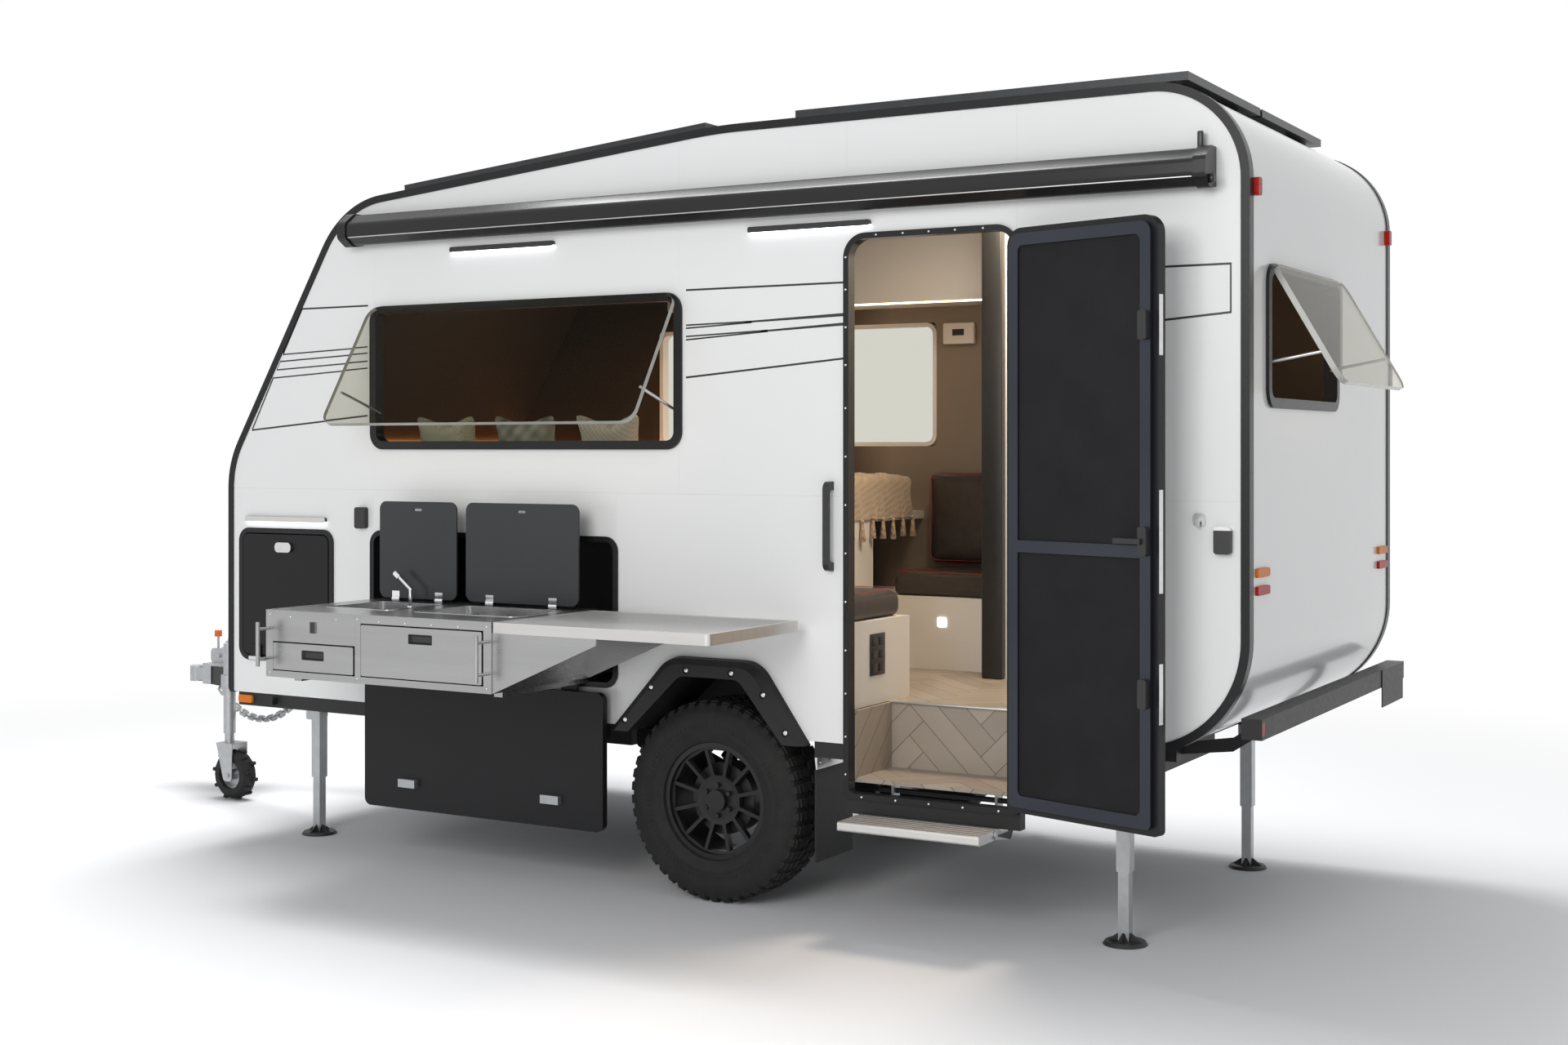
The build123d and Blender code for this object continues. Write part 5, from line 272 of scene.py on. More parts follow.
# Thin black vinyl lines run along both sides: three slanted outlines at the nose that draw
# together into two bands at the door and close in one square end behind it.


def start(name, kind, **sizes):
    """A new primitive, alone in the selection."""
    if bpy.context.object and bpy.context.object.mode == "EDIT":
        bpy.ops.object.mode_set(mode="OBJECT")
    bpy.ops.object.select_all(action="DESELECT")
    getattr(bpy.ops.mesh, "primitive_" + kind + "_add")(**sizes)
    piece = bpy.context.object
    piece.name = name
    return piece


def round_edges(piece, width, steps=2, angle=30):
    """Rounds the edges sharper than an angle, in edit mode."""
    bpy.context.view_layer.objects.active = piece
    bpy.ops.object.mode_set(mode="EDIT")
    bpy.ops.mesh.select_all(action="DESELECT")
    bpy.ops.mesh.select_mode(type="EDGE")
    bpy.ops.mesh.edges_select_sharp(sharpness=radians(angle))
    bpy.ops.mesh.bevel(offset=width, segments=steps, affect="EDGES")
    bpy.ops.mesh.select_mode(type="VERT")
    bpy.ops.object.mode_set(mode="OBJECT")


def brick(name, low, high, edge=0.0, steps=2):
    """A box between two corners with its edges rounded."""
    low, high = Vector(low), Vector(high)
    piece = start(name, "cube", size=1, location=(low + high) / 2)
    piece.scale = high - low
    bpy.ops.object.transform_apply(location=True, rotation=True, scale=True)
    if edge:
        round_edges(piece, edge, steps)
    return piece


def bar(name, begin, end, radius, sides=16, edge=0.0):
    """A round bar between two points with its ends eased."""
    begin, end = Vector(begin), Vector(end)
    way = end - begin
    piece = start(name, "cylinder", vertices=sides, radius=radius, depth=way.length,
                  location=(begin + end) / 2, rotation=way.to_track_quat("Z", "Y").to_euler())
    bpy.ops.object.transform_apply(location=True, rotation=True, scale=True)
    if edge:
        round_edges(piece, edge, 2, 60)
    return piece


def join(name, pieces):
    """Several meshes made one piece."""
    bpy.ops.object.select_all(action="DESELECT")
    for piece in pieces:
        piece.select_set(True)
    bpy.context.view_layer.objects.active = pieces[0]
    if len(pieces) > 1:
        bpy.ops.object.join()
    pieces[0].name = name
    return pieces[0]


def twin(piece, move):
    """A copy of a piece with a mesh of its own, moved by a matrix."""
    made = piece.copy()
    made.data = piece.data.copy()
    made.data.transform(move)
    bpy.context.scene.collection.objects.link(made)
    return made


def repeat(piece, moves):
    """Copies of a piece, one for each move, joined into one that takes its name."""
    copies = [twin(piece, move) for move in moves]
    name = piece.name
    bpy.data.objects.remove(piece)
    return join(name, copies)


def scatter(piece, places):
    """Copies of a piece moved by each of the given steps, joined into one."""
    return repeat(piece, [Matrix.Translation(Vector(step)) for step in places])


def mirrored(piece, name):
    """A copy of a piece on the trailer's other side."""
    made = twin(piece, Matrix.Scale(-1, 4, (0, 1, 0)))
    made.data.flip_normals()
    made.name = name
    return made


def settle(piece, body, slot, *materials, angle=35):
    """Applies a piece's place, moves it into the frame, smooths it and lets it ride."""
    bpy.ops.object.select_all(action="DESELECT")
    piece.select_set(True)
    bpy.context.view_layer.objects.active = piece
    bpy.ops.object.transform_apply(location=True, rotation=True, scale=True)
    piece.data.transform(Matrix.Translation(-AXLE))
    bpy.ops.object.shade_smooth_by_angle(angle=radians(angle))
    for material in materials:
        piece.data.materials.append(material)
    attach(piece, body)
    return piece


def close_up():
    """Turns every face of the mesh being edited outwards and leaves edit mode."""
    bpy.ops.mesh.select_all(action="SELECT")
    bpy.ops.mesh.normals_make_consistent(inside=False)
    bpy.ops.object.mode_set(mode="OBJECT")


LINE_Y = 0.9901
LINE_THICK = 0.0005


def line(begin, end, width):
    """One vinyl line on the left wall, tapering from its first width to its second."""
    (x0, z0), (x1, z1) = begin, end
    half0, half1 = width[0] / 2, width[1] / 2
    piece = start("line", "plane", size=1)
    corners = [(x0, z0 - half0), (x1, z1 - half1), (x0, z0 + half0), (x1, z1 + half1)]
    for vertex, (x, z) in zip(piece.data.vertices, corners):
        vertex.co = (x, LINE_Y, z)
    bpy.ops.object.mode_set(mode="EDIT")
    bpy.ops.mesh.select_all(action="SELECT")
    bpy.ops.mesh.extrude_region_move(TRANSFORM_OT_translate={"value": (0, LINE_THICK, 0)})
    close_up()
    return piece


vinyl = coat("black_vinyl", (0.012, 0.012, 0.013), (0.02, 0.02, 0.02), 0.38, 6)
TOP_Z = 2.388
PANE_FORE, PANE_AFT = 1.74, 0.1
RIGHT_PANE_FORE, RIGHT_PANE_AFT = 1.543, -0.063
DOOR_FORE, DOOR_AFT = -0.605, -1.3
TAIL_X = -2.069
LOW_NOSE = (2.431, 1.853)
LOW_RISE = (2.105 - LOW_NOSE[1]) / (LOW_NOSE[0] + 0.598)
thin, wide, steep = (0.006, 0.006), (0.0075, 0.0075), (0.0144, 0.0144)
stripes = [
    ((2.126, TOP_Z), (PANE_FORE, TOP_Z), wide), ((2.126, TOP_Z), (2.241, 2.189), steep),
    ((2.241, 2.189), (PANE_FORE, 2.208), thin), ((2.258, 2.158), (PANE_FORE, 2.181), thin),
    ((2.258, 2.158), (2.279, 2.121), thin), ((2.279, 2.121), (PANE_FORE, 2.146), thin),
    ((2.301, 2.085), (PANE_FORE, 2.116), thin), ((2.301, 2.085), LOW_NOSE, steep),
    (LOW_NOSE, (PANE_FORE, LOW_NOSE[1] + (LOW_NOSE[0] - PANE_FORE) * LOW_RISE), wide),
    ((PANE_AFT, TOP_Z), (DOOR_FORE, TOP_Z), wide), ((PANE_AFT, 2.251), (-0.2, 2.256), thin),
    ((PANE_AFT, 2.239), (-0.2, 2.2525), thin), ((-0.17, 2.2545), (DOOR_FORE, 2.2685), (0.007, 0.012)),
    ((PANE_AFT, 2.207), (-0.27, 2.2195), thin), ((PANE_AFT, 2.194), (-0.27, 2.216), thin),
    ((-0.24, 2.217), (DOOR_FORE, 2.2335), (0.007, 0.011)), ((PANE_AFT, 2.047), (DOOR_FORE, 2.1055), wide),
    ((DOOR_AFT, TOP_Z), (TAIL_X, TOP_Z), wide), ((DOOR_AFT, 2.164), (TAIL_X, 2.2255), wide),
]
left_lines = [line(begin, end, width) for begin, end, width in stripes]
square_low = (TAIL_X - 0.003, LINE_Y, 2.222)
square_high = (TAIL_X + 0.003, LINE_Y + LINE_THICK, 2.3915)
left_lines.append(brick("line", square_low, square_high, 0.0001, 1))
left_lines = join("stripes_left", left_lines)
right_lines = [mirrored(left_lines, "stripes_right")]
for vertex in right_lines[0].data.vertices:
    if abs(vertex.co.x - PANE_AFT) < 0.001:
        vertex.co.x = RIGHT_PANE_AFT
    if abs(vertex.co.x - PANE_FORE) < 0.001:
        vertex.co.x = RIGHT_PANE_FORE
bridges = (((1.76, TOP_Z), (0.08, TOP_Z)), ((-0.6, TOP_Z), (-1.31, TOP_Z)), ((-0.6, 2.105), (-1.31, 2.165)))
for begin, end in bridges:
    strip = line(begin, end, wide)
    right_lines.append(mirrored(strip, "line"))
    bpy.data.objects.remove(strip)
right_lines = join("stripes_right", right_lines)
settle(left_lines, "trailer", "black_plastic", vinyl)
settle(right_lines, "trailer", "black_plastic", vinyl)

# Black aluminium mouldings cover the panel joints, and pressed black frames hold the
# windows, hatches and the doorway. The door frame is fixed with a row of bright screws.
moulding = coat("black_moulding", (0.01, 0.01, 0.011), (0.018, 0.018, 0.02), 0.3, 5, 0.06, 0.0002,
                Specular_IOR_Level=0.25)
dress(moulding, "edge_trims", "wall_frames", "door_frame")
RIGHT_LIP, LOWEST_SILL, REARMOST = -0.988, 1.6, -1.5
dress_where(gelcoat, "wall_frames",
            lambda at, face: RIGHT_LIP < at.y < 0 and at.z > LOWEST_SILL and at.x > REARMOST)
bright_steel = coat("bright_steel", (0.72, 0.72, 0.72), (0.58, 0.58, 0.59), 0.24, 40, 0.08, Metallic=1.0)
OUTWARD = Vector((0, 1, 0))


def sink_face(piece, way, *steps):
    """Insets the faces that look one way, once for each step of (thickness, depth)."""
    bpy.ops.object.mode_set(mode="EDIT")
    mesh = bmesh.from_edit_mesh(piece.data)
    for face in mesh.faces:
        face.select = face.normal.dot(way) > 0.99
    bmesh.update_edit_mesh(piece.data)
    for thickness, depth in steps:
        bpy.ops.mesh.inset(thickness=thickness, depth=depth)
    bpy.ops.object.mode_set(mode="OBJECT")


def screw(size):
    """A pan-head screw that faces out of the left wall, with a recess in its head."""
    head = start("screw", "cylinder", vertices=14, radius=size, depth=size * 0.7,
                 rotation=(radians(90), 0, 0))
    bpy.ops.object.transform_apply(location=True, rotation=True, scale=True)
    round_edges(head, size * 0.3, 2, 60)
    sink_face(head, OUTWARD, (size * 0.35, -size * 0.25))
    return head


SCREW_Y = 1.001
FRAME_FORE, FRAME_AFT = -0.613, -1.296
FRAME_TOP, FRAME_FOOT = 2.557, 0.481
up_the_sides = (0.56, 0.70, 0.86, 1.02, 1.2, 1.38, 1.56, 1.74, 1.92, 2.08, 2.22, 2.36, 2.48)
places = [(x, SCREW_Y, z) for z in up_the_sides for x in (FRAME_FORE, FRAME_AFT)]
places += [(x, SCREW_Y, FRAME_TOP) for x in (-0.74, -0.85, -0.955, -1.06, -1.17)]
places += [(x, SCREW_Y, FRAME_FOOT) for x in (-0.68, -0.82, -0.955, -1.09, -1.23)]
settle(scatter(screw(0.0042), places), "trailer", "chrome", bright_steel).name = "door_frame_screws"

# The windows are double acrylic panes, lightly smoked and polished at their edges, hung from
# the top of their frames on two friction stays each. Small black fittings sit on the wall.
acrylic = bpy.data.materials.new("smoked_acrylic")
acrylic.use_nodes = True
nodes, links = acrylic.node_tree.nodes, acrylic.node_tree.links
shader = nodes["Principled BSDF"]
shader.inputs["Base Color"].default_value = (0.66, 0.65, 0.58, 1)
shader.inputs["Transmission Weight"].default_value = 1.0
shader.inputs["IOR"].default_value = 1.08
grain = nodes.new("ShaderNodeGroup")
grain.node_tree = GRAIN
grain.inputs["Scale"].default_value = 1.5
grain.inputs["Stretch"].default_value = (1, 1, 1)
gloss = nodes.new("ShaderNodeMapRange")
gloss.inputs["To Min"].default_value = 0.01
gloss.inputs["To Max"].default_value = 0.04
links.new(grain.outputs["Drift"], gloss.inputs["Value"])
links.new(gloss.outputs[0], shader.inputs["Roughness"])
dress(acrylic, "window_panes")
pane_edge = coat("polished_edge", (0.5, 0.5, 0.46), (0.36, 0.36, 0.33), 0.2, 18, 0.08)
REAR_WINDOW_X = -1.9


def on_pane_edge(at, face):
    """Whether a face is at a pane's ends or foot, on the left, right or rear window."""
    endwise = face.normal.x if at.x > REAR_WINDOW_X else face.normal.y
    return abs(endwise) > 0.35 or face.normal.z < -0.7


dress_where(pane_edge, "window_panes", on_pane_edge)
latch_black = coat("latch_plastic", (0.012, 0.012, 0.012), (0.022, 0.022, 0.022), 0.36, 30, 0.06)
dress(latch_black, "wall_fittings")
STAY_FOOT, SOCKET_LID, SOCKET_Y = 1.68, 1.495, 0.99
dress_where(bright_steel, "wall_fittings", lambda at, face: at.z > STAY_FOOT)
dress_where(bright_steel, "wall_fittings",
            lambda at, face: at.x < REAR_WINDOW_X and at.z > SOCKET_LID and at.y > SOCKET_Y)

# The entry door is a white sandwich leaf, swung back on its hinges. On its inner side, which shows,
# sits a security screen: black anodised bars with a painted bluish sheen, woven black mesh and three locks.


def weave_group():
    """Threads that cross over and under, as a height."""
    group, given, result = new_group("weave", {"Threads": "Float"}, "Height")
    nodes, links = group.nodes, group.links
    place = nodes.new("ShaderNodeTexCoord")
    waves = []
    for across in ((1, 0.35, 0.12), (0.2, 0.6, 1)):
        along = nodes.new("ShaderNodeVectorMath")
        along.operation = "DOT_PRODUCT"
        along.inputs[1].default_value = across
        links.new(place.outputs["Object"], along.inputs[0])
        count = maths(group, "MULTIPLY", along.outputs["Value"], given.outputs["Threads"])
        waves.append(maths(group, "SINE", count))
    crossed = maths(group, "MULTIPLY", *waves)
    lifted = nodes.new("ShaderNodeMapRange")
    lifted.inputs["From Min"].default_value = -1
    links.new(crossed, lifted.inputs["Value"])
    links.new(lifted.outputs[0], result.inputs["Height"])
    return group


WEAVE = weave_group()


def woven(name, tint, shade, rough, threads, height, **plain):
    """A cloth or mesh finish: a coat whose tone and relief follow crossing threads."""
    material = coat(name, tint, shade, rough, 6, 0.05, height, **plain)
    nodes, links = material.node_tree.nodes, material.node_tree.links
    cloth = nodes.new("ShaderNodeGroup")
    cloth.node_tree = WEAVE
    cloth.inputs["Threads"].default_value = threads
    both = maths(material.node_tree, "ADD", cloth.outputs["Height"], nodes["grain"].outputs["Drift"])
    links.new(maths(material.node_tree, "MULTIPLY", both, 0.5), nodes["tone"].inputs[0])
    links.new(cloth.outputs["Height"], nodes["relief"].inputs["Height"])
    return material


# The bars' own dark anodised tone is lifted and tinted blue here, as a painted bluish sheen on every bar.
screen_bars_painted_sheen = coat("screen_bars_painted_sheen", (0.05, 0.056, 0.07), (0.03, 0.033, 0.042), 0.3, 2, 0.05, Metallic=0.75)
screen_mesh = woven("screen_mesh", (0.006, 0.006, 0.007), (0.028, 0.028, 0.03), 0.7, 2600, 0.0006,
                    Specular_IOR_Level=0.15)
DOOR_NORMAL = (0.2924, 0.9563)
MESH_FACE, LOCK_FACE = 0.6425, 0.6515


def along_door(way):
    """How far a point lies, or a normal leans, along the open door's own normal."""
    return DOOR_NORMAL[0] * way.x + DOOR_NORMAL[1] * way.y


dress(screen_bars_painted_sheen, "door_screen")
dress_where(screen_mesh, "door_screen",
            lambda at, face: abs(abs(along_door(at)) - MESH_FACE) < 0.002 and face.area > 0.0004)
dress_where(latch_black, "door_screen", lambda at, face: along_door(at) > LOCK_FACE)
dress_where(moulding, "entry_door", lambda at, face: along_door(face.normal) > -0.9)
door_turn = Matrix.Rotation(radians(163), 4, "Z")
plates = []
for z, tall in ((2.175, 0.2), (1.465, 0.34), (0.965, 0.2)):
    plate = brick("lock_plate", (2.192, -0.636, z - tall / 2), (2.1945, -0.616, z + tall / 2), 0.001, 1)
    plate.data.transform(door_turn)
    plates.append(plate)
settle(join("lock_plates", plates), "door", "chrome", bright_steel)

# The floor and the sunk entry step are lined with wood-look vinyl boards laid in a
# herringbone, and a pale aluminium nosing covers the step's edge.
BOARD_WIDTH = 0.085
BOARD_LONG = 5


def herringbone_group():
    """Boards one wide and five long, laid in a herringbone: a tone a board, and its joints."""
    group, given, result = new_group("herringbone", {"Width": "Float"}, "Tone", "Joint")
    nodes, links = group.nodes, group.links

    def work(operation, *values):
        return maths(group, operation, *values)

    place = nodes.new("ShaderNodeTexCoord")
    split = nodes.new("ShaderNodeSeparateXYZ")
    links.new(place.outputs["Object"], split.inputs[0])
    down = work("ADD", split.outputs["Y"], split.outputs["Z"])
    diagonal = work("MULTIPLY", given.outputs["Width"], 1.414)
    u = work("DIVIDE", work("ADD", split.outputs["X"], down), diagonal)
    v = work("DIVIDE", work("SUBTRACT", split.outputs["X"], down), diagonal)
    column, row = work("FLOOR", u), work("FLOOR", v)
    step = work("FLOORED_MODULO", work("ADD", column, row), 2 * BOARD_LONG)
    lying = work("LESS_THAN", step, BOARD_LONG)
    standing = work("SUBTRACT", 1, lying)
    along = work("SUBTRACT", step, work("MULTIPLY", standing, BOARD_LONG))
    start_u = work("SUBTRACT", column, work("MULTIPLY", lying, along))
    start_v = work("SUBTRACT", row, work("MULTIPLY", standing, along))
    mixed = work("ADD", work("MULTIPLY", start_u, 12.99), work("MULTIPLY", start_v, 78.23))
    links.new(work("FRACT", work("MULTIPLY", work("SINE", mixed), 43758.5)), result.inputs["Tone"])
    in_u = work("SUBTRACT", u, start_u)
    in_v = work("SUBTRACT", v, start_v)
    long_u = work("ADD", 1, work("MULTIPLY", lying, BOARD_LONG - 1))
    long_v = work("ADD", 1, work("MULTIPLY", standing, BOARD_LONG - 1))
    near_u = work("MINIMUM", in_u, work("SUBTRACT", long_u, in_u))
    near_v = work("MINIMUM", in_v, work("SUBTRACT", long_v, in_v))
    links.new(work("LESS_THAN", work("MINIMUM", near_u, near_v), 0.018), result.inputs["Joint"])
    return group


boards = coat("vinyl_boards", (0.44, 0.38, 0.31), (0.3, 0.25, 0.2), 0.45, 9, 0.07, 0.0004,
              stretch=(0.5, 2.5, 1))
nodes, links = boards.node_tree.nodes, boards.node_tree.links
laid = nodes.new("ShaderNodeGroup")
laid.node_tree = herringbone_group()
laid.inputs["Width"].default_value = BOARD_WIDTH
veins = maths(boards.node_tree, "MULTIPLY", nodes["grain"].outputs["Drift"], 0.6)
board_tone = maths(boards.node_tree, "MULTIPLY_ADD", laid.outputs["Tone"], 0.55, veins)
links.new(board_tone, nodes["tone"].inputs[0])
overlay(boards, (0.13, 0.105, 0.085), laid.outputs["Joint"])
dress(boards, "floor_panel", "step_well")
dress_where(chassis_black, "floor_panel", lambda at, face: face.normal.z < 0.5)
WELL_INNER_Y = 0.64
dress_where(chassis_black, "step_well", lambda at, face: face.normal.z < -0.5 or at.y < WELL_INNER_Y)
pale_alloy = coat("pale_alloy", (0.66, 0.65, 0.63), (0.56, 0.555, 0.54), 0.36, 30, 0.08,
                  stretch=(0.05, 1, 1), Metallic=0.85)
nosing = brick("step_nosing", (-1.281, 0.634, 0.7895), (-0.628, 0.668, 0.798), 0.0035, 3)
settle(nosing, "trailer", "step_alloy", pale_alloy)

# A folding step of ribbed aluminium hangs under the doorway. Two plated steel arms carry it
# from a black-painted hinge bar, and it stays level as they swing.
dress(pale_alloy, "step_tread")
dress(galvanised, "step_arms")
HINGE_BAR_Y, HINGE_BAR_Z = 1.0, 0.47
dress_where(chassis_black, "step_arms", lambda at, face: at.y < HINGE_BAR_Y or at.z > HINGE_BAR_Z)

# The furniture is white laminate: a bed base, seat boxes over the arches, lockers and a
# washroom wall with a black post. A switch plate, a heater control and small lamps are set
# into it, and warm light falls from the ceiling.
laminate = coat("white_laminate", (0.8, 0.77, 0.72), (0.76, 0.73, 0.68), 0.42, 3, 0.05, 0.0001)
dress(laminate, "cabinets")
post = brick("washroom_post", (-0.7, -0.268, 0.7905), (-0.606, -0.226, 2.86), 0.006, 3)
settle(post, "trailer", "black_plastic", latch_black)
switches = [brick("switch_plate", (-0.603, 0.66, 0.9), (-0.5985, 0.78, 1.06), 0.0015, 2)]
KEY_HALF_WIDE, KEY_HALF_TALL = 0.018, 0.016
for z in (0.93, 0.98, 1.03):
    for y in (0.69, 0.75):
        low = (-0.607, y - KEY_HALF_WIDE, z - KEY_HALF_TALL)
        high = (-0.6025, y + KEY_HALF_WIDE, z + KEY_HALF_TALL)
        switches.append(brick("switch", low, high, 0.002, 2))
settle(join("switch_plate", switches), "trailer", "black_plastic", latch_black)
control = brick("heater_control", (-0.25, -0.9495, 2.26), (-0.09, -0.925, 2.36), 0.006, 3)
screen = brick("heater_screen", (-0.2, -0.9255, 2.3), (-0.14, -0.9235, 2.33), 0.001, 2)
settle(control, "trailer", "furniture", laminate)
settle(screen, "trailer", "black_plastic", latch_black)


def glow(name, tint, strength):
    """A lit diffuser: a milky lens with light drifting a little along it."""
    material = coat(name, tint, tint, 0.3, 12)
    shader = material.node_tree.nodes["Principled BSDF"]
    shader.inputs["Emission Color"].default_value = (*tint, 1)
    shader.inputs["Emission Strength"].default_value = strength
    return material


cool_glow = glow("cool_light", (0.92, 0.95, 1.0), 4.0)
warm_glow = glow("warm_light", (1.0, 0.72, 0.42), 6.0)
foot_lamp = brick("foot_lamps", (-0.34, -0.4395, 0.98), (-0.3, -0.4365, 1.02), 0.004, 2)
settle(foot_lamp, "trailer", "white_lens", cool_glow)
locker_lamp = brick("locker_lamp", (-0.55, -0.64, 2.434), (1.2, -0.62, 2.4398), 0.002, 2)
settle(locker_lamp, "trailer", "white_lens", warm_glow)
amber_glow = glow("amber_light", (1.0, 0.4, 0.12), 7.0)
bed_side = brick("bed_lamp", (1.2, -0.9505, 1.788), (2.45, -0.943, 1.8), 0.002, 2)
bed_head = brick("bed_head_lamp", (2.452, -0.93, 1.788), (2.4646, 0.93, 1.8), 0.002, 2)
settle(join("bed_lamps", [bed_side, bed_head]), "trailer", "white_lens", amber_glow)
lamp("cabin_front", (1.0, -0.5, 2.3), (1.0, -0.9, 1.4), 0.5, 3.2, (1.0, 0.55, 0.26))
lamp("cabin_rear", (-0.95, 0.1, 2.86), (-0.9, 0.1, 0.8), 0.6, 30, (1.0, 0.84, 0.66))

# Seats and back rest are foam under dark leather, sewn with a red seam and stuffed
# tight. They sit loose on the seat boxes.
STUFFING_FRAMES = 20


def stuff(piece, voxel, cap, pressure=4.0):
    """Swells a closed shape like a filled cover, by cloth under pressure, up to a cap."""
    bpy.ops.object.select_all(action="DESELECT")
    piece.select_set(True)
    bpy.context.view_layer.objects.active = piece
    remesh = piece.modifiers.new("remesh", "REMESH")
    remesh.mode = "VOXEL"
    remesh.voxel_size = voxel
    bpy.ops.object.modifier_apply(modifier="remesh")
    rest = [vertex.co.copy() for vertex in piece.data.vertices]
    cloth = piece.modifiers.new("cloth", "CLOTH")
    cloth.settings.use_pressure = True
    cloth.settings.uniform_pressure_force = pressure
    cloth.settings.effector_weights.gravity = 0
    for step in range(1, STUFFING_FRAMES + 1):
        bpy.context.scene.frame_set(step)
    bpy.ops.object.modifier_apply(modifier="cloth")
    bpy.context.scene.frame_set(1)
    for vertex, home in zip(piece.data.vertices, rest):
        move = vertex.co - home
        if move.length > cap:
            vertex.co = home + move.normalized() * cap
    smooth = piece.modifiers.new("smooth", "SMOOTH")
    smooth.iterations = 3
    bpy.ops.object.modifier_apply(modifier="smooth")
    return piece


def hold(piece, axis, low, high):
    """Keeps a stuffed piece within its room along one axis."""
    for vertex in piece.data.vertices:
        vertex.co[axis] = min(max(vertex.co[axis], low), high)


leather = coat("dark_leather", (0.032, 0.024, 0.02), (0.055, 0.043, 0.036), 0.44, 30, 0.08, 0.0005)
red_thread = coat("red_thread", (0.42, 0.03, 0.025), (0.3, 0.02, 0.02), 0.6, 60)
SEAM_CORNER = 0.04
THREAD_RADIUS = 0.0016


def seam(name, low, high, along):
    """A sewn thread round a pad, a little inside its edges, standing just off the leather."""
    low, high = Vector(low), Vector(high)
    size = high - low
    flat = [axis for axis in range(3) if axis != along]
    ring = start(name, "plane", size=1)
    for vertex in ring.data.vertices:
        spot = Vector((0, 0, 0))
        spot[flat[0]] = low[flat[0]] + size[flat[0]] * (vertex.co.x + 0.5)
        spot[flat[1]] = low[flat[1]] + size[flat[1]] * (vertex.co.y + 0.5)
        spot[along] = high[along]
        vertex.co = spot
    bpy.ops.object.mode_set(mode="EDIT")
    bpy.ops.mesh.select_all(action="SELECT")
    bpy.ops.mesh.bevel(offset=SEAM_CORNER, segments=5, affect="VERTICES")
    bpy.ops.mesh.select_all(action="SELECT")
    bpy.ops.mesh.delete(type="ONLY_FACE")
    bpy.ops.object.mode_set(mode="OBJECT")
    bpy.ops.object.convert(target="CURVE")
    ring = bpy.context.object
    ring.data.bevel_depth = THREAD_RADIUS
    ring.data.bevel_resolution = 1
    bpy.ops.object.convert(target="MESH")
    return bpy.context.object


UPRIGHT, OUT_OF_WALL = 2, 1
SEAM_IN, ROOM = 0.03, 0.012
pads = [("seat_left", (-0.594, 0.444, 1.1105), (-0.04, 0.938, 1.22), UPRIGHT),
        ("seat_right", (-0.594, -0.938, 1.1105), (-0.04, -0.444, 1.22), UPRIGHT),
        ("back_rest", (-0.558, -0.938, 1.2205), (-0.04, -0.828, 1.68), OUT_OF_WALL)]
for name, low, high, along in pads:
    low, high = Vector(low), Vector(high)
    if along == UPRIGHT:
        foot, crown = Vector((ROOM, ROOM, 0)), Vector((ROOM, ROOM, 0.014))
        seam_low, seam_high = Vector((SEAM_IN, SEAM_IN, 0)), Vector((SEAM_IN, SEAM_IN, 0.003))
    else:
        foot, crown = Vector((ROOM, ROOM, 0.008)), Vector((ROOM, ROOM, ROOM))
        seam_low, seam_high = Vector((SEAM_IN, 0, SEAM_IN)), Vector((SEAM_IN, 0.004, SEAM_IN))
    pad = brick(name, low + foot, high - crown, 0.028, 4)
    stuff(pad, voxel=0.012, cap=0.012)
    for axis in range(3):
        hold(pad, axis, low[axis], high[axis])
    sewn = seam(name + "_seam", low + seam_low, high - seam_high, along)
    settle(pad, "trailer", "upholstery", leather, angle=80)
    settle(sewn, "trailer", "upholstery", red_thread)
    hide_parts("cushions")

# The bed has a deep pale mattress, three cushions in woven covers along the window, and a
# tan waffle throw with tassels that lies over its end and hangs down towards the door.
ticking = woven("mattress_ticking", (0.78, 0.75, 0.7), (0.68, 0.65, 0.6), 0.8, 900, 0.0006,
                Sheen_Weight=0.2)
MATTRESS_FOOT, MATTRESS_CROWN = 1.4765, 1.636
mattress = brick("bed_mattress", (0.05, -0.88, MATTRESS_FOOT), (2.46, 0.88, 1.622), 0.045, 4)
stuff(mattress, voxel=0.035, cap=0.012)
hold(mattress, 2, MATTRESS_FOOT, MATTRESS_CROWN)
settle(mattress, "trailer", "bedding", ticking, angle=80)
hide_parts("mattress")
covers = [woven("olive_cover", (0.2, 0.2, 0.12), (0.36, 0.34, 0.24), 0.85, 420, 0.001),
          woven("green_cover", (0.03, 0.045, 0.03), (0.3, 0.28, 0.22), 0.85, 75, 0.001),
          woven("stone_cover", (0.42, 0.38, 0.31), (0.22, 0.19, 0.15), 0.85, 300, 0.001)]
PILLOW_Y, PILLOW_Z = 0.765, 1.787
PILLOW_HALF_WIDE, PILLOW_HALF_TALL = 0.172, 0.133
PILLOW_LEAN = 0.18
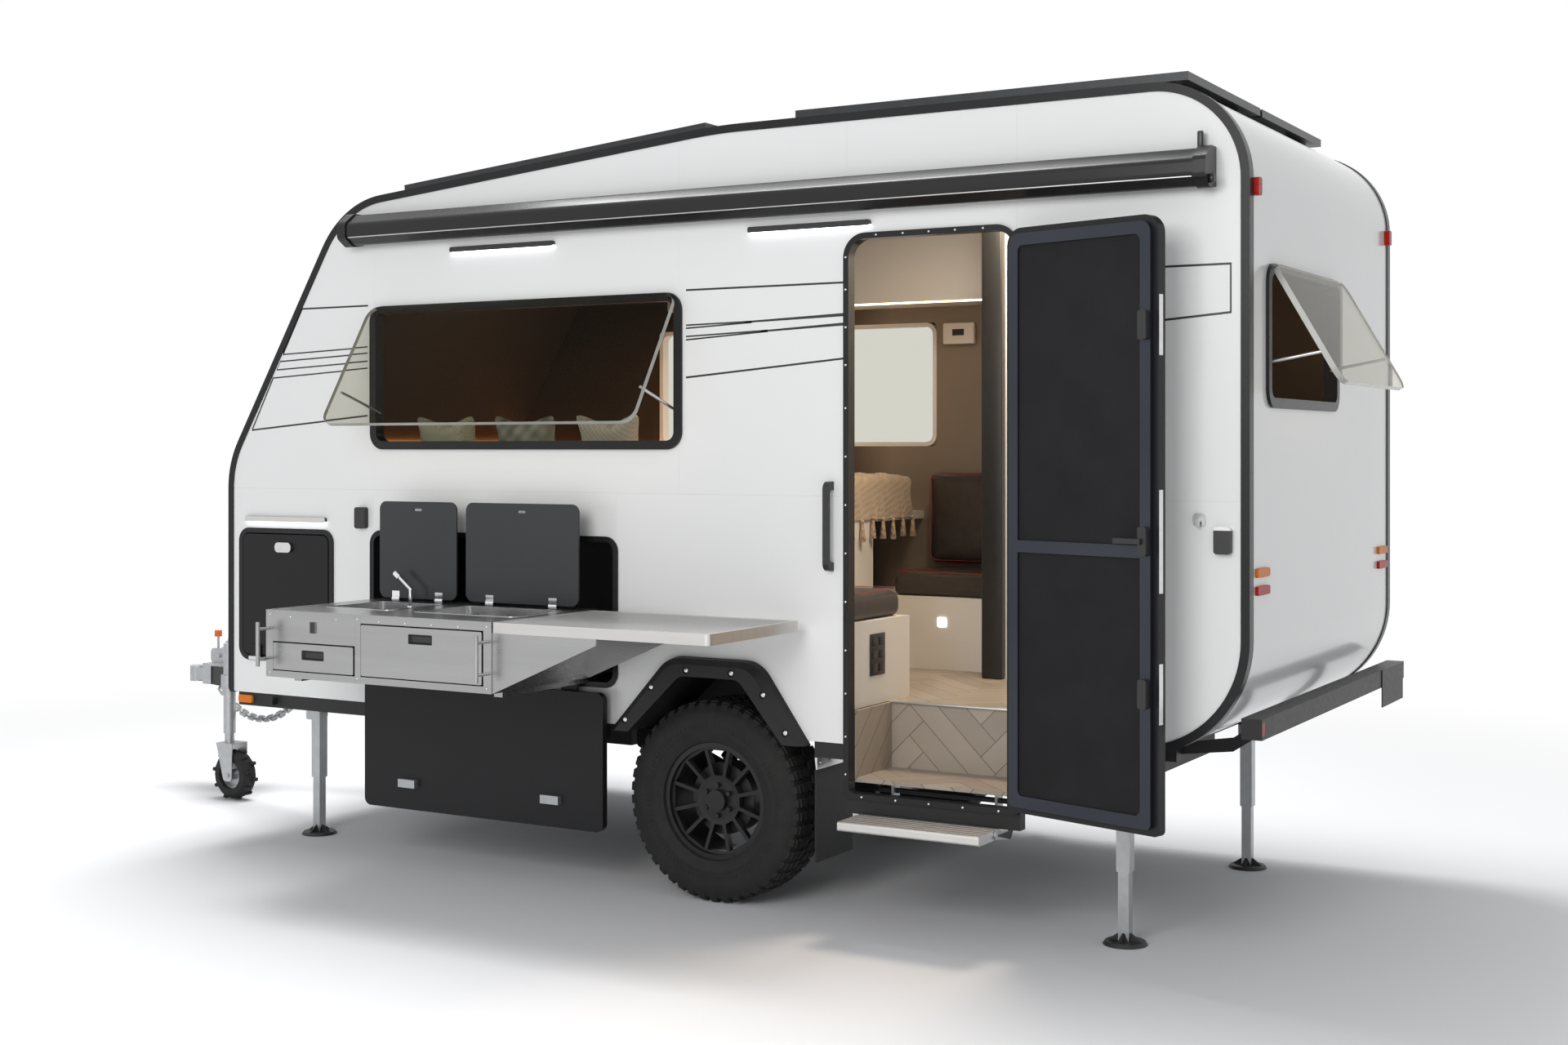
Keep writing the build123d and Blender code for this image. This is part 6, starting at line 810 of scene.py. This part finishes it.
for index, x in enumerate((1.48, 1.05, 0.62)):
    low = (x - PILLOW_HALF_WIDE, PILLOW_Y - 0.04, 1.655)
    high = (x + PILLOW_HALF_WIDE, PILLOW_Y + 0.04, 1.92)
    pillow = brick("pillow_%d" % (index + 1), low, high, 0.03, 3)
    bpy.ops.object.mode_set(mode="EDIT")
    bpy.ops.mesh.select_all(action="SELECT")
    bpy.ops.mesh.subdivide(number_cuts=3)
    bpy.ops.object.mode_set(mode="OBJECT")
    for vertex in pillow.data.vertices:
        across, up = (vertex.co.x - x) / PILLOW_HALF_WIDE, (vertex.co.z - PILLOW_Z) / PILLOW_HALF_TALL
        edge = max(abs(across), abs(up))
        vertex.co.y = PILLOW_Y + (vertex.co.y - PILLOW_Y) * (1.25 - 0.95 * edge ** 3)
        vertex.co.x -= 0.02 * across * (1 - up * up)
        vertex.co.z -= 0.016 * up * (1 - across * across)
    stuff(pillow, voxel=0.012, cap=0.028)
    for vertex in pillow.data.vertices:
        vertex.co.y += PILLOW_LEAN * (vertex.co.z - PILLOW_Z)
    hold(pillow, 1, 0.671, 0.859)
    hold(pillow, 2, 1.637, 1.936)
    settle(pillow, "trailer", "bedding", covers[index], angle=80)
    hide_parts("cushions")

waffle = woven("waffle_throw", (0.6, 0.47, 0.33), (0.42, 0.31, 0.2), 0.9, 260, 0.004, Sheen_Weight=0.4)
throw = start("bed_throw", "grid", x_subdivisions=64, y_subdivisions=70, size=1)
THROW_WIDE, THROW_LONG = 1.3, 0.78
FLAT_RUN, BENT_RUN = 0.57, 0.617
BED_END, BED_SIDE, BEND = 0.05, 1.614, 0.03
QUARTER_TURN = 1.57
for vertex in throw.data.vertices:
    run, across = vertex.co.x + 0.5, vertex.co.y
    y = across * THROW_WIDE - 0.16
    folds = 0.006 * sin(y * 31 + run * 5) + 0.004 * sin(y * 57 - run * 9)
    reach = THROW_LONG * run
    if reach < FLAT_RUN:
        height = BED_SIDE + BEND + folds + 0.004 * sin(run * 40)
        vertex.co = (BED_END + FLAT_RUN - reach, y + 0.02 * sin(run * 7), height)
    elif reach < BENT_RUN:
        turn = (reach - FLAT_RUN) / BEND
        height = BED_SIDE + BEND * cos(turn) + folds * (1 - turn / QUARTER_TURN)
        vertex.co = (BED_END - BEND * sin(turn), y, height)
    else:
        drop = reach - BENT_RUN
        vertex.co = (0.019 - abs(folds) * drop * 9, y + 0.012 * sin(drop * 30), BED_SIDE - drop)
wall = throw.modifiers.new("thick", "SOLIDIFY")
wall.thickness = 0.004
wall.offset = 0
bpy.ops.object.modifier_apply(modifier="thick")
tassel = start("tassel", "cone", vertices=8, radius1=0.016, radius2=0.006, depth=0.09)
round_edges(tassel, 0.002, 1)
knot = start("knot", "uv_sphere", segments=8, ring_count=6, radius=0.011, location=(0, 0, 0.045))
knot.scale = (1, 1, 0.8)
tassel = join("throw_tassels", [tassel, knot])
hem = [(0.005, -0.80 + 0.0999 * index, 1.405 + 0.006 * sin(index * 2.1)) for index in range(14)]
tassel = scatter(tassel, hem)
settle(throw, "trailer", "bedding", waffle, angle=80)
settle(tassel, "trailer", "bedding", waffle, angle=60)

# The slide-out kitchen is folded from brushed stainless sheet, riveted at the corners. Sink
# and hob are let into its bench, with charcoal glass lids that stand open on chrome hinges.
brushed = coat("brushed_stainless", (0.48, 0.48, 0.48), (0.3, 0.3, 0.305), 0.3, 9, 0.1, 0.00015,
               stretch=(0.05, 1, 1), Metallic=1.0)
dress(brushed, "kitchen_carcass", "kitchen_front", "drawer_small", "drawer_large", "table_gussets")
dress(bright_steel, "bench_fittings")
burner_black = coat("burner_enamel", (0.012, 0.012, 0.012), (0.03, 0.028, 0.026), 0.5, 40, 0.1, 0.0003)


def on_burners(at, face):
    """Whether a face belongs to the hob's burners and pan rests."""
    return 0.6 < at.x < 1.02 and 1.2 < at.y < 1.43 and 1.0775 < at.z < 1.1275


dress_where(burner_black, "bench_fittings", on_burners)
chrome = coat("chrome", (0.82, 0.82, 0.83), (0.74, 0.74, 0.76), 0.08, 12, 0.03, Metallic=1.0)
dress(chrome, "tap")
lid_glass = coat("charcoal_glass", (0.034, 0.036, 0.039), (0.046, 0.048, 0.051), 0.22, 2, 0.04,
                 Specular_IOR_Level=0.3)
HINGE_TOP = 1.143
LID_Y, LID_HALF = 1.112, 0.0055
for lid in ("sink_lid", "hob_lid"):
    dress(lid_glass, lid)
    dress_where(chrome, lid, lambda at, face: at.z < HINGE_TOP or abs(at.y - LID_Y) > LID_HALF)
DRAWER_FRONT = 1.69
PULL_HALF_WIDE, PULL_HALF_TALL = 0.0575, 0.0185


def sunk_pull(name, x, z):
    """A moulded pull let into a drawer front: a rim round a hollow for the fingers."""
    low = (x - PULL_HALF_WIDE, DRAWER_FRONT - 0.0115, z - PULL_HALF_TALL)
    high = (x + PULL_HALF_WIDE, DRAWER_FRONT + 0.0025, z + PULL_HALF_TALL)
    pull = brick(name, low, high, 0.002, 2)
    sink_face(pull, OUTWARD, (0.005, -0.0095))
    return pull


settle(sunk_pull("small_drawer_pull", 1.391, 0.956), "small_drawer", "black_plastic", latch_black)
settle(sunk_pull("large_drawer_pull", 0.8435, 1.046), "large_drawer", "black_plastic", latch_black)
DRAIN = (1.352, 1.314)
drain = bar("sink_drain", (*DRAIN, 1.0055), (*DRAIN, 1.0105), 0.042, 32, 0.0015)
sink_face(drain, Vector((0, 0, 1)), (0.008, -0.003), (0.018, 0.002))
settle(drain, "trailer", "chrome", chrome)
RIVET_Y = 1.6868
rivets = [(x, RIVET_Y, z) for x in (0.525, 1.16, 1.622) for z in (0.88, 1.11)]
rivets += [(x, RIVET_Y, 1.104) for x in (0.66, 0.79, 0.92, 1.05, 1.27, 1.51)]
settle(scatter(screw(0.0035), rivets), "trailer", "chrome", bright_steel).name = "kitchen_rivets"


def on_catch(at, face):
    """Whether a face belongs to the moulded catch above the small drawer."""
    return abs(at.x - 1.391) < 0.03 and abs(at.z - 1.066) < 0.035 and at.y > DRAWER_FRONT + 0.0005


dress_where(latch_black, "kitchen_front", on_catch)

# The side table is a pale speckled board set in an aluminium rim. It is fixed to the end of
# the kitchen and held level by two folded gussets of stainless sheet.
speckled = coat("speckled_board", (0.5, 0.5, 0.49), (0.34, 0.34, 0.335), 0.42, 90, 0.06, 0.0002)
dress(speckled, "side_table")
TABLE_RIM_LOW, TABLE_RIM_HIGH = 1.11, 1.1265
dress_where(pale_alloy, "side_table",
            lambda at, face: abs(face.normal.z) < 0.5 or not TABLE_RIM_LOW <= at.z <= TABLE_RIM_HIGH)

# Hatches close the kitchen bay and the front boot. Each is a black sandwich panel in a black
# frame, held by bright turn latches. The kitchen's hangs open.
hatch_black = coat("hatch_black", (0.01, 0.01, 0.011), (0.016, 0.016, 0.017), 0.34, 1.5, 0.06, 0.0002,
                   Specular_IOR_Level=0.2)
dress(hatch_black, "kitchen_hatch", "boot_hatch_left", "boot_hatch_right")
LATCH_FACE, LATCH_TOP, BOOT_LATCH_FACE = 1.0585, 0.79, 1.0075
dress_where(galvanised, "kitchen_hatch", lambda at, face: at.y > LATCH_FACE and at.z < LATCH_TOP)
for hatch in ("boot_hatch_left", "boot_hatch_right"):
    dress_where(bright_steel, hatch, lambda at, face: abs(at.y) > BOOT_LATCH_FACE)

# The awning is a black extruded aluminium case with cast end caps, hung high on the side. Its
# lead rail shows as a lip along the bottom, and a short arm stands at its rear end.
awning_black = coat("awning_black", (0.009, 0.009, 0.01), (0.015, 0.015, 0.016), 0.24, 3, 0.05, 0.0001,
                    stretch=(0.1, 1, 1), Specular_IOR_Level=0.35)
dress(awning_black, "awning")
rail = brick("awning_rail", (-1.97, 1.0935, 2.672), (1.76, 1.0975, 2.6765), 0.001, 1)
settle(rail, "trailer", "black_plastic", pale_alloy)
arm = brick("awning_arm", (-1.985, 1.012, 2.776), (-1.965, 1.03, 2.835), 0.006, 3)
knob = bar("arm_knob", (-2.02, 1.06, 2.668), (-2.036, 1.06, 2.668), 0.016, 20, 0.004)
settle(join("awning_arm", [arm, knob]), "trailer", "black_plastic", latch_black)

# Lamps: black strip housings under the awning and over the hatches, lit from below, red
# clusters low and high on the tail, and amber markers along the sides. The coloured lenses
# are moulded with fine ribs.
dress(latch_black, "lamp_strips")
dress_where(cool_glow, "lamp_strips", lambda at, face: face.normal.z < -0.5)
HATCH_STRIP_TOP = 1.5
dress_where(pale_alloy, "lamp_strips", lambda at, face: at.z < HATCH_STRIP_TOP and face.normal.y > 0.5)


def ribbed_lens(name, tint, shade):
    """A clear coloured lens moulded with fine upright ribs behind its face."""
    return woven(name, tint, shade, 0.3, 700, 0.0012, Specular_IOR_Level=0.2)


red_lens = ribbed_lens("red_lens", (0.55, 0.012, 0.008), (0.34, 0.005, 0.004))
amber_lens = ribbed_lens("amber_lens", (0.85, 0.24, 0.01), (0.6, 0.14, 0.006))
dress(red_lens, "red_lamps")
dress(amber_lens, "amber_lamps")

# Four solar panels are fixed along the roof: dark cells in rows with fine silver ribbons
# under toughened glass, each in a black anodised frame.
panel_frame = coat("panel_frame", (0.05, 0.052, 0.055), (0.035, 0.036, 0.038), 0.34, 20, 0.05, Metallic=0.7)
dress(panel_frame, "solar_panels")
cells = coat("solar_cells", (0.006, 0.008, 0.016), (0.009, 0.012, 0.024), 0.1, 5, 0.03, Coat_Weight=0.8,
             Coat_Roughness=0.03)
CELL = 0.157
PANEL_TOP = 2.91
nodes, links = cells.node_tree.nodes, cells.node_tree.links
place = nodes.new("ShaderNodeTexCoord")
grid = nodes.new("ShaderNodeTexBrick")
grid.offset = 0.0
grid.inputs["Scale"].default_value = 1.0
grid.inputs["Mortar Size"].default_value = 0.0025
grid.inputs["Mortar Smooth"].default_value = 0.0
grid.inputs["Brick Width"].default_value = CELL
grid.inputs["Row Height"].default_value = CELL
grid.inputs["Color1"].default_value = (0, 0, 0, 1)
grid.inputs["Color2"].default_value = (0, 0, 0, 1)
grid.inputs["Mortar"].default_value = (1, 1, 1, 1)
links.new(place.outputs["Object"], grid.inputs["Vector"])
overlay(cells, (0.2, 0.21, 0.22), grid.outputs["Color"])
dress_where(cells, "solar_panels", lambda at, face: face.normal.z > 0.9 and at.z > PANEL_TOP)

# Wheel arches are black moulded flares screwed to the wall, with rubber mudflaps hung behind
# the wheels, each clamped under a bright bolted strip.
flare_black = coat("flare_plastic", (0.011, 0.011, 0.012), (0.018, 0.018, 0.018), 0.46, 16, 0.08, 0.0006,
                   Specular_IOR_Level=0.3)
dress(flare_black, "wheel_arches")
FLAP_FACE, STRIP_FOOT, STRIP_FACE = -0.4765, 0.5645, -0.4875
dress_where(bright_steel, "wheel_arches", lambda at, face: at.x < FLAP_FACE and at.z > STRIP_FOOT)
strip_bolt = screw(0.006)
strip_bolt.data.transform(Matrix.Rotation(radians(90), 4, "Z"))
places = [(STRIP_FACE, side * y, 0.588) for side in (1, -1) for y in (0.73, 0.81, 0.89, 0.96)]
settle(scatter(strip_bolt, places), "trailer", "chrome", bright_steel).name = "mudflap_bolts"
flare_bolt = bar("flare_bolt", (0, 1.0385, 0), (0, 1.0455, 0), 0.0095, 18, 0.003)
pockets = [(-0.379, 0.701), (-0.282, 0.838), (-0.14, 0.912), (0.065, 0.912), (0.228, 0.837), (0.351, 0.701)]
flare_bolts = scatter(flare_bolt, [(x, 0, z) for x, z in pockets])
settle(mirrored(flare_bolts, "flare_bolts_right"), "trailer", "chrome", bright_steel)
settle(flare_bolts, "trailer", "chrome", bright_steel).name = "flare_bolts_left"

# All-terrain tyres of black rubber on satin black cast wheels. The tread is moulded in blocks
# that lock together over a plain crown and run on as lugs down the shoulder.
rim_black = coat("rim_black", (0.009, 0.009, 0.01), (0.014, 0.014, 0.015), 0.34, 10, 0.06, 0.0002,
                 Specular_IOR_Level=0.35)
dress(rim_black, "rim_left", "rim_right")
rubber = coat("tyre_rubber", (0.014, 0.014, 0.014), (0.026, 0.025, 0.024), 0.72, 22, 0.08, 0.0006,
              Specular_IOR_Level=0.25)
HUB = Vector((0, 0.8395, 0.395))
PITCHES = 46


def about_hub(move):
    """A turn or a flip made about the middle of the left wheel."""
    return Matrix.Translation(HUB) @ move @ Matrix.Translation(-HUB)


def round_axle(piece, count):
    """Copies of a piece spaced evenly about the left axle and joined into one."""
    turns = [Matrix.Rotation(2 * pi * index / count, 4, "Y") for index in range(count)]
    return repeat(piece, [about_hub(turn) for turn in turns])


def to_inner_face(piece):
    """Moves a piece of the tyre's outer face over to its inner one."""
    piece.data.transform(about_hub(Matrix.Scale(-1, 4, (0, 1, 0))))
    piece.data.flip_normals()


def blank(name):
    """An empty mesh, open in edit mode, to draw points in."""
    piece = start(name, "plane", size=1)
    bpy.ops.object.mode_set(mode="EDIT")
    mesh = bmesh.from_edit_mesh(piece.data)
    bmesh.ops.delete(mesh, geom=mesh.verts[:], context="VERTS")
    return piece, mesh


def hoop(name, section, steps):
    """A ring turned about the left axle from a section of (across, radius) points."""
    ring, mesh = blank(name)
    points = [mesh.verts.new((HUB.x, HUB.y + y, HUB.z + r)) for y, r in section]
    for index in range(len(points)):
        mesh.edges.new((points[index], points[(index + 1) % len(points)]))
    bmesh.update_edit_mesh(ring.data)
    bpy.ops.mesh.select_all(action="SELECT")
    bpy.ops.mesh.spin(steps=steps, angle=2 * pi, center=HUB, axis=(0, 1, 0))
    bpy.ops.mesh.select_all(action="SELECT")
    bpy.ops.mesh.remove_doubles(threshold=0.0001)
    close_up()
    return ring


half = [(0.098, 0.2265), (0.113, 0.231), (0.1215, 0.246), (0.1285, 0.272), (0.1305, 0.274),
        (0.1305, 0.28), (0.1295, 0.282), (0.1318, 0.306), (0.1322, 0.322), (0.1285, 0.343),
        (0.122, 0.36), (0.108, 0.3765), (0.085, 0.3845), (0.045, 0.3865), (0.0, 0.3868)]
section = half + [(-y, r) for y, r in reversed(half[:-1])]
casing = hoop("tyre", section, 2 * PITCHES)


def tread_block(corners, low, high):
    """One block of the tread, drawn from above by its corners (along, across)."""
    block, mesh = blank("block")
    mesh.faces.new([mesh.verts.new((x, HUB.y + y, HUB.z + low)) for x, y in corners])
    bmesh.update_edit_mesh(block.data)
    bpy.ops.mesh.select_all(action="SELECT")
    bpy.ops.mesh.extrude_region_move(TRANSFORM_OT_translate={"value": (0, 0, high - low)})
    bpy.ops.transform.resize(value=(0.93, 0.93, 1))
    close_up()
    return block


BLOCK_FOOT, BLOCK_TOP = 0.382, 0.3935
LUG_FOOT, LUG_TOP = 0.372, 0.392
WING_FOOT = Vector((0, 0.1185, 0.334))
RIB_FOOT = Vector((0, 0.1305, 0.289))
inner = [(-0.019, 0.004), (0.012, 0.007), (0.021, 0.026), (0.014, 0.046), (-0.012, 0.04), (-0.021, 0.022)]
outer = [(-0.02, 0.05), (0.004, 0.047), (0.02, 0.058), (0.018, 0.079), (-0.016, 0.076)]
lug = [(-0.019, 0.082), (0.016, 0.084), (0.018, 0.1), (-0.016, 0.1)]
blocks = []
ribs = []
for flip in (1, -1):
    made = []
    for outline in (inner, outer):
        made.append(tread_block([(x, flip * y) for x, y in outline], BLOCK_FOOT, BLOCK_TOP))
    made.append(tread_block([(x, flip * y) for x, y in lug], LUG_FOOT, LUG_TOP))
    wing = brick("wing", (-0.0165, 0, 0), (0.0155, 0.0125, 0.052), 0.003, 1)
    wing.data.transform(Matrix.Translation(HUB + WING_FOOT) @ Matrix.Rotation(radians(24), 4, "X"))
    rib = brick("rib", (-0.0035, 0, 0), (0.0035, 0.0022, 0.018), 0.0008, 1)
    rib.data.transform(Matrix.Translation(HUB + RIB_FOOT))
    if flip < 0:
        to_inner_face(wing)
        to_inner_face(rib)
    half_pitch = Matrix.Rotation(0 if flip > 0 else pi / PITCHES, 4, "Y")
    made.append(wing)
    for block in made:
        block.data.transform(about_hub(half_pitch))
    blocks += made
    ribs.append(rib)
tread = round_axle(join("tread", blocks), PITCHES)
ribs = round_axle(join("ribs", ribs), 2 * PITCHES)
tyre_left = join("all_terrain_tyre_left", [casing, tread, ribs])
tyre_right = mirrored(tyre_left, "all_terrain_tyre_right")
for tyre, side in ((tyre_left, "left"), (tyre_right, "right")):
    settle(tyre, "wheel_" + side, "tyre", rubber, angle=28)
    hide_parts("tyre_" + side)

# At the drawbar's end are a plated coupling with its brake lever, a jockey wheel in a clamp,
# and a safety chain with a red shackle. The lever's grip is orange and the clamp's red.
dress(galvanised, "coupling", "jockey_clamp", "jockey_leg", "jockey_rim", "safety_chains")
red_paint = coat("red_paint", (0.5, 0.02, 0.015), (0.42, 0.014, 0.012), 0.34, 12, 0.06)
orange_grip = coat("orange_grip", (0.72, 0.16, 0.02), (0.6, 0.12, 0.015), 0.5, 25, 0.06, 0.0003)
SHACKLE_X, LEVER_GRIP_Z = 2.575, 0.776
CLAMP_GRIP_Y, CLAMP_GRIP_Z = 0.222, 0.626
dress_where(red_paint, "safety_chains", lambda at, face: at.x < SHACKLE_X)
dress_where(red_paint, "jockey_clamp", lambda at, face: at.z > CLAMP_GRIP_Z and at.y < CLAMP_GRIP_Y)
dress_where(orange_grip, "coupling", lambda at, face: at.z > LEVER_GRIP_Z)
dress(rubber, "jockey_tyre")

# Four winding legs of plated tube hinge on brackets under the chassis and swing up for
# the road. Each stands on a round black pad.
PAD_TOP = 0.048
pad_black = coat("pad_rubber", (0.014, 0.014, 0.014), (0.024, 0.024, 0.024), 0.6, 30, 0.08, 0.0004)
for leg in ("leg_front_left", "leg_front_right", "leg_rear_left", "leg_rear_right"):
    dress(galvanised, leg)
    dress_where(pad_black, leg, lambda at, face: at.z < PAD_TOP)
